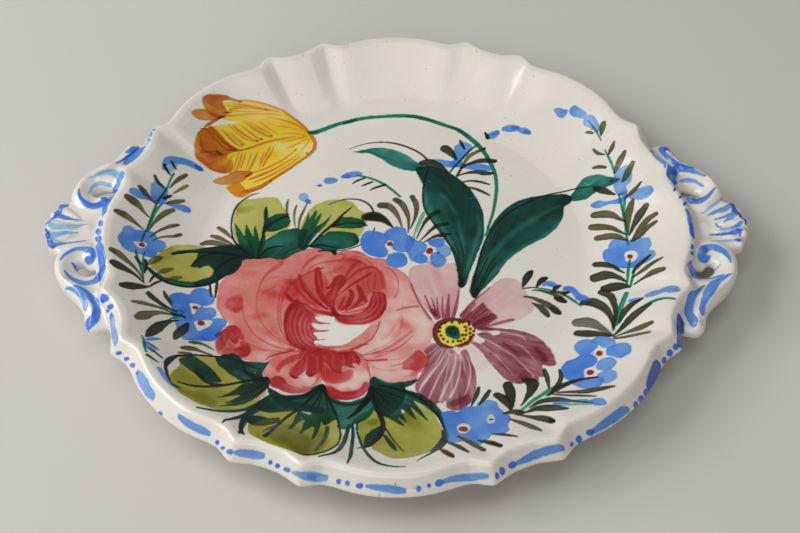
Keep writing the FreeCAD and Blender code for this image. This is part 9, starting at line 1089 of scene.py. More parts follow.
    ('b', 'wht', [(17.9,48.8,0.57), (23.5,42.5,0.86), (26.8,35.1,0.6)], {'d': 0.16, 'cut': 0.9, 'soft': 0.9, 'pool': 0}),
    ('b', 'wht', [(35.9,-22.4,0.34), (39.6,-11.5,0.97), (45.1,-1.5,1.42), (52.4,7.6,1.62), (60.5,15.6,1.48), (69.6,22.6,1.33), (77.7,27.3,0.9)], {'d': 0.28, 'cut': 0.9, 'soft': 0.9, 'pool': 0}),
    ('b', 'wht', [(38.4,-23.5,0.46), (45.3,-13.8,1.24), (52.4,-6.1,1.69), (59.5,0.6,1.97), (67.5,6.3,1.78), (74.9,13.2,1.31), (77.8,17.8,0.85)], {'d': 0.34, 'cut': 0.9, 'soft': 0.9, 'pool': 0}),
    ('b', 'wht', [(41.2,4.2,0.46), (46.8,15.8,0.87), (54.2,25.2,0.97), (63.2,31.1,0.79)], {'d': 0.18, 'cut': 0.9, 'soft': 0.9, 'pool': 0}),
    ('b', 'blk', [(25.9,2.1,0.28), (28.2,-4.7,0.35), (29.1,-12.5,0.34), (29.1,-21.3,0.25)], {'d': 0.88, 'pool': 0}),
    ('b', 'blk', [(28.3,11.3,0.18), (30.5,2.1,0.26), (31,-7,0.25), (30,-19.1,0.25)], {'d': 0.88, 'pool': 0}),
    ('b', 'blk', [(35.7,-26.7,0.25), (36.8,-19.2,0.34), (39.6,-11.5,0.35), (42.4,-4.8,0.27)], {'d': 0.88, 'pool': 0}),
    ('b', 'blk', [(36.5,-27.3,0.26), (39.2,-21.4,0.35), (42.8,-13.7,0.27), (45.6,-8.8,0.18)], {'d': 0.88, 'pool': 0}),
    ('b', 'blk', [(28.8,-21.3,0.62), (29.4,-23.2,0.26)], {'d': 0.88, 'pool': 0}),
    ('b', 'blk', [(35,-28.3,0.69), (36.6,-24.6,0.26)], {'d': 0.88, 'pool': 0}),
    ('b', 'brn', [(-26.8,137,0.23), (-26.1,124.9,0.18)], {'d': 0.22, 'pool': 0, 'soft': 0.4}),
    ('b', 'brn', [(-24.8,127.2,0.23), (-24.6,125.2,0.18)], {'d': 0.22, 'pool': 0, 'soft': 0.4}),
    ('b', 'brn', [(41.5,121.9,0.22), (41.9,120.3,0.18)], {'d': 0.22, 'pool': 0, 'soft': 0.4}),
    ('b', 'brn', [(-47.1,119.6,0.23), (-47,118,0.16)], {'d': 0.22, 'pool': 0, 'soft': 0.4}),
    ('b', 'brn', [(-37.2,124.2,0.23), (-37,122.8,0.16)], {'d': 0.22, 'pool': 0, 'soft': 0.4}),
    ('b', 'rim', [(-133.4,31.2,0.71), (-132.9,23.2,1.28), (-133.5,18.8,1.61), (-134.5,15.5,1.66), (-134,9.5,1.44)], {'streak': 0.12, 'pool': 0.1, 'wob': 0.1, 'd': 0.95}),
    ('w', 'rim', [(-131,29.2), (-131.6,30.1), (-132.3,30.6), (-133,30.9), (-133.4,30.9), (-133.4,30.8), (-133.1,30.6), (-131.7,27.9), (-130.9,27.3), (-130,25.7)], {'d': 1.25, 'pool': 0.15, 'wob': 0.12}),
    ('w', 'rim', [(-133.1,1.7), (-133.3,2.9), (-134.2,5.1), (-136.1,8.7), (-136.8,8.4), (-137,7.3), (-136.6,5.8), (-135.6,3.8), (-134,0.7), (-133.3,0.5)], {'d': 1.25, 'pool': 0.15, 'wob': 0.12}),
    ('w', 'rim', [(-133.2,-3.1), (-133.7,-1.7), (-135.2,1.4), (-136.7,3.5), (-137.4,2.9), (-137.4,1.8), (-137,0.6), (-135.9,-1.1), (-134.3,-3.7), (-133.4,-4)], {'d': 1.05, 'pool': 0.15, 'wob': 0.12}),
    ('w', 'rim', [(-132.4,-7.8), (-132.9,-6.4), (-134.1,-4.6), (-135.7,-2.1), (-136.8,-1.6), (-136.9,-2.8), (-136.4,-4.1), (-134.9,-6.6), (-133.5,-8.6), (-132.6,-8.7)], {'d': 1.25, 'pool': 0.15, 'wob': 0.12}),
    ('b', 'rim', [(-134.7,-8.3,1.2), (-132.7,-12.8,1.69), (-131.6,-16.7,1.84), (-130.7,-20.3,1.93), (-130.7,-21.9,1.8)], {'streak': 0.12, 'pool': 0.1, 'wob': 0.1, 'd': 1}),
    ('w', 'rim', [(-124.3,-42.4), (-124.8,-41.3), (-125.9,-40.4), (-127.4,-39.8), (-128.6,-39.6), (-129.1,-39.9), (-128.8,-40.8), (-127.6,-41.9), (-126,-42.9), (-124.7,-43.2)], {'d': 1.25, 'pool': 0.15, 'wob': 0.12}),
    ('w', 'rim', [(-126.5,-42.4), (-126.7,-42), (-127.2,-41.5), (-127.9,-41.1), (-128.6,-40.9), (-128.8,-41.1), (-128.7,-41.5), (-128,-42.1), (-127.4,-42.5), (-126.8,-42.6)], {'d': 1.25, 'pool': 0.15, 'wob': 0.12}),
    ('w', 'rim', [(-122.1,-46.4), (-122.6,-45.5), (-123.7,-44.9), (-124.6,-44.5), (-125.4,-44.5), (-125.4,-44.9), (-124.7,-45.7), (-123.7,-46.7), (-122.7,-47.2), (-122,-47.1)], {'d': 1.25, 'pool': 0.15, 'wob': 0.12}),
    ('w', 'rim', [(-124.1,-46.8), (-124.4,-46.2), (-124.9,-45.7), (-125.4,-45.3), (-126,-45.1), (-126.1,-45.4), (-126,-45.9), (-125.5,-46.4), (-124.9,-46.8), (-124.4,-47)], {'d': 1.25, 'pool': 0.15, 'wob': 0.12}),
    ('b', 'rim', [(-123.4,-49.1,0.83), (-122.6,-51.4,1.14), (-121.8,-54.9,1.24), (-120.2,-60.2,1.34), (-118.6,-65,1.23)], {'streak': 0.12, 'pool': 0.1, 'wob': 0.1, 'd': 0.62}),
    ('b', 'rim', [(-123.5,-48.8,0.68), (-123.1,-49.8,0.73)], {'streak': 0.12, 'pool': 0.1, 'wob': 0.1, 'd': 0.9}),
    ('w', 'rim', [(-116.1,-69), (-116.4,-68.7), (-117.2,-68.3), (-118.1,-68), (-118.8,-68), (-119,-68.3), (-118.7,-68.7), (-117.9,-69.1), (-117,-69.3), (-116.3,-69.3)], {'d': 1.25, 'pool': 0.15, 'wob': 0.12}),
    ('w', 'rim', [(-112.6,-71.8), (-113,-71.3), (-113.8,-70.9), (-114.6,-70.7), (-115.1,-70.8), (-115.1,-71.2), (-114.7,-71.6), (-113.9,-72.1), (-113.1,-72.3), (-112.6,-72.2)], {'d': 1.1, 'pool': 0.15, 'wob': 0.12}),
    ('w', 'rim', [(-109.3,-76.4), (-109.6,-75.6), (-110.5,-74.7), (-111.4,-74), (-112.2,-73.9), (-112.5,-74.2), (-112.2,-74.9), (-111.4,-75.7), (-110.4,-76.4), (-109.6,-76.7)], {'d': 1, 'pool': 0.15, 'wob': 0.12}),
    ('b', 'rim', [(-108.4,-79.5,0.77), (-106.5,-82.7,1.42), (-104.3,-86.4,1.59), (-102.1,-89.9,1.36), (-100.1,-92.2,1.04)], {'streak': 0.12, 'pool': 0.1, 'wob': 0.1, 'd': 0.65}),
    ('b', 'rim', [(-108.7,-79.3,0.36), (-108,-80.1,0.36)], {'streak': 0.12, 'pool': 0.1, 'wob': 0.1, 'd': 1}),
    ('w', 'rim', [(-95.8,-99.2), (-96,-98.8), (-96.5,-98.3), (-97.2,-97.9), (-97.7,-97.8), (-97.9,-98.2), (-97.9,-98.2), (-97.3,-98.7), (-96.6,-99.5), (-96.1,-99.3)], {'d': 1.1, 'pool': 0.15, 'wob': 0.12}),
    ('b', 'rim', [(-88.4,-102.7,0.57), (-85.2,-105.3,0.86), (-81.5,-107.5,0.9), (-77.8,-109.3,0.89), (-75.4,-110.5,0.58)], {'streak': 0.12, 'pool': 0.1, 'wob': 0.1, 'd': 0.75}),
    ('w', 'rim', [(-71.3,-114.1), (-71.5,-113.6), (-71.9,-113.2), (-72.5,-113), (-73,-113.1), (-73.2,-113.4), (-73,-113.8), (-72.6,-114.1), (-72,-114.5), (-71.5,-114.4)], {'d': 1.25, 'pool': 0.15, 'wob': 0.12}),
    ('w', 'rim', [(-68.6,-117.3), (-68.8,-116.8), (-69.4,-116.2), (-70.1,-115.8), (-70.6,-115.7), (-70.8,-115.9), (-70.7,-116.3), (-70.1,-116.9), (-69.4,-117.4), (-68.9,-117.5)], {'d': 1.25, 'pool': 0.15, 'wob': 0.12}),
    ('w', 'rim', [(-65.1,-119.8), (-65.3,-119.4), (-66.1,-119), (-67.1,-118.5), (-67.9,-118.3), (-68.2,-118.5), (-67.9,-119.1), (-67.1,-119.8), (-66.2,-120.1), (-65.4,-120.1)], {'d': 1.1, 'pool': 0.15, 'wob': 0.12}),
    ('b', 'rim', [(-64.9,-120,0.24), (-62.7,-120.2,0.72), (-59.2,-120.5,0.93), (-55.6,-121.1,0.93), (-52.9,-121.7,0.68)], {'streak': 0.12, 'pool': 0.1, 'wob': 0.1, 'd': 0.75}),
    ('w', 'rim', [(-49.3,-124), (-49.5,-123.6), (-49.9,-123.3), (-50.4,-123.2), (-50.9,-123.3), (-51,-123.6), (-50.9,-123.9), (-50.5,-124.2), (-49.9,-124.3), (-49.5,-124.2)], {'d': 1.25, 'pool': 0.15, 'wob': 0.12}),
    ('w', 'rim', [(-46.2,-125.6), (-46.4,-125.2), (-46.9,-124.9), (-47.5,-124.7), (-48,-124.8), (-48.2,-125.1), (-48,-125.4), (-47.5,-125.8), (-46.9,-125.9), (-46.4,-125.8)], {'d': 1.25, 'pool': 0.15, 'wob': 0.12}),
    ('w', 'rim', [(-42,-128.5), (-42,-128.1), (-42.6,-127.6), (-43.5,-127), (-44.3,-126.7), (-44.7,-126.8), (-44.7,-127.1), (-44.1,-127.7), (-43.2,-128.2), (-42.4,-128.5)], {'d': 1.1, 'pool': 0.15, 'wob': 0.12}),
    ('b', 'rim', [(-41.1,-129.2,0.25), (-37.6,-131,0.72), (-33.6,-131.2,1.02), (-30.2,-131,0.93), (-27.6,-131.3,0.7)], {'streak': 0.12, 'pool': 0.1, 'wob': 0.1, 'd': 0.7}),
    ('b', 'rim', [(-34.8,-131.3,0.51), (-31.9,-131.1,0.62)], {'streak': 0.12, 'pool': 0.1, 'wob': 0.1, 'd': 0.5, 'soft': 0.3}),
    ('w', 'rim', [(-21.8,-133.1), (-21.9,-132.7), (-22.4,-132.4), (-23,-132.3), (-23.5,-132.4), (-23.7,-132.8), (-23.5,-133.2), (-23,-133.5), (-22.4,-133.6), (-22,-133.5)], {'d': 1.1, 'pool': 0.15, 'wob': 0.12}),
    ('w', 'rim', [(-18.2,-134.2), (-18.4,-133.8), (-18.9,-133.5), (-19.5,-133.4), (-20.1,-133.5), (-20.3,-133.8), (-20.1,-134.2), (-19.6,-134.6), (-18.9,-134.7), (-18.4,-134.5)], {'d': 1.1, 'pool': 0.15, 'wob': 0.12}),
    ('w', 'rim', [(-13.1,-135.5), (-13.3,-135.1), (-14.1,-134.8), (-15,-134.7), (-15.8,-134.8), (-16.1,-135.1), (-15.8,-135.5), (-15.1,-135.8), (-14.1,-136), (-13.4,-135.8)], {'d': 1.25, 'pool': 0.15, 'wob': 0.12}),
    ('b', 'rim', [(-12.1,-135.7,0.28), (-8.1,-136.4,0.64), (-4.1,-136.9,0.81), (-0.1,-137.3,0.91), (3.1,-137.4,0.64)], {'streak': 0.12, 'pool': 0.1, 'wob': 0.1, 'd': 0.8}),
    ('w', 'rim', [(9.6,-136.6), (9.4,-136.2), (8.9,-136.1), (8.3,-136.1), (7.8,-136.4), (7.6,-136.8), (7.8,-137.2), (8.3,-137.4), (8.9,-137.3), (9.4,-137.1)], {'d': 1.25, 'pool': 0.15, 'wob': 0.12}),
    ('w', 'rim', [(13.5,-135.5), (13.3,-135.2), (12.9,-135.1), (12.4,-135.1), (12,-135.4), (11.9,-135.7), (12,-136.1), (12.4,-136.2), (12.9,-136.2), (13.3,-135.9)], {'d': 1.25, 'pool': 0.15, 'wob': 0.12}),
    ('w', 'rim', [(18.5,-133.9), (17.9,-133.6), (16.8,-133.7), (15.7,-134.1), (15.1,-134.7), (15,-135.1), (15.6,-135.5), (16.7,-135.4), (17.7,-135), (18.4,-134.4)], {'d': 1.1, 'pool': 0.15, 'wob': 0.12}),
    ('b', 'rim', [(18.4,-133.9,0.5), (22.1,-132.7,0.71), (26.8,-131.5,0.84), (31.4,-131.2,0.82), (35.8,-131.5,0.53)], {'streak': 0.12, 'pool': 0.1, 'wob': 0.1, 'd': 0.75}),
    ('w', 'rim', [(40.4,-130.7), (40.2,-130.3), (39.8,-130.2), (39.2,-130.4), (38.8,-130.8), (38.7,-131.3), (38.8,-131.7), (39.3,-131.9), (39.8,-131.8), (40.2,-131.3)], {'d': 1.25, 'pool': 0.15, 'wob': 0.12}),
    ('w', 'rim', [(42.9,-128.5), (42.6,-128), (42,-128), (41.2,-128.3), (40.6,-128.9), (40.4,-129.5), (40.6,-129.9), (41.3,-130.1), (42,-129.8), (42.6,-129.2)], {'d': 1.25, 'pool': 0.15, 'wob': 0.12}),
    ('w', 'rim', [(47.7,-125), (47.1,-124.8), (46,-125), (44.9,-125.7), (44.1,-126.4), (44.1,-126.9), (44.7,-127.1), (45.8,-126.8), (46.9,-126.2), (47.6,-125.5)], {'d': 1.25, 'pool': 0.15, 'wob': 0.12}),
    ('b', 'rim', [(48,-124.8,0.52), (51.6,-123.1,0.91), (55.8,-121.3,0.99), (60.5,-120.2,0.92), (64.6,-119.5,0.81), (66.6,-118.9,0.6)], {'streak': 0.12, 'pool': 0.1, 'wob': 0.1, 'd': 0.9}),
    ('w', 'rim', [(71.3,-115.1), (71.1,-114.8), (70.6,-114.8), (70.1,-115.1), (69.6,-115.6), (69.4,-116.2), (69.6,-116.6), (70,-116.6), (70.7,-116.1), (71.1,-115.6)], {'d': 1.25, 'pool': 0.15, 'wob': 0.12}),
    ('w', 'rim', [(74.9,-112.4), (74.6,-112.1), (74,-111.9), (73.2,-112.1), (72.6,-112.6), (72.3,-113.3), (72.6,-113.8), (73.3,-113.8), (74,-113.7), (74.7,-113.1)], {'d': 1.25, 'pool': 0.15, 'wob': 0.12}),
    ('w', 'rim', [(79.9,-109.6), (79.6,-109.2), (78.7,-109.1), (77.6,-109.3), (76.8,-109.8), (76.5,-110.4), (76.9,-110.8), (77.7,-110.9), (78.8,-110.6), (79.6,-110.1)], {'d': 1.25, 'pool': 0.15, 'wob': 0.12}),
    ('b', 'rim', [(79.1,-109.6,0.62), (82,-107.9,0.96), (85.8,-105.3,1.17), (89.7,-102.5,1.24), (93.2,-99.7,1.09), (95,-98.8,0.64)], {'streak': 0.12, 'pool': 0.1, 'wob': 0.1, 'd': 0.95}),
    ('w', 'rim', [(99.6,-95.3), (99.4,-94.8), (98.8,-94.8), (98.1,-95.1), (97.5,-95.7), (97.3,-96.5), (97.5,-96.9), (98.1,-97.1), (99,-96.3), (99.5,-95.7)], {'d': 1.25, 'pool': 0.15, 'wob': 0.12}),
    ('w', 'rim', [(102.5,-92.2), (102.2,-91.7), (101.4,-91.8), (100.5,-92.3), (99.8,-93), (99.5,-93.8), (99.8,-94.3), (100.6,-94.2), (101.6,-93.3), (102.4,-92.3)], {'d': 1.25, 'pool': 0.15, 'wob': 0.12}),
    ('w', 'rim', [(105.3,-88.6), (104.9,-88.3), (104,-88.5), (103.1,-89), (102.3,-89.8), (102,-90.7), (102.3,-91.3), (103.1,-91.3), (104.3,-89.9), (105.2,-88.6)], {'d': 1.25, 'pool': 0.15, 'wob': 0.12}),
    # the darker blue of this dash is painted shade: it lies on the right-hand flange, which faces away from the light
    ('b', 'rim_dark_and_shade', [(104.8,-87.4,1.37), (106,-84.9,1.75), (107.8,-81.1,1.91), (109.5,-77.5,1.73), (110.1,-76.4,1.29)], {'streak': 0.12, 'pool': 0.1, 'wob': 0.1, 'd': 0.95}),
    ('w', 'rim', [(114.4,-72.6), (114.2,-72), (113.5,-72), (112.7,-72.4), (112.1,-73.2), (111.8,-74.1), (112.1,-74.7), (112.8,-74.5), (113.7,-73.7), (114.4,-72.7)], {'d': 1.25, 'pool': 0.15, 'wob': 0.12}),
    ('w', 'rim', [(117.5,-69.5), (117.1,-69.1), (116.3,-69), (115.3,-69.3), (114.6,-69.9), (114.3,-70.5), (114.6,-71), (115.5,-70.9), (116.5,-70.5), (117.2,-69.9)], {'d': 1.25, 'pool': 0.15, 'wob': 0.12}),
    ('w', 'rim', [(120,-66.8), (119.7,-66.4), (118.9,-66.5), (117.9,-66.9), (117.2,-67.5), (117,-68.1), (117.3,-68.4), (118.1,-68.5), (119,-68.1), (119.7,-67.5)], {'d': 1.25, 'pool': 0.15, 'wob': 0.12}),
    # the darker blue of this dash is painted shade: it lies on the right-hand flange, which faces away from the light
    ('b', 'rim_dark_and_shade', [(120.3,-65.3,1.5), (121.4,-61.2,1.9), (122,-56.8,1.93), (122.4,-53.3,1.81), (122.4,-52.3,1.42)], {'streak': 0.12, 'pool': 0.1, 'wob': 0.1, 'd': 0.95}),
    ('w', 'rim', [(131.8,-21.5), (131.6,-21.2), (131.2,-21.3), (130.6,-21.9), (130,-22.6), (129.8,-23.3), (129.9,-23.8), (130.5,-23.5), (131.1,-23), (131.6,-22.3)], {'d': 1.25, 'pool': 0.15, 'wob': 0.12}),
    ('w', 'rim', [(133.1,-16.7), (133,-16.5), (132.4,-16.8), (131.8,-17.2), (131.2,-17.9), (131,-18.5), (131.1,-19), (131.6,-19), (132.3,-18.4), (132.9,-17.4)], {'d': 1.25, 'pool': 0.15, 'wob': 0.12}),
    ('w', 'rim', [(133.6,-13.7), (133.3,-13.3), (132.9,-13.2), (132.4,-13.5), (131.9,-14.2), (131.7,-15.1), (131.7,-15.9), (132,-16.2), (132.6,-15.7), (133.2,-14.8)], {'d': 1.25, 'pool': 0.15, 'wob': 0.12}),
    ('b', 'rim', [(133.9,-1.9,1.25), (133.7,-6.1,1.25), (133.7,-9.4,0.62)], {'streak': 0.12, 'pool': 0.1, 'wob': 0.1, 'd': 0.95}),
    ('b', 'rim', [(132.9,7.4,0.83), (133.6,5.3,1.14), (133.6,1.2,1.34), (133.8,-3.3,1.31), (133.5,-7.9,1.29)], {'streak': 0.12, 'pool': 0.1, 'wob': 0.1, 'd': 0.95}),
    # the darker blue of these dashes is painted shade on the right-hand side of the rim
    ('w', 'rim_dark_and_shade', [(129.8,20.3), (130.5,22.3), (131.8,27.5), (131.4,27.5), (129.5,22.1), (128.8,21), (128.5,20), (128.4,19.4), (128.7,19.1), (129.2,19.3)], {'d': 0.9, 'pool': 0.15, 'wob': 0.12}),
    ('w', 'rim_dark_and_shade', [(131.7,15.1), (132.5,16.9), (135.6,27.5), (135.2,27.3), (131.8,17.3), (130.9,16.2), (130.5,15.4), (130.3,14.6), (130.4,14.3), (131,14.4)], {'d': 0.9, 'pool': 0.15, 'wob': 0.12}),
    ('w', 'rim_dark_and_shade', [(133.3,11.1), (134.8,15.9), (134.9,16.7), (134.4,16.8), (132.9,13), (132,11.8), (131.7,10.8), (131.6,10.1), (132,9.7), (132.5,9.9)], {'d': 0.9, 'pool': 0.15, 'wob': 0.12}),
    ('b', 'rim', [(122.6,43.9,0.91), (124.1,41.8,1.36), (125.9,39.4,1.45), (126.9,37.6,0.87), (126.7,34.9,0.45)], {'streak': 0.12, 'pool': 0.1, 'wob': 0.1, 'd': 0.85}),
    # the darker blue of these dashes is painted shade on the right-hand side of the rim
    ('w', 'rim_dark_and_shade', [(124.3,51.7), (124.4,52.3), (124.2,52.9), (123.8,53.2), (123.4,53.4), (121.4,46.8), (121.2,46.1), (121.5,45.5), (121.9,45.1), (122.6,45.6)], {'d': 0.9, 'pool': 0.15, 'wob': 0.12}),
    ('w', 'rim_dark_and_shade', [(123.3,53.9), (123.4,54.4), (123,54.8), (123.1,55.2), (123.1,55.5), (123.1,55.2), (123,54.6), (121.6,48.5), (121.4,47.6), (121.5,47.8)], {'d': 0.9, 'pool': 0.15, 'wob': 0.12}),
    ('b', 'rim', [(101.4,89.7,0.5), (99.4,91.9,0.85), (97.3,94.1,0.95), (95.1,96.2,1), (92.9,98.2,0.95), (90.5,100.2,0.65)], {'d': 0.76, 'streak': 0.12, 'pool': 0.1}),
    ('w', 'rim', [(88.3,102.6), (88,103.3), (87.3,103.5), (86.6,103.3), (86.3,102.6), (86.6,101.9), (87.3,101.7), (88,101.9)], {'d': 1.25, 'pool': 0.15, 'wob': 0.12}),
    ('w', 'rim', [(84.3,105.1), (84,105.7), (83.4,105.9), (82.8,105.7), (82.5,105.1), (82.8,104.5), (83.4,104.3), (84,104.5)], {'d': 1.25, 'pool': 0.15, 'wob': 0.12}),
    ('w', 'rim', [(81.3,106.8), (81,107.5), (80.3,107.7), (79.6,107.5), (79.3,106.8), (79.6,106.1), (80.3,105.9), (81,106.1)], {'d': 1.25, 'pool': 0.15, 'wob': 0.12}),
    ('b', 'rim', [(76.2,108.8,0.5), (73.6,110.2,0.85), (71.1,111.9,0.95), (69.1,114.4,1), (67.2,117.1,0.95), (64.9,119.3,0.65)], {'d': 0.82, 'streak': 0.12, 'pool': 0.1}),
    ('w', 'rim', [(60.5,120), (60.3,120.5), (59.7,120.8), (59.1,120.5), (58.9,120), (59.1,119.5), (59.7,119.2), (60.3,119.5)], {'d': 1.25, 'pool': 0.15, 'wob': 0.12}),
    ('w', 'rim', [(56.8,120.6), (56.5,121.3), (55.8,121.5), (55.1,121.3), (54.8,120.6), (55.1,119.9), (55.8,119.7), (56.5,119.9)], {'d': 1.25, 'pool': 0.15, 'wob': 0.12}),
    ('w', 'rim', [(53.7,121.6), (53.4,122.3), (52.7,122.5), (52,122.3), (51.7,121.6), (52,120.9), (52.7,120.7), (53.4,120.9)], {'d': 1.25, 'pool': 0.15, 'wob': 0.12}),
    ('b', 'rim', [(48.4,123.4,0.5), (45.8,125,0.85), (43.3,126.8,0.95), (40.8,129,1), (38.2,130.9,0.95), (35,130.8,0.65)], {'d': 0.83, 'streak': 0.12, 'pool': 0.1}),
    ('w', 'rim', [(30.8,130.1), (30.5,130.7), (29.9,130.9), (29.3,130.7), (29,130.1), (29.3,129.5), (29.9,129.3), (30.5,129.5)], {'d': 1.25, 'pool': 0.15, 'wob': 0.12}),
    ('w', 'rim', [(27.6,130.6), (27.3,131.2), (26.6,131.5), (25.9,131.2), (25.6,130.6), (25.9,130), (26.6,129.7), (27.3,130)], {'d': 1.25, 'pool': 0.15, 'wob': 0.12}),
    ('w', 'rim', [(23.7,131.8), (23.4,132.4), (22.7,132.7), (22,132.4), (21.7,131.8), (22,131.2), (22.7,130.9), (23.4,131.2)], {'d': 1.25, 'pool': 0.15, 'wob': 0.12}),
    ('b', 'rim', [(18.4,133.2,0.5), (15.8,134.1,0.85), (13.1,134.6,0.95), (10.4,135.1,1), (7.7,135.4,0.95), (5,135.6,0.65)], {'d': 0.98, 'streak': 0.12, 'pool': 0.1}),
    ('w', 'rim', [(1.9,135.9), (1.6,136.5), (0.9,136.8), (0.2,136.5), (-0.1,135.9), (0.2,135.3), (0.9,135), (1.6,135.3)], {'d': 1.25, 'pool': 0.15, 'wob': 0.12}),
    ('w', 'rim', [(-2.4,135.8), (-2.7,136.5), (-3.4,136.7), (-4.1,136.5), (-4.4,135.8), (-4.1,135.1), (-3.4,134.9), (-2.7,135.1)], {'d': 1.25, 'pool': 0.15, 'wob': 0.12}),
    ('w', 'rim', [(-6.2,135.5), (-6.5,136.2), (-7.2,136.4), (-7.9,136.2), (-8.2,135.5), (-7.9,134.8), (-7.2,134.6), (-6.5,134.8)], {'d': 1.25, 'pool': 0.15, 'wob': 0.12}),
    ('b', 'rim', [(-11.8,134.8,0.5), (-14.6,134.3,0.85), (-17.4,133.6,0.95), (-20.2,132.7,1), (-22.9,131.7,0.95), (-25.7,130.8,0.65)], {'d': 0.91, 'streak': 0.12, 'pool': 0.1}),
    ('w', 'rim', [(-28.7,130.1), (-29,130.7), (-29.7,131), (-30.4,130.7), (-30.7,130.1), (-30.4,129.5), (-29.7,129.2), (-29,129.5)], {'d': 1.25, 'pool': 0.15, 'wob': 0.12}),
    ('w', 'rim', [(-33.6,130.9), (-33.9,131.5), (-34.5,131.7), (-35.1,131.5), (-35.4,130.9), (-35.1,130.3), (-34.5,130.1), (-33.9,130.3)], {'d': 1.25, 'pool': 0.15, 'wob': 0.12}),
    ('w', 'rim', [(-37.7,130.9), (-38,131.5), (-38.6,131.7), (-39.2,131.5), (-39.5,130.9), (-39.2,130.3), (-38.6,130.1), (-38,130.3)], {'d': 1.25, 'pool': 0.15, 'wob': 0.12}),
    ('b', 'rim', [(-42.1,128.2,0.5), (-44.4,126.2,0.85), (-46.8,124.7,0.95), (-49.3,123.4,1), (-51.8,122.4,0.95), (-54.4,121.4,0.65)], {'d': 0.93, 'streak': 0.12, 'pool': 0.1}),
    ('w', 'rim', [(-58.2,120.3), (-58.5,120.9), (-59.1,121.1), (-59.7,120.9), (-60,120.3), (-59.7,119.7), (-59.1,119.5), (-58.5,119.7)], {'d': 1.25, 'pool': 0.15, 'wob': 0.12}),
    ('w', 'rim', [(-62.3,120), (-62.6,120.7), (-63.3,120.9), (-64,120.7), (-64.3,120), (-64,119.3), (-63.3,119.1), (-62.6,119.3)], {'d': 1.25, 'pool': 0.15, 'wob': 0.12}),
    ('w', 'rim', [(-65.7,118.7), (-65.9,119.3), (-66.6,119.6), (-67.3,119.3), (-67.5,118.7), (-67.3,118.1), (-66.6,117.8), (-65.9,118.1)], {'d': 1.25, 'pool': 0.15, 'wob': 0.12}),
    ('b', 'rim', [(-69.5,114.7,0.5), (-71.4,112.4,0.85), (-73.8,110.8,0.95), (-76.2,109.4,1), (-78.8,108.3,0.95), (-81.5,107.1,0.65)], {'d': 0.98, 'streak': 0.12, 'pool': 0.1}),
    ('w', 'rim', [(-84.8,104.6), (-85.1,105.2), (-85.7,105.4), (-86.3,105.2), (-86.6,104.6), (-86.3,104), (-85.7,103.8), (-85.1,104)], {'d': 1.25, 'pool': 0.15, 'wob': 0.12}),
    ('w', 'rim', [(-88.2,102.3), (-88.5,102.9), (-89.1,103.1), (-89.7,102.9), (-90,102.3), (-89.7,101.7), (-89.1,101.5), (-88.5,101.7)], {'d': 1.25, 'pool': 0.15, 'wob': 0.12}),
    ('w', 'rim', [(-91,100), (-91.3,100.6), (-91.9,100.8), (-92.5,100.6), (-92.8,100), (-92.5,99.4), (-91.9,99.2), (-91.3,99.4)], {'d': 1.25, 'pool': 0.15, 'wob': 0.12}),
    ('b', 'rim', [(-95,97.1,0.5), (-97.1,95.2,0.85), (-99,93.1,0.95), (-100.6,90.9,1), (-102.4,88.6,0.95), (-103.9,86.3,0.65)], {'d': 0.87, 'streak': 0.12, 'pool': 0.1}),
    ('w', 'rim', [(-105.5,82.4), (-105.7,82.9), (-106.3,83.2), (-106.9,82.9), (-107.1,82.4), (-106.9,81.9), (-106.3,81.6), (-105.7,81.9)], {'d': 1.25, 'pool': 0.15, 'wob': 0.12}),
    ('w', 'rim', [(-107.4,78.5), (-107.7,79.1), (-108.3,79.3), (-108.9,79.1), (-109.2,78.5), (-108.9,77.9), (-108.3,77.7), (-107.7,77.9)], {'d': 1.25, 'pool': 0.15, 'wob': 0.12}),
    ('w', 'rim', [(-108.9,75.4), (-109.1,75.9), (-109.7,76.2), (-110.3,75.9), (-110.5,75.4), (-110.3,74.9), (-109.7,74.6), (-109.1,74.9)], {'d': 1.25, 'pool': 0.15, 'wob': 0.12}),
    ('b', 'rim', [(-111.9,71.6,0.5), (-113.9,69.8,0.85), (-116.4,68.3,0.95), (-118.6,66.5,1), (-119.6,64.1,0.95), (-119.9,61.4,0.65)], {'d': 0.92, 'streak': 0.12, 'pool': 0.1}),
    ('w', 'rim', [(-119.6,56.3), (-119.9,56.9), (-120.5,57.1), (-121.1,56.9), (-121.4,56.3), (-121.1,55.7), (-120.5,55.5), (-119.9,55.7)], {'d': 1.25, 'pool': 0.15, 'wob': 0.12}),
    ('w', 'rim', [(-120.8,52.6), (-121.1,53.2), (-121.7,53.4), (-122.3,53.2), (-122.6,52.6), (-122.3,52), (-121.7,51.8), (-121.1,52)], {'d': 1.25, 'pool': 0.15, 'wob': 0.12}),
    ('w', 'rim', [(-122,49.3), (-122.3,49.9), (-123,50.2), (-123.7,49.9), (-124,49.3), (-123.7,48.7), (-123,48.4), (-122.3,48.7)], {'d': 1.25, 'pool': 0.15, 'wob': 0.12}),
    ('b', 'rimp', [(-132.3,32.2,0.97), (-131,31.9,1.53), (-129.7,32.5,2.35), (-131.1,36.4,1.79), (-133.8,39.6,1.65), (-136.7,39.4,1.11), (-139.5,38.5,0.84), (-142.3,36.8,0.52), (-144.5,35.3,0.19)], {'streak': 0.12, 'pool': 0.1, 'wob': 0.1, 'd': 1}),
    ('b', 'rim', [(-131.6,31.4,1.31), (-130.9,31.9,1.63), (-129.7,32.5,1.91), (-130.1,34.2,1.61)], {'streak': 0.12, 'pool': 0.1, 'wob': 0.1, 'd': 0.6, 'soft': 0.3}),
    ('b', 'rimp', [(-144.1,25.9,0.28), (-143.7,28.5,0.47), (-142.8,31.5,0.74), (-140.6,33.4,0.96), (-138,33.6,0.9), (-135.6,33.1,0.88), (-134.4,32.6,0.43)], {'streak': 0.12, 'pool': 0.1, 'wob': 0.1, 'd': 0.95}),
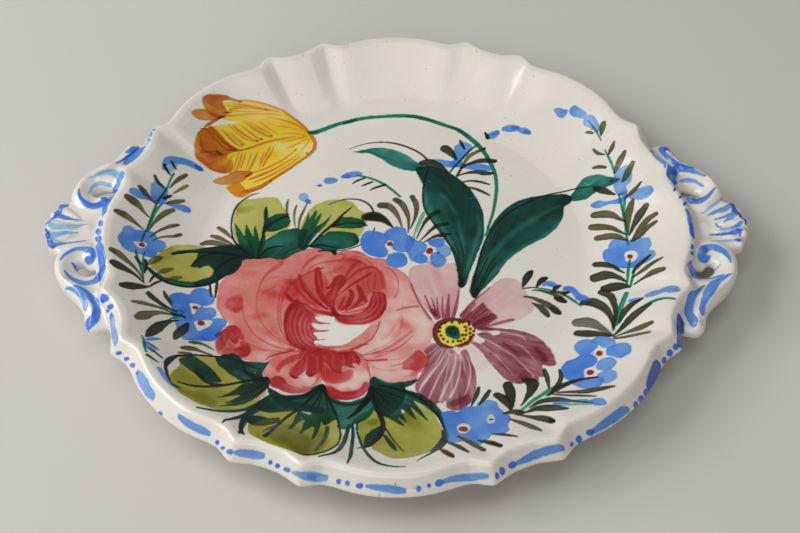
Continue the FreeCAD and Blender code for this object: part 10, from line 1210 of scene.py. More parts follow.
    ('b', 'rim', [(-148.5,27.1,0.41), (-147.9,24,0.71), (-146.4,20.7,1), (-144.3,18.4,1.5), (-141.5,17.1,1.88), (-138.9,17.4,2.12), (-136.7,18.7,1.75), (-135.7,20.7,1.45), (-136.4,22.6,1.35)], {'streak': 0.12, 'pool': 0.1, 'wob': 0.1, 'd': 1.2}),
    ('b', 'rim', [(-152.5,18,0.56), (-154.2,17,1.48), (-155.7,15.2,1.84), (-156,11.9,1.47), (-156.9,9.1,0.79), (-158.6,7.9,0.65)], {'streak': 0.12, 'pool': 0.1, 'wob': 0.1, 'd': 1}),
    ('b', 'rim', [(-157.2,8.7,0.47), (-154.7,9.8,1.47), (-152,9,1.49), (-149.4,8.5,0.95), (-146.9,8.5,0.36), (-144.4,8.1,0.14)], {'streak': 0.12, 'pool': 0.1, 'wob': 0.1, 'd': 1}),
    ('b', 'rimp', [(-159.3,4.2,1.09), (-156.3,3.2,1.4), (-152.6,3,1.58), (-149.2,3.6,1.15), (-145.9,4.4,1.05), (-143.8,5.5,0.61), (-141.8,5.7,0.2)], {'streak': 0.12, 'pool': 0.1, 'wob': 0.1, 'd': 0.9}),
    ('b', 'rimp', [(-158.9,-1.8,1.65), (-154.2,-1.1,0.74), (-150.2,-0,0.61), (-145.3,0.6,0.38)], {'streak': 0.12, 'pool': 0.1, 'wob': 0.1, 'd': 0.8}),
    ('b', 'rim', [(-160.9,4.6,0.55), (-159.4,5.1,0.97), (-158.3,8,0.75)], {'streak': 0.12, 'pool': 0.1, 'wob': 0.1, 'd': 0.6}),
    ('b', 'rim_dark_and_shade', [(-160.6,2.8,0.25), (-160,1.5,0.82), (-157.7,-2.2,0.78)], {'streak': 0.12, 'pool': 0.1, 'wob': 0.1, 'd': 0.9}),
    ('b', 'rim_dark_and_shade', [(-160.6,2.8,0.25), (-159.4,-0.8,0.63), (-157.8,-3,1.01), (-157.2,-5.2,1.42), (-155.5,-7.9,1.12), (-153.7,-7.5,0.56)], {'streak': 0.12, 'pool': 0.1, 'wob': 0.1, 'd': 0.8}),
    ('b', 'rimp', [(-156.9,-2.9,1.45), (-154.6,-2,1.35), (-151,-0.6,1.18), (-148,0,0.95), (-145.2,0.8,0.26)], {'streak': 0.12, 'pool': 0.1, 'wob': 0.1, 'd': 0.75}),
    ('b', 'rim', [(-154.5,-7.4,0.77), (-151.8,-6.5,0.68), (-148.1,-5.6,0.53), (-144.6,-5.1,0.54), (-140.8,-3.7,0.22)], {'streak': 0.12, 'pool': 0.1, 'wob': 0.1, 'd': 0.9}),
    ('b', 'rimp', [(-156.3,-5,1.94), (-153.9,-6.1,1.42), (-151.8,-5.9,0.81)], {'streak': 0.12, 'pool': 0.1, 'wob': 0.1, 'd': 0.8}),
    ('b', 'rim', [(-150.1,-17.2,0.46), (-149,-14.5,0.76), (-146.8,-12.1,0.81), (-144.3,-10.3,0.84), (-141.3,-9.8,0.95), (-138.3,-10.7,1.79), (-136.1,-12.9,1.42), (-135.7,-14.2,1.25), (-136.6,-15.3,1.26), (-138.2,-15.5,1.35), (-139.3,-14.9,0.84)], {'streak': 0.12, 'pool': 0.1, 'wob': 0.1, 'd': 0.95}),
    ('b', 'rim', [(-138.8,-15.2,1), (-136.9,-15.5,1.13), (-136,-14.2,0.82)], {'streak': 0.12, 'pool': 0.1, 'wob': 0.1, 'd': 0.5}),
    ('b', 'rim', [(-145.1,-17.4,0.49), (-143.7,-18.7,0.83), (-142.5,-20.1,0.87)], {'streak': 0.12, 'pool': 0.1, 'wob': 0.1, 'd': 1}),
    ('b', 'rim', [(-147.5,-23.1,0.36), (-145.6,-25.3,0.81), (-142.4,-28.2,1.41), (-139.2,-29.3,1.35), (-136.1,-29.2,1.12), (-133.5,-28.1,1.25), (-132,-25.7,2), (-130.9,-24.2,2.48)], {'streak': 0.12, 'pool': 0.1, 'wob': 0.1, 'd': 0.95}),
    ('b', 'rim', [(-145.7,-32.6,0.3), (-143.2,-33.7,0.52), (-140.4,-35.5,0.8), (-138,-37.5,1.15), (-136.2,-40.2,1.29), (-135.4,-42.6,1.18), (-135.2,-44.7,0.66)], {'streak': 0.12, 'pool': 0.1, 'wob': 0.1, 'd': 0.8}),
    ('b', 'rim', [(-141.8,-32.8,0.36), (-139.3,-34,0.93), (-136.1,-36,1.28), (-133.2,-38.6,1.65), (-131,-42.1,1.68), (-130.2,-46,1.7), (-131,-50.1,2), (-132.8,-51.1,2.34), (-133.7,-50.7,1.39)], {'streak': 0.12, 'pool': 0.1, 'wob': 0.1, 'd': 1.1}),
    ('b', 'rim', [(132.4,54.4,1.54), (130.3,54.7,2.25), (128.8,54,1.88), (128.8,51.5,1.04), (130.2,47.9,1), (132.7,44.1,1.19), (134.8,40.8,1.57), (137.3,38.4,0.83), (141.5,37.8,0.45), (142.7,37,0.18)], {'streak': 0.12, 'pool': 0.1, 'wob': 0.1, 'd': 1.1}),
    ('b', 'rim_dark_and_shade', [(130.5,53.3,1.55), (131.9,53.3,1.33), (133.1,53.6,0.36)], {'streak': 0.12, 'pool': 0.1, 'wob': 0.1, 'd': 0.6, 'soft': 0.2}),
    ('b', 'rim_dark_and_shade', [(133,50,0.4), (134.7,47.3,0.31), (136.7,43.7,0.41), (139.1,40.1,0.24), (140.8,38.6,0.11)], {'streak': 0.12, 'pool': 0.1, 'wob': 0.1, 'd': 0.8}),
    ('b', 'rim', [(145.7,32.8,0.48), (143.7,34,0.59), (141.2,35.7,0.84), (138.5,37.2,1.28), (135.7,38.6,1.52), (132.9,38.9,2.24), (129.8,33.5,2.52), (129,29.5,2.08), (130.9,30.6,1.82)], {'streak': 0.12, 'pool': 0.1, 'wob': 0.1, 'd': 1.1}),
    ('b', 'rim_dark_and_shade', [(132.3,36.4,0.89), (132.8,38,0.55)], {'streak': 0.12, 'pool': 0.1, 'wob': 0.1, 'd': 0.5, 'soft': 0.4}),
    ('b', 'rim', [(134.4,31.5,0.67), (136.8,32,1.01), (139.2,31.8,0.99), (141.5,30.9,0.73), (143.4,29.2,0.59), (144.6,27.8,0.38)], {'streak': 0.12, 'pool': 0.1, 'wob': 0.1, 'd': 0.8}),
    ('b', 'rim', [(149.2,24.8,0.42), (147.1,22.5,0.89), (144.9,20.1,1.34), (142.7,18.9,1.96), (140,17.4,2.21), (137.2,17.4,1.59), (135.9,18.6,1.03)], {'streak': 0.12, 'pool': 0.1, 'wob': 0.1, 'd': 1.1}),
    ('b', 'rimp', [(152.5,20,0.62), (148.9,16.2,0.59), (145.9,13.9,0.61), (143.3,11.7,0.49), (141.4,10.3,0.32)], {'streak': 0.12, 'pool': 0.1, 'wob': 0.1, 'd': 0.9}),
    ('b', 'rim', [(143.7,8.9,0.25), (146.7,10.3,1.07), (149.6,11.2,1.65), (152.8,12.8,1.67), (154.8,14.9,1.15), (154.8,16,0.54)], {'streak': 0.12, 'pool': 0.1, 'wob': 0.1, 'd': 0.85}),
    ('b', 'rim_dark_and_shade', [(154.8,16,0.41), (156.1,13.2,1.18), (156.3,9.4,1.24), (157.8,7.2,0.84), (159.3,4,0.86), (159.6,1.3,0.35)], {'streak': 0.12, 'pool': 0.1, 'wob': 0.1, 'd': 0.85}),
    ('b', 'rim', [(146.2,5.7,0.37), (148.7,6.1,0.85), (151.7,7,0.94), (154.4,8.8,0.79)], {'streak': 0.12, 'pool': 0.1, 'wob': 0.1, 'd': 0.8}),
    ('b', 'rim', [(149.8,2.7,0.25), (152.7,5.4,1), (155.8,7.5,1.01)], {'streak': 0.12, 'pool': 0.1, 'wob': 0.1, 'd': 0.8}),
    ('b', 'rimp', [(148.1,-0.9,0.57), (151.8,-1.4,0.61), (154.9,-0.3,1.24), (157.4,1.7,0.88)], {'streak': 0.12, 'pool': 0.1, 'wob': 0.1, 'd': 0.9}),
    ('b', 'rim', [(146.3,3.2,0.43), (146.9,1.4,0.56), (148.3,-0.1,0.27), (151.6,-0.8,0.21), (154.7,0.5,0.69), (157.5,2.1,0.81)], {'streak': 0.12, 'pool': 0.1, 'wob': 0.1, 'd': 0.95}),
    ('b', 'rim', [(142.9,-2.8,0.37), (148.7,-3.8,0.56), (153.1,-3.2,1.07), (155.9,-2.7,1.1), (157.3,-2.2,0.61)], {'streak': 0.12, 'pool': 0.1, 'wob': 0.1, 'd': 0.9}),
    ('b', 'rim', [(142.7,-3.6,0.19), (146.2,-3.2,0.53), (149.7,-3.9,0.71), (153.1,-2.9,1.1), (155.6,-2.9,0.84)], {'streak': 0.12, 'pool': 0.1, 'wob': 0.1, 'd': 0.85}),
    ('b', 'rim_dark_and_shade', [(155.3,-1.9,0.6), (156.2,-3.6,0.65), (155.8,-5.4,0.29)], {'streak': 0.12, 'pool': 0.1, 'wob': 0.1, 'd': 0.8}),
    ('b', 'rimp', [(142.1,-8.1,0.24), (146.1,-7.8,0.59), (149.9,-7.3,0.76), (152.9,-7.7,0.8), (154.4,-8,0.88)], {'streak': 0.12, 'pool': 0.1, 'wob': 0.1, 'd': 0.9}),
    ('b', 'rim_dark_and_shade', [(153.5,-7.3,0.3), (155,-8.1,1.06)], {'streak': 0.12, 'pool': 0.1, 'wob': 0.1, 'd': 0.7}),
    ('b', 'rim', [(149.1,-21.5,0.44), (148.5,-18.3,0.87), (147.2,-15.2,1.3), (145.1,-13,1.44), (142.5,-11.4,1.28), (139.7,-11.9,1.63), (137.2,-15.1,1.82), (136.8,-16.8,1.58), (137.8,-17.3,1.48), (140.1,-16.5,0.98), (140.8,-16.1,0.54)], {'streak': 0.12, 'pool': 0.1, 'wob': 0.1, 'd': 1.05}),
    ('b', 'rim', [(142.8,-22.1,0.34), (143.5,-22.1,0.32), (144.9,-21.2,0.16)], {'streak': 0.12, 'pool': 0.1, 'wob': 0.1, 'd': 0.95}),
    ('b', 'rim', [(130.5,-25.3,1.8), (132,-24.8,2.46), (133.8,-26.9,2.43), (136.5,-27.7,0.9), (139.1,-28.3,0.89), (142.2,-27.8,0.64), (145.1,-27.3,0.38)], {'streak': 0.12, 'pool': 0.1, 'wob': 0.1, 'd': 1}),
    ('b', 'rim', [(148.6,-28.2,0.25), (146.2,-29,0.95), (143.5,-30.2,1.76), (140.3,-33,2.28), (136.9,-38.4,2.28), (135.1,-41.1,1.68), (133.5,-44.4,1.39), (132.7,-47.2,1.4), (132.4,-49.6,0.91)], {'streak': 0.12, 'pool': 0.1, 'wob': 0.1, 'd': 0.95}),
    ('b', 'rim', [(136.2,-33.2,0.24), (134.2,-34.6,0.77), (131.3,-38.6,0.88), (129.1,-41.3,1.62), (127.6,-44.5,1.83), (126.9,-47.7,1.89), (127.4,-50.7,1.92), (128.2,-53.4,1.87), (128.2,-55,1.01)], {'streak': 0.12, 'pool': 0.1, 'wob': 0.1, 'd': 0.95}),
    ('b', 'rim', [(-129.5,53.6,1.19), (-127.8,55.3,1.28), (-126.3,57.2,1.16), (-125,58.7,0.67)], {'streak': 0.12, 'pool': 0.1, 'wob': 0.1, 'd': 1}),
    ('b', 'rim_dark_and_shade', [(-133.2,44.7,0.4), (-130.4,48.7,0.39), (-127.8,52.7,0.36), (-124.9,57.8,0.39)], {'streak': 0.12, 'pool': 0.1, 'wob': 0.1, 'd': 0.9}),
    ('b', 'rim', [(-129.6,45.9,1.09), (-128.1,48,2.38), (-125.6,51.8,2.61), (-123.5,55.7,2.01), (-121.5,58,1.25), (-119.1,54.8,0.48)], {'streak': 0.12, 'pool': 0.1, 'wob': 0.1, 'd': 0.9}),
    ('w', 'rim', [(-117.9,57.2), (-118.5,58.4), (-119.4,60.1), (-120.8,63.1), (-121.1,63.1), (-120.8,61.6), (-119.7,58.1), (-118.7,56), (-118,55.8), (-117.8,56.2)], {'d': 0.9, 'pool': 0.15, 'wob': 0.12}),
    ('w', 'rim', [(-117.4,60), (-117.4,61.3), (-117.6,62.3), (-118.3,63.3), (-119.1,64), (-119.6,64), (-119.8,63.3), (-119.1,60.7), (-118.3,59.3), (-117.6,59.1)], {'d': 0.8, 'pool': 0.15, 'wob': 0.12}),
    ('w', 'rim', [(-116.4,63.7), (-116.6,64.1), (-117.2,64.6), (-117.9,64.8), (-118.1,64.6), (-118.4,64.5), (-117.9,63.5), (-117.3,62.8), (-116.8,62.8), (-116.5,63.2)], {'d': 0.9, 'pool': 0.15, 'wob': 0.12}),
    ('b', 'wht', [(1.6,-37.7,2.87), (7.9,-38.9,4.45), (12.9,-44.1,2.89)], {'d': 0.34, 'cut': 0.9, 'soft': 1.8, 'pool': 0}),
    ('b', 'wht', [(-7.6,-56.2,1.65), (1.1,-53.5,2.77), (10.3,-53.1,2.78)], {'d': 0.28, 'cut': 0.9, 'soft': 1.8, 'pool': 0}),
    ('b', 'wht', [(-8.8,-66.6,1.32), (-2.4,-69.6,2.12), (4.3,-71.3,1.59)], {'d': 0.26, 'cut': 0.9, 'soft': 1.8, 'pool': 0}),
    ('b', 'wht', [(-1.4,-14.3,1.48), (1.7,-22.2,2.12), (3,-31,1.36)], {'d': 0.2, 'cut': 0.9, 'soft': 1.8, 'pool': 0}),
    ('b', 'wht', [(-76.4,-30.3,1.67), (-72.9,-32.1,2.6), (-69.4,-31.5,1.47)], {'d': 0.26, 'cut': 0.9, 'soft': 1.8, 'pool': 0}),
    ('b', 'wht', [(-67.3,-12.2,1.22), (-59.2,-9.8,2.46), (-51,-9.3,1.53)], {'d': 0.2, 'cut': 0.9, 'soft': 1.8, 'pool': 0}),
    ('b', 'wht', [(-66.2,-38.8,1.95), (-59.3,-41.4,2.87), (-54,-38.3,1.7)], {'d': 0.2, 'cut': 0.9, 'soft': 1.8, 'pool': 0}),
    ('b', 'wht', [(-51.6,-19,1.45), (-47.9,-20.5,1.45)], {'d': 0.16, 'cut': 0.9, 'soft': 1.8, 'pool': 0}),
    ('b', 'crm', [(0.3,-36,0.14), (4.8,-34.3,0.23), (9.7,-34,0.2)], {'d': 0.483, 'soft': 0.4}),
    ('b', 'crm', [(-9.3,-62.5,0.13), (-0.6,-58.5,0.18), (7.1,-50.8,0.13)], {'d': 0.483, 'soft': 0.4}),
    ('b', 'crm', [(-10.4,-60.1,0.14), (-2.8,-57.4,0.16), (4.7,-50.8,0.13)], {'d': 0.483, 'soft': 0.4}),
    ('b', 'wht', [(-2.8,-31.6,1.73), (3,-33.4,3.01), (8.5,-40.6,4.19), (11.7,-49.2,3.3), (8.1,-53.1,2.54)], {'d': 0.36, 'cut': 0.9, 'soft': 2, 'pool': 0}),
    ('b', 'wht', [(-4.6,-16.7,1.1), (0.6,-22.2,1.89), (5.7,-28.1,1.86)], {'d': 0.2, 'cut': 0.9, 'soft': 2, 'pool': 0}),
    ('b', 'wht', [(-6.1,-54,1.38), (1.6,-52.4,2.5), (8.6,-51.9,2.79)], {'d': 0.2, 'cut': 0.9, 'soft': 2, 'pool': 0}),
    ('b', 'wht', [(-12.7,-70.9,1.07), (-7.5,-70.4,1.87), (0.4,-73.1,1.84)], {'d': 0.24, 'cut': 0.9, 'soft': 2, 'pool': 0}),
    ('b', 'crm', [(0.5,-36.2,0.11), (5,-34.6,0.17), (9.9,-34,0.17)], {'d': 0.483, 'soft': 0.4}),
    ('b', 'crm', [(-15.8,-61.4,0.14), (-6.1,-58.5,0.19), (1.6,-52.7,0.16), (6.7,-48.3,0.11)], {'d': 0.483, 'soft': 0.4}),
    ('b', 'crm', [(-14.7,-63.6,0.14), (-9.3,-63.9,0.22), (-4.5,-64.2,0.19)], {'d': 0.483, 'soft': 0.4}),
]

# ------------------------------------------------------------ dish shape ---
R_WELL, R_CREST, R_RIM = 86.0, 133.0, 139.0
Z_WELL, Z_CREST, Z_EDGE, WALL = 8.0, 25.7, 17.3, 5.0
PITCH, CORNER, DIP, HOLLOW = 45.0, 16.2, 3.3, 3.8

_half = [(0.0, -0.30), (3.0, -0.50), (6.0, -1.15), (9.0, -0.73 * DIP),
         (11.0, -0.97 * DIP), (CORNER - 3.9, -DIP),
         (CORNER - 2.6, -0.76 * DIP), (CORNER - 1.4, -0.33 * DIP),
         (CORNER, 0.0), (CORNER + 1.4, -0.29 * HOLLOW),
         (CORNER + 2.8, -0.66 * HOLLOW), (CORNER + 4.3, -0.92 * HOLLOW),
         (PITCH / 2, -HOLLOW)]
_all = _half + [(PITCH - a, v) for a, v in reversed(_half[1:-1])]


def _pchip(xs, ys, x, periodic=None):
    """Smooth curve through knots with no overshoot."""
    xs = np.asarray(xs, float)
    ys = np.asarray(ys, float)
    if periodic:
        xs = np.concatenate([xs[-2:] - periodic, xs, xs[:2] + periodic])
        ys = np.concatenate([ys[-2:], ys, ys[:2]])
        x = np.mod(x - 1e-9, periodic)
    h = np.diff(xs)
    d = np.diff(ys) / h
    m = np.zeros_like(ys)
    m[1:-1] = np.where(d[:-1] * d[1:] > 0,
                       2 * d[:-1] * d[1:] / (d[:-1] + d[1:] + 1e-12), 0)
    m[0], m[-1] = d[0], d[-1]
    k = np.clip(np.searchsorted(xs, x) - 1, 0, len(xs) - 2)
    s = np.clip((x - xs[k]) / h[k], 0, 1)
    return ((2 * s ** 3 - 3 * s ** 2 + 1) * ys[k]
            + (s ** 3 - 2 * s ** 2 + s) * m[k] * h[k]
            + (-2 * s ** 3 + 3 * s ** 2) * ys[k + 1]
            + (s ** 3 - s ** 2) * m[k + 1] * h[k])


def scallop(th):
    """How far the rim draws in at an angle, in millimetres (th in radians)."""
    deg = np.degrees(th)
    base = _pchip([a for a, v in _all], [v for a, v in _all], deg, PITCH)
    # every lobe was trimmed and sponged by hand
    hand = 0.28 * np.sin(3 * th + 0.7) + 0.22 * np.sin(5 * th + 2.1) \
        + 0.12 * np.sin(11 * th + 0.4)
    return base + hand - 0.35


def stations():
    """Profile of the dish: radius, height, share of the scallop."""
    rise, run = Z_CREST - Z_WELL, R_CREST - R_WELL
    top = [(0.0, Z_WELL, 0.0), (40.0, Z_WELL, 0.0), (66.0, Z_WELL, 0.0),
           (76.0, Z_WELL, 0.0), (82.0, Z_WELL, 0.0), (84.0, Z_WELL, 0.0)]
    for f, g, w in [(0.02, 0.004, 0.0), (0.09, 0.030, 0.02),
                    (0.17, 0.083, 0.08), (0.30, 0.187, 0.24),
                    (0.43, 0.316, 0.46), (0.56, 0.464, 0.66),
                    (0.69, 0.625, 0.82), (0.81, 0.790, 0.92),
                    (0.90, 0.910, 0.97), (0.958, 0.978, 1.0)]:
        top.append((R_WELL + f * run, Z_WELL + g * rise, w))
    top += [(R_CREST, Z_CREST, 1.0), (R_CREST + 1.7, Z_CREST - 0.85, 1.0),
            (R_CREST + 3.0, Z_CREST - 2.9, 0.98),
            (R_CREST + 4.2, Z_CREST - 5.2, 0.96),
            (R_RIM - 0.65, Z_EDGE + 1.5, 0.94)]
    rest = [(R_RIM, Z_EDGE, 0.93), (R_RIM - 0.75, Z_EDGE - 1.45, 0.93),
            (R_RIM - 2.4, Z_EDGE - 1.75, 0.93),
            (R_CREST + 1.6, Z_EDGE + 0.6, 0.95),
            (R_CREST - 0.6, Z_EDGE + 2.1, 0.97),
            (R_CREST - 3.2, Z_EDGE + 2.2, 0.97),
            (R_CREST - 7.4, Z_EDGE + 0.5, 0.93),
            (R_CREST - 12.6, Z_EDGE - 2.3, 0.82),
            (R_CREST - 19.0, Z_EDGE - 6.0, 0.60),
            (R_CREST - 26.0, Z_WELL - WALL + 5.4, 0.32),
            (R_CREST - 32.5, Z_WELL - WALL + 2.5, 0.10),
            (R_CREST - 39.0, Z_WELL - WALL + 0.75, 0.0),
            (R_WELL + 2.0, Z_WELL - WALL + 0.10, 0.0),
            (R_WELL - 2.0, Z_WELL - WALL, 0.0),
            (R_WELL - 7.0, Z_WELL - WALL, 0.0),
            (R_WELL - 14.0, Z_WELL - WALL, 0.0),
            (40.0, Z_WELL - WALL, 0.0), (0.0, Z_WELL - WALL, 0.0)]
    return np.array(top + rest), len(top)


STN, N_TOP = stations()
_seg = np.hypot(*np.diff(STN[:, :2], axis=0).T)
S_AT = np.concatenate([[0.0], np.cumsum(_seg)])       # run along the profile
S_CREST = S_AT[[i for i, r in enumerate(STN) if r[0] == R_CREST][0]]
S_EDGE = S_AT[[i for i, r in enumerate(STN) if r[0] == R_RIM][0]]


def profile(s):
    """Radius, height and scallop share along the run of the profile."""
    return tuple(_pchip(S_AT, STN[:, c], s) for c in range(3))


def dish_point(s, th):
    r, z, w = profile(s)
    d = scallop(th)
    r = r + w * d
    # the crest dips a little between the corners, and no throw is quite level
    lift = w * (0.16 * d + 0.5 + 0.20 * np.sin(2 * th + 1.0)
                + 0.12 * np.sin(7 * th)) * np.clip((r - 100) / 33, 0, 1) * 0.6
    x, y = r * np.cos(th), r * np.sin(th)
    soft = 0.05 * vnoise(x / 23.0, y / 23.0, 71) \
        + 0.025 * vnoise(x / 8.0, y / 8.0, 72)
    return x, y, z + lift + soft


def mesh_from(name, verts, faces_list, smooth=True):
    """A mesh from a vertex array (mm) and a list of quad or triangle arrays."""
    me = bpy.data.meshes.new(name)
    me.vertices.add(len(verts))
    me.vertices.foreach_set("co", (np.asarray(verts, np.float32)
                                   * MM).ravel())
    loops = np.concatenate([f.ravel() for f in faces_list]).astype(np.int32)
    sizes = np.concatenate([np.full(len(f), f.shape[1], np.int32)
                            for f in faces_list])
    starts = np.concatenate([[0], np.cumsum(sizes)[:-1]]).astype(np.int32)
    me.loops.add(len(loops))
    me.loops.foreach_set("vertex_index", loops)
    me.polygons.add(len(sizes))
    me.polygons.foreach_set("loop_start", starts)
    me.polygons.foreach_set("loop_total", sizes)
    me.update(calc_edges=True)
    me.validate()
    if smooth:
        me.polygons.foreach_set("use_smooth", np.ones(len(me.polygons), bool))
    ob = bpy.data.objects.new(name, me)
    bpy.context.scene.collection.objects.link(ob)
    return ob


def build_dish():
    m = 356
    n = 2 * m + 1
    g = np.linspace(-1, 1, n)
    a, b = np.meshgrid(g, g)
    wide = np.abs(a) > np.abs(b)
    with np.errstate(divide="ignore", invalid="ignore"):
        rad = np.where(wide, a, b)
        ang = np.where(wide, np.pi / 4 * b / np.where(a == 0, 1, a),
                       np.pi / 2 - np.pi / 4 * a / np.where(b == 0, 1, b))
    th = np.where(rad < 0, ang + np.pi, ang)
    rho = np.abs(rad)
    s = rho * S_CREST
    x, y, z = dish_point(s.ravel(), th.ravel())
    verts = [np.c_[x, y, z]]
    idx = np.arange(n * n).reshape(n, n)
    quads = [np.stack([idx[:-1, :-1], idx[:-1, 1:], idx[1:, 1:],
                       idx[1:, :-1]], -1).reshape(-1, 4)]
    tris = []
    ring = np.concatenate([idx[0, :-1], idx[:-1, -1], idx[-1, :0:-1],
                           idx[:0:-1, 0]])
    ring_th = th.ravel()[ring]
    count = n * n
    painted = [np.ones(n * n, bool)]

    def add_ring(s_value, angles, top):
        nonlocal count
        px, py, pz = dish_point(np.full(len(angles), s_value), angles)
        verts.append(np.c_[px, py, pz])
        painted.append(np.full(len(angles), top))
        new = np.arange(count, count + len(angles))
        count += len(angles)
        return new

    def stitch(inner, outer):
        quads.append(np.stack([inner, outer, np.roll(outer, -1),
                               np.roll(inner, -1)], -1))

    step = 0.36
    k = int((S_EDGE - S_CREST + 3.2) / step)
    last = ring
    for sv in S_CREST + np.arange(1, k + 1) * step:
        new = add_ring(sv, ring_th, sv < S_EDGE + 0.6)
        stitch(last, new)
        last = new
    # the underside needs fewer and fewer points towards the middle
    s_now = S_CREST + k * step
    s_end = S_AT[-1]
    angles = ring_th
    plan = [(0.8, 10.0), (1.1, 40.0), (2.2, 95.0), (4.0, s_end - s_now - 8.0)]
    begun = s_now
    for leg, (gap, until) in enumerate(plan):
        if len(angles) % 2 == 0:
            half = angles[::2]
            s_now += gap
            new = add_ring(s_now, half, False)
            a0, a1, a2 = last[0::2], last[1::2], np.roll(last, -2)[0::2]
            b0, b1 = new, np.roll(new, -1)
            tris.append(np.stack([a0, b0, a1], -1))
            tris.append(np.stack([a1, b0, b1], -1))
            tris.append(np.stack([a1, b1, a2], -1))
            last, angles = new, half
        while s_now - begun < until:
            s_now += gap
            new = add_ring(min(s_now, s_end - 2.0), angles, False)
            stitch(last, new)
            last = new
    px, py, pz = dish_point(np.array([s_end]), np.array([0.0]))
    verts.append(np.c_[px, py, pz])
    painted.append(np.zeros(1, bool))
    centre = count
    tris.append(np.stack([last, np.full(len(last), centre),
                          np.roll(last, -1)], -1))
    v = np.vstack(verts)
    p = np.concatenate(painted)
    ob = mesh_from("dish_body", v, quads + tris)
    return ob, v, p


# ---------------------------------------------------------- handle shape ---
HALF_OUTLINE = [
    (127.4, 58.4), (130.0, 58.3), (132.6, 56.4), (133.9, 53.4), (134.6, 50.4),
    (136.2, 47.0), (138.7, 43.6), (141.7, 40.5), (144.8, 37.5), (147.7, 34.2),
    (150.2, 30.4), (151.9, 26.2), (152.8, 21.9), (152.8, 18.8), (152.2, 16.6),
    (153.6, 15.2), (156.2, 14.2), (157.5, 12.2), (157.0, 10.6), (158.7, 9.2),
    (160.0, 6.4), (159.3, 4.4), (160.4, 3.0), (161.1, 0.0)]


def seg_dist(px, py, pts, closed=False):
    """Distance to a polyline, and the run along it of the nearest point."""
    best = np.full(px.shape, 1e9)
    at = np.zeros(px.shape)
    run = 0.0
    m = len(pts)
    for k in range(m if closed else m - 1):
        ax, ay = pts[k][:2]
        bx, by = pts[(k + 1) % m][:2]
        dx, dy = bx - ax, by - ay
        l2 = dx * dx + dy * dy + 1e-12
        t = np.clip(((px - ax) * dx + (py - ay) * dy) / l2, 0, 1)
        d = np.hypot(px - ax - t * dx, py - ay - t * dy)
        near = d < best
        best = np.where(near, d, best)
        at = np.where(near, run + t * math.sqrt(l2), at)
        run += math.sqrt(l2)
    return best, at, run


def inside_poly(px, py, pts):
    hit = np.zeros(px.shape, bool)
    m = len(pts)
    for k in range(m):
        ax, ay = pts[k][:2]
        bx, by = pts[(k + 1) % m][:2]
        if ay == by:
            continue
        cross = (py > min(ay, by)) & (py <= max(ay, by))
        hit ^= cross & (px < ax + (py - ay) * (bx - ax) / (by - ay))
    return hit


def ridge(px, py, pts, height, width):
    """Raised roll along a path; pts rows are x, y, scale."""
    c = spline(pts, 0.8)
    d, at, run = seg_dist(px, py, c)
    seg = np.hypot(*(c[1:, :2] - c[:-1, :2]).T)
    s = np.interp(at, np.concatenate([[0], np.cumsum(seg)]), c[:, 2])
    return height * s * np.exp(-(d / (width * (0.45 + 0.55 * s))) ** 2)


def handle_top(px, py):
    """Height of the moulded relief of the right-hand handle."""
    out = np.clip((px - 136.0) / 22.0, 0, 1)
    z = 19.7 + 1.9 * out * np.exp(-(py / 34.0) ** 2) \
        - 1.0 * np.clip((np.abs(py) - 40) / 18, 0, 1)
    ay = np.abs(py)
    sg = np.where(py >= 0, 1.0, -1.0)
    # the two scrolls
    z = z + ridge(px, ay, [(131.0, 39.5, 0.55), (136.5, 38.6, 0.85),
                           (142.6, 36.2, 1.0), (147.6, 30.6, 1.05),
                           (149.4, 24.0, 1.0), (147.6, 17.6, 0.95),
                           (143.4, 13.2, 0.9), (139.0, 12.6, 0.85),
                           (135.8, 15.4, 0.8)], 2.0, 3.2)
    eye = np.hypot(px - 137.4, ay - 17.6)
    z = z + 1.7 * np.exp(-(eye / 2.5) ** 2)
    bowl = np.hypot((px - 138.0) / 5.4, (ay - 24.6) / 4.6)
    z = z - 2.3 * np.exp(-bowl ** 3.0)
    back = ridge(px, ay, [(141.0, 31.6, 0.7), (137.0, 32.4, 0.9),
                          (132.6, 31.0, 0.8), (131.0, 27.0, 0.6)], 0.9, 1.7)
    z = z + back
    # the shell between them
    hx, hy = px - 139.6, py * 1.0
    rr = np.hypot(hx, hy)
    an = np.degrees(np.arctan2(hy, np.maximum(hx, 0.01)))
    fan = np.clip((rr - 4.0) / 7.0, 0, 1) * np.clip((47 - np.abs(an)) / 6, 0, 1)
    flute = 1 - np.abs(np.sin(np.radians(an * 180.0 / 17.5 + 0.0))) ** 1.0
    comb = np.abs(np.cos(np.radians((an) * 180.0 / 17.5)))
    z = z + fan * (1.0 * comb ** 0.9 - 0.15)
    z = z + 0.7 * fan * np.exp(-(an / 26.0) ** 2)
    hub = np.hypot(px - 141.5, py)
    z = z + 0.8 * np.exp(-(hub / 3.0) ** 2)
    # leaf at each end
    z = z + ridge(px, ay, [(143.4, 33.6, 0.35), (138.6, 37.4, 0.8),
                           (134.2, 42.6, 1.0), (131.2, 48.6, 1.05),
                           (130.0, 53.8, 1.0)], 1.7, 2.0)
    z = z + ridge(px, ay, [(149.0, 30.0, 0.2), (143.0, 36.2, 0.6),
                           (138.4, 40.8, 0.8), (135.6, 45.4, 0.8),
                           (133.4, 50.6, 0.6)], 1.2, 1.4)
    return z


def hole_field(px, py):
    """Negative inside the two pierced holes."""
    ay = np.abs(py)
    c = spline([(133.9, 24.4), (136.0, 24.9), (138.4, 24.4), (140.6, 22.7)],
               0.6)
    d, _, _ = seg_dist(px, ay, c)
    w = 2.0
    return d - w


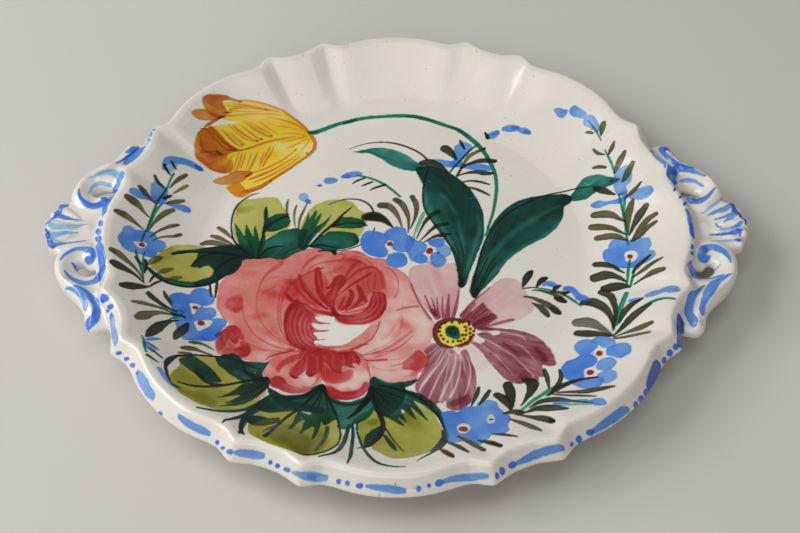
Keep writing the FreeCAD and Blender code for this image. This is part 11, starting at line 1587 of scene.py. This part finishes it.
def dish_field(px, py, pz):
    """Signed distance to the rim of the dish, good near its outer side."""
    th = np.arctan2(py, px)
    d = scallop(th)
    r = np.hypot(px, py) - 0.95 * d
    s = np.arange(S_AT[10], S_AT[-8], 0.7)
    pr, pz_, _ = profile(s)
    lift = (0.16 * d + 0.5 + 0.20 * np.sin(2 * th + 1.0)
            + 0.12 * np.sin(7 * th)) * 0.6
    zz = pz - lift
    best = np.full(px.shape, 1e9)
    pts = np.c_[pr, pz_]
    for k in range(len(pts) - 1):
        ax, ay = pts[k]
        bx, by = pts[k + 1]
        dx, dy = bx - ax, by - ay
        t = np.clip(((r - ax) * dx + (zz - ay) * dy)
                    / (dx * dx + dy * dy + 1e-12), 0, 1)
        best = np.minimum(best, (r - ax - t * dx) ** 2
                          + (zz - ay - t * dy) ** 2)
    inside = inside_poly(r, zz, pts)
    best = np.sqrt(best)
    return np.where(inside, -best, best)


def smin(a, b, k):
    h = np.clip(0.5 + 0.5 * (b - a) / k, 0, 1)
    return b * (1 - h) + a * h - k * h * (1 - h)


def smax(a, b, k):
    return -smin(-a, -b, k)


def surface_nets(field, origin, cell):
    """Quads on the zero surface of a sampled field, smoothly placed."""
    f = field
    nx, ny, nz = f.shape
    neg = f < 0
    acc = np.zeros((nx - 1, ny - 1, nz - 1, 3))
    cnt = np.zeros((nx - 1, ny - 1, nz - 1))
    base = [(0, 0, 0), (1, 0, 0), (0, 1, 0), (0, 0, 1), (1, 1, 0), (1, 0, 1),
            (0, 1, 1), (1, 1, 1)]
    pairs = [(a, b) for i, a in enumerate(base) for b in base[i + 1:]
             if sum(abs(p - q) for p, q in zip(a, b)) == 1]

    def corner(arr, o):
        return arr[o[0]:nx - 1 + o[0], o[1]:ny - 1 + o[1], o[2]:nz - 1 + o[2]]

    for a, b in pairs:
        fa, fb = corner(f, a), corner(f, b)
        cut = (fa < 0) != (fb < 0)
        t = np.where(cut, fa / np.where(fa - fb == 0, 1, fa - fb), 0)
        for c in range(3):
            acc[..., c] += np.where(cut, a[c] + t * (b[c] - a[c]), 0)
        cnt += cut
    live = cnt > 0
    number = -np.ones(live.shape, int)
    number[live] = np.arange(live.sum())
    cells = np.argwhere(live)
    v = acc[live] / cnt[live][:, None] + cells
    v = v * cell + origin
    quads = []
    for axis in range(3):
        o = [0, 0, 0]
        o[axis] = 1
        lo = neg[:nx - o[0], :ny - o[1], :nz - o[2]]
        hi = neg[o[0]:, o[1]:, o[2]:]
        u, w = [c for c in range(3) if c != axis]
        for flip, mask in ((False, lo & ~hi), (True, ~lo & hi)):
            p = np.argwhere(mask)
            p = p[(p[:, u] > 0) & (p[:, w] > 0)
                  & (p[:, u] < f.shape[u] - 1) & (p[:, w] < f.shape[w] - 1)]
            q = []
            for du, dw in ((-1, -1), (0, -1), (0, 0), (-1, 0)):
                c = p.copy()
                c[:, u] += du
                c[:, w] += dw
                q.append(number[c[:, 0], c[:, 1], c[:, 2]])
            q = np.stack(q, -1)
            if (axis == 1) != flip:
                q = q[:, ::-1]
            quads.append(q)
    quads = np.vstack(quads)
    return v, quads[(quads >= 0).all(1)]


def relax(v, quads, rounds, amount=0.5):
    """Moves each point towards the middle of its neighbours and back out."""
    e = np.vstack([quads[:, [0, 1]], quads[:, [1, 2]], quads[:, [2, 3]],
                   quads[:, [3, 0]]])
    e = np.vstack([e, e[:, ::-1]])
    deg = np.bincount(e[:, 0], minlength=len(v)).astype(float)[:, None]
    for k in range(rounds):
        for f in (amount, -amount * 1.04):
            mean = np.stack([np.bincount(e[:, 0], v[e[:, 1], c],
                                         minlength=len(v))
                             for c in range(3)], -1) / np.maximum(deg, 1)
            v = v + f * (mean - v)
    return v


def build_handle(name, turned):
    cell = 0.5
    lo = np.array([119.0, -64.0, 10.0])
    hi = np.array([163.5, 64.0, 28.5])
    n = np.ceil((hi - lo) / cell).astype(int) + 1
    gx, gy = np.meshgrid(lo[0] + np.arange(n[0]) * cell,
                         lo[1] + np.arange(n[1]) * cell, indexing="ij")
    gz = lo[2] + np.arange(n[2]) * cell
    half = spline(HALF_OUTLINE, 0.9)
    ring = np.vstack([half, half[::-1][1:] * np.array([1, -1])])
    inner = [(r * math.cos(a), r * math.sin(a)) for r, a in
             [(132.5, math.radians(t)) for t in np.linspace(-25.0, 25.0, 26)]]
    ring = np.vstack([ring, inner])
    # the right-hand shell sits a little further back than its scrolls
    wy = gy if turned else np.interp(
        gy, [-64.0, -57.0, -23.5, -13.0, 3.2, 18.9, 24.8, 57.0, 64.0],
        [-64.0, -57.0, -24.4, -16.6, 0.0, 16.6, 24.4, 57.0, 64.0])
    d, _, _ = seg_dist(gx, wy, ring, True)
    d = np.where(inside_poly(gx, wy, ring), -d, d)
    d = smax(d, -hole_field(gx, wy), 0.8)
    top = handle_top(gx, wy)
    bottom = 13.4 + 0.9 * np.exp(-((gy) / 30.0) ** 2) \
        + 0.6 * np.clip((gx - 146) / 14, 0, 1)
    rr = 2.1
    z = gz[None, None, :]
    a = z - top[..., None]
    b = bottom[..., None] - z
    c = d[..., None]
    slab = np.maximum(a, b)
    q1 = np.maximum(slab + rr, 0)
    q2 = np.maximum(c + rr, 0)
    f = np.hypot(q1, q2) + np.minimum(np.maximum(slab + rr, c + rr), 0) - rr
    turn = math.radians(178.2) if turned else 0.0
    ca, sa = math.cos(turn), math.sin(turn)
    px = (gx * ca - gy * sa)[..., None] * np.ones_like(z)
    py = (gx * sa + gy * ca)[..., None] * np.ones_like(z)
    pz = np.ones_like(px) * z
    near = np.hypot(px, py) < 143.0
    df = np.full(f.shape, 9.0)
    df[near] = dish_field(px[near], py[near], pz[near])
    f = smin(f, df + 0.14, 1.8)
    r = np.hypot(px, py)
    f = np.maximum(f, 134.2 - r)
    # beyond the ends of the handle only the dish is left, so stop there
    f = np.maximum(f, np.abs(gy)[..., None] - 61.0)
    v, quads = surface_nets(f, lo, cell)
    v = relax(v, quads, 3)
    v[:, 0], v[:, 1] = (v[:, 0] * ca - v[:, 1] * sa,
                        v[:, 0] * sa + v[:, 1] * ca)
    ob = mesh_from(name, v, [quads])
    return ob, v


def keep_biggest(ob):
    """Drops loose scraps, keeping the largest connected shell."""
    import bmesh
    bm = bmesh.new()
    bm.from_mesh(ob.data)
    bm.verts.ensure_lookup_table()
    seen = np.zeros(len(bm.verts), bool)
    best = []
    for v0 in bm.verts:
        if seen[v0.index]:
            continue
        stack, part = [v0], []
        seen[v0.index] = True
        while stack:
            v = stack.pop()
            part.append(v)
            for e in v.link_edges:
                o = e.other_vert(v)
                if not seen[o.index]:
                    seen[o.index] = True
                    stack.append(o)
        if len(part) > len(best):
            best = part
    keep = {v.index for v in best}
    gone = [v for v in bm.verts if v.index not in keep]
    if gone:
        bmesh.ops.delete(bm, geom=gone, context="VERTS")
    bm.to_mesh(ob.data)
    bm.free()
    ob.data.polygons.foreach_set("use_smooth",
                                 np.ones(len(ob.data.polygons), bool))
    return len(gone)


# --------------------------------------------------------- paint the dish --
def paint_canvas():
    cv = Canvas(-166.0, 166.0, -142.0, 142.0, 0.18)
    for kind, colour, pts, extra in OPS:
        if kind == "b":
            cv.brush(pts, PALETTE[colour],
                     **{"cut": CUT.get(colour, 0.0), **extra})
        else:
            cv.wash(pts, PALETTE[colour],
                    **{"cut": CUT.get(colour, 0.0), **extra})
    rng = np.random.default_rng(11)
    for k in range(330):
        a, r = rng.uniform(0, 2 * np.pi), 139.0 * math.sqrt(rng.uniform(0, 1))
        cv.dab(r * math.cos(a), r * math.sin(a), rng.uniform(0.10, 0.26),
               (150, 118, 88), rng.uniform(0.25, 0.9), soft=0.12, pool=0,
               wob=0.05)
    return cv


def set_paint(ob, verts, top_mask, cv):
    """Stores the brushed colour on the mesh as a linear colour attribute."""
    col = np.ones((len(verts), 4), np.float32)
    x, y = verts[:, 0], verts[:, 1]
    c = cv.sample(x, y)
    col[:, :3] = np.where(top_mask[:, None], c, 1.0)
    att = ob.data.color_attributes.new("paint", "FLOAT_COLOR", "POINT")
    att.data.foreach_set("color", col.ravel())


# ------------------------------------------------------------- materials ---
def link(tree, a, b):
    tree.links.new(a, b)


def glaze_material(name, rough=0.14, seed=0.0):
    mat = bpy.data.materials.new(name)
    mat.use_nodes = True
    t = mat.node_tree
    for n in list(t.nodes):
        t.nodes.remove(n)
    out = t.nodes.new("ShaderNodeOutputMaterial")
    bsdf = t.nodes.new("ShaderNodeBsdfPrincipled")
    link(t, bsdf.outputs[0], out.inputs[0])
    bsdf.inputs["IOR"].default_value = 1.52
    bsdf.inputs["Coat Weight"].default_value = 0.10
    bsdf.inputs["Coat Roughness"].default_value = 0.06
    bsdf.inputs["Coat IOR"].default_value = 1.5
    tc = t.nodes.new("ShaderNodeTexCoord")
    at = t.nodes.new("ShaderNodeAttribute")
    at.attribute_name = "paint"

    def noise(scale, detail=3.0, rough_=0.5, dist=0.0):
        n = t.nodes.new("ShaderNodeTexNoise")
        n.inputs["Scale"].default_value = scale
        n.inputs["Detail"].default_value = detail
        n.inputs["Roughness"].default_value = rough_
        n.inputs["Distortion"].default_value = dist
        link(t, tc.outputs["Object"], n.inputs["Vector"])
        return n

    # the ivory of the glaze, a little warmer and thinner in clouds
    cloud = noise(17.0, 4.0, 0.6, 0.4)
    ramp = t.nodes.new("ShaderNodeValToRGB")
    ramp.color_ramp.elements[0].position = 0.30
    ramp.color_ramp.elements[0].color = (0.752, 0.716, 0.655, 1)
    ramp.color_ramp.elements[1].position = 0.72
    ramp.color_ramp.elements[1].color = (0.800, 0.768, 0.714, 1)
    link(t, cloud.outputs["Fac"], ramp.inputs["Fac"])
    mul = t.nodes.new("ShaderNodeMix")
    mul.data_type = "RGBA"
    mul.blend_type = "MULTIPLY"
    mul.inputs["Factor"].default_value = 1.0
    link(t, ramp.outputs["Color"], mul.inputs["A"])
    link(t, at.outputs["Color"], mul.inputs["B"])
    # pinholes and specks of iron
    fine = noise(820.0, 2.0, 0.6)
    spot = t.nodes.new("ShaderNodeValToRGB")
    spot.color_ramp.elements[0].position = 0.745
    spot.color_ramp.elements[0].color = (1, 1, 1, 1)
    spot.color_ramp.elements[1].position = 0.80
    spot.color_ramp.elements[1].color = (0.72, 0.64, 0.55, 1)
    link(t, fine.outputs["Fac"], spot.inputs["Fac"])
    mul2 = t.nodes.new("ShaderNodeMix")
    mul2.data_type = "RGBA"
    mul2.blend_type = "MULTIPLY"
    mul2.inputs["Factor"].default_value = 1.0
    link(t, mul.outputs["Result"], mul2.inputs["A"])
    link(t, spot.outputs["Color"], mul2.inputs["B"])
    link(t, mul2.outputs["Result"], bsdf.inputs["Base Color"])
    # gloss: breathes a little
    gl = noise(60.0, 4.0, 0.6)
    mr = t.nodes.new("ShaderNodeMapRange")
    mr.inputs["From Min"].default_value = 0.3
    mr.inputs["From Max"].default_value = 0.7
    mr.inputs["To Min"].default_value = rough - 0.03
    mr.inputs["To Max"].default_value = rough + 0.07
    link(t, gl.outputs["Fac"], mr.inputs["Value"])
    link(t, mr.outputs["Result"], bsdf.inputs["Roughness"])
    # the melted skin of the glaze: slow orange peel, fine pinholes
    b1 = t.nodes.new("ShaderNodeBump")
    b1.inputs["Strength"].default_value = 0.35
    b1.inputs["Distance"].default_value = 0.00035
    peel = noise(150.0, 3.0, 0.55)
    link(t, peel.outputs["Fac"], b1.inputs["Height"])
    b2 = t.nodes.new("ShaderNodeBump")
    b2.invert = True
    b2.inputs["Strength"].default_value = 0.5
    b2.inputs["Distance"].default_value = 0.0002
    link(t, spot.outputs["Color"], b2.inputs["Height"])
    b2.invert = False
    link(t, b1.outputs["Normal"], b2.inputs["Normal"])
    link(t, b2.outputs["Normal"], bsdf.inputs["Normal"])
    return mat


def clay_material(name):
    mat = bpy.data.materials.new(name)
    mat.use_nodes = True
    t = mat.node_tree
    bsdf = t.nodes["Principled BSDF"]
    tc = t.nodes.new("ShaderNodeTexCoord")
    n = t.nodes.new("ShaderNodeTexNoise")
    n.inputs["Scale"].default_value = 140.0
    n.inputs["Detail"].default_value = 6.0
    n.inputs["Roughness"].default_value = 0.7
    link(t, tc.outputs["Object"], n.inputs["Vector"])
    ramp = t.nodes.new("ShaderNodeValToRGB")
    ramp.color_ramp.elements[0].position = 0.25
    ramp.color_ramp.elements[0].color = (0.40, 0.235, 0.14, 1)
    ramp.color_ramp.elements[1].position = 0.75
    ramp.color_ramp.elements[1].color = (0.62, 0.42, 0.28, 1)
    link(t, n.outputs["Fac"], ramp.inputs["Fac"])
    link(t, ramp.outputs["Color"], bsdf.inputs["Base Color"])
    mr = t.nodes.new("ShaderNodeMapRange")
    mr.inputs["To Min"].default_value = 0.75
    mr.inputs["To Max"].default_value = 0.95
    link(t, n.outputs["Fac"], mr.inputs["Value"])
    link(t, mr.outputs["Result"], bsdf.inputs["Roughness"])
    b = t.nodes.new("ShaderNodeBump")
    b.inputs["Strength"].default_value = 0.6
    b.inputs["Distance"].default_value = 0.0004
    link(t, n.outputs["Fac"], b.inputs["Height"])
    link(t, b.outputs["Normal"], bsdf.inputs["Normal"])
    return mat


def build_foot():
    """Foot ring: turned, wiped bare and worn where it stands."""
    sec = spline([(73.9, 3.06), (74.5, 1.9), (75.0, 0.75), (75.7, 0.12),
                  (77.0, 0.0), (78.3, 0.12), (79.1, 0.8), (79.6, 1.9),
                  (80.2, 3.06)], 0.5)
    n = 520
    th = np.linspace(0, 2 * np.pi, n, endpoint=False)
    rows = []
    for r, z in sec:
        wob = 0.10 * np.sin(3 * th + 1) + 0.07 * vnoise(th * 22, th * 0 + z, 81)
        lift = 0.05 * np.clip(vnoise(th * 16, th * 0 + r / 3, 82), 0, 1) \
            * (z < 1.0)
        rr = r + wob
        rows.append(np.c_[rr * np.cos(th), rr * np.sin(th), z + lift])
    v = np.vstack(rows)
    m = len(sec)
    idx = np.arange(m * n).reshape(m, n)
    nxt = np.roll(idx, -1, 1)
    quads = np.stack([idx[:-1], nxt[:-1], nxt[1:], idx[1:]], -1).reshape(-1, 4)
    lid = np.stack([idx[-1], nxt[-1], nxt[0], idx[0]], -1)
    return mesh_from("foot_ring_bare", v, [quads[:, ::-1], lid[:, ::-1]])


# ------------------------------------------------------------- assemble ----
canvas = paint_canvas()
dish_ob, dish_v, dish_top = build_dish()
set_paint(dish_ob, dish_v, dish_top, canvas)
glaze = glaze_material("ivory_glaze")
dish_ob.data.materials.append(glaze)
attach(dish_ob, "root")
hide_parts("dish")

handle_glaze = glaze_material("ivory_glaze_handles", 0.12)
for tag, turned in (("right", False), ("left", True)):
    ob, _ = build_handle("handle_%s_moulded" % tag, turned)
    keep_biggest(ob)
    co = np.empty(len(ob.data.vertices) * 3, np.float32)
    ob.data.vertices.foreach_get("co", co)
    co = co.reshape(-1, 3) / MM
    nor = np.empty(len(ob.data.vertices) * 3, np.float32)
    ob.data.vertices.foreach_get("normal", nor)
    nz = nor.reshape(-1, 3)[:, 2]
    set_paint(ob, co, (nz > -0.15) & (co[:, 2] > 15.2), canvas)
    ob.data.materials.append(handle_glaze)
    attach(ob, "root")
    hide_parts("handle_%s" % tag)

foot_ob = build_foot()
foot_ob.data.materials.append(clay_material("bare_clay"))
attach(foot_ob, "root")
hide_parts("foot_ring")

# ---------------------------------------------------------------- stage ----
bpy.ops.mesh.primitive_plane_add(size=6.0, location=(0, 0, 0))
floor = bpy.context.object
floor.name = "floor"
fm = bpy.data.materials.new("pale_floor")
fm.use_nodes = True
fb = fm.node_tree.nodes["Principled BSDF"]
fb.inputs["Base Color"].default_value = (0.62, 0.60, 0.57, 1)
fb.inputs["Roughness"].default_value = 0.75
floor.data.materials.append(fm)

world = bpy.data.worlds.new("studio") if not bpy.context.scene.world \
    else bpy.context.scene.world
bpy.context.scene.world = world
world.use_nodes = True
bg = world.node_tree.nodes.get("Background")
bg.inputs["Color"].default_value = (0.93, 0.91, 0.87, 1)
bg.inputs["Strength"].default_value = 0.19


def lamp(name, loc, target, size, size_y, energy, colour):
    data = bpy.data.lights.new(name, "AREA")
    data.shape = "RECTANGLE"
    data.size = size
    data.size_y = size_y
    data.energy = energy
    data.color = colour
    ob = bpy.data.objects.new(name, data)
    bpy.context.scene.collection.objects.link(ob)
    ob.location = loc
    aim = Vector(target) - Vector(loc)
    ob.rotation_euler = aim.to_track_quat("-Z", "Y").to_euler()
    return ob


lamp("window", (-1.26, 0.08, 1.06), (0, 0, 0), 1.5, 0.9, 19.5,
     (1.0, 0.99, 0.975))
lamp("overhead", (0.05, -0.25, 2.3), (0, 0, 0), 1.8, 1.2, 9.5,
     (1.0, 0.99, 0.97))
lamp("front", (-0.35, -1.65, 1.0), (0, 0, 0), 2.0, 1.2, 10.0,
     (1.0, 0.985, 0.96))

cam_data = bpy.data.cameras.new("camera")
cam = bpy.data.objects.new("camera", cam_data)
bpy.context.scene.collection.objects.link(cam)
cam_data.sensor_width = 36.0
cam_data.lens = 61.73
cam_data.clip_start = 0.01
cam_data.clip_end = 20.0
az, el, roll = math.radians(0.152), math.radians(48.625), math.radians(-0.528)
back = Vector((math.sin(az) * math.cos(el), -math.cos(az) * math.cos(el),
               math.sin(el)))
right = Vector((math.cos(az), math.sin(az), 0.0))
up = back.cross(right)
r_ax = math.cos(roll) * right + math.sin(roll) * up
u_ax = -math.sin(roll) * right + math.cos(roll) * up
cam.matrix_world = Matrix(((r_ax.x, u_ax.x, back.x, 0.002867),
                           (r_ax.y, u_ax.y, back.y, -0.42581),
                           (r_ax.z, u_ax.z, back.z, 0.47993),
                           (0, 0, 0, 1)))
bpy.context.scene.camera = cam
bpy.context.scene.view_settings.view_transform = "Standard"
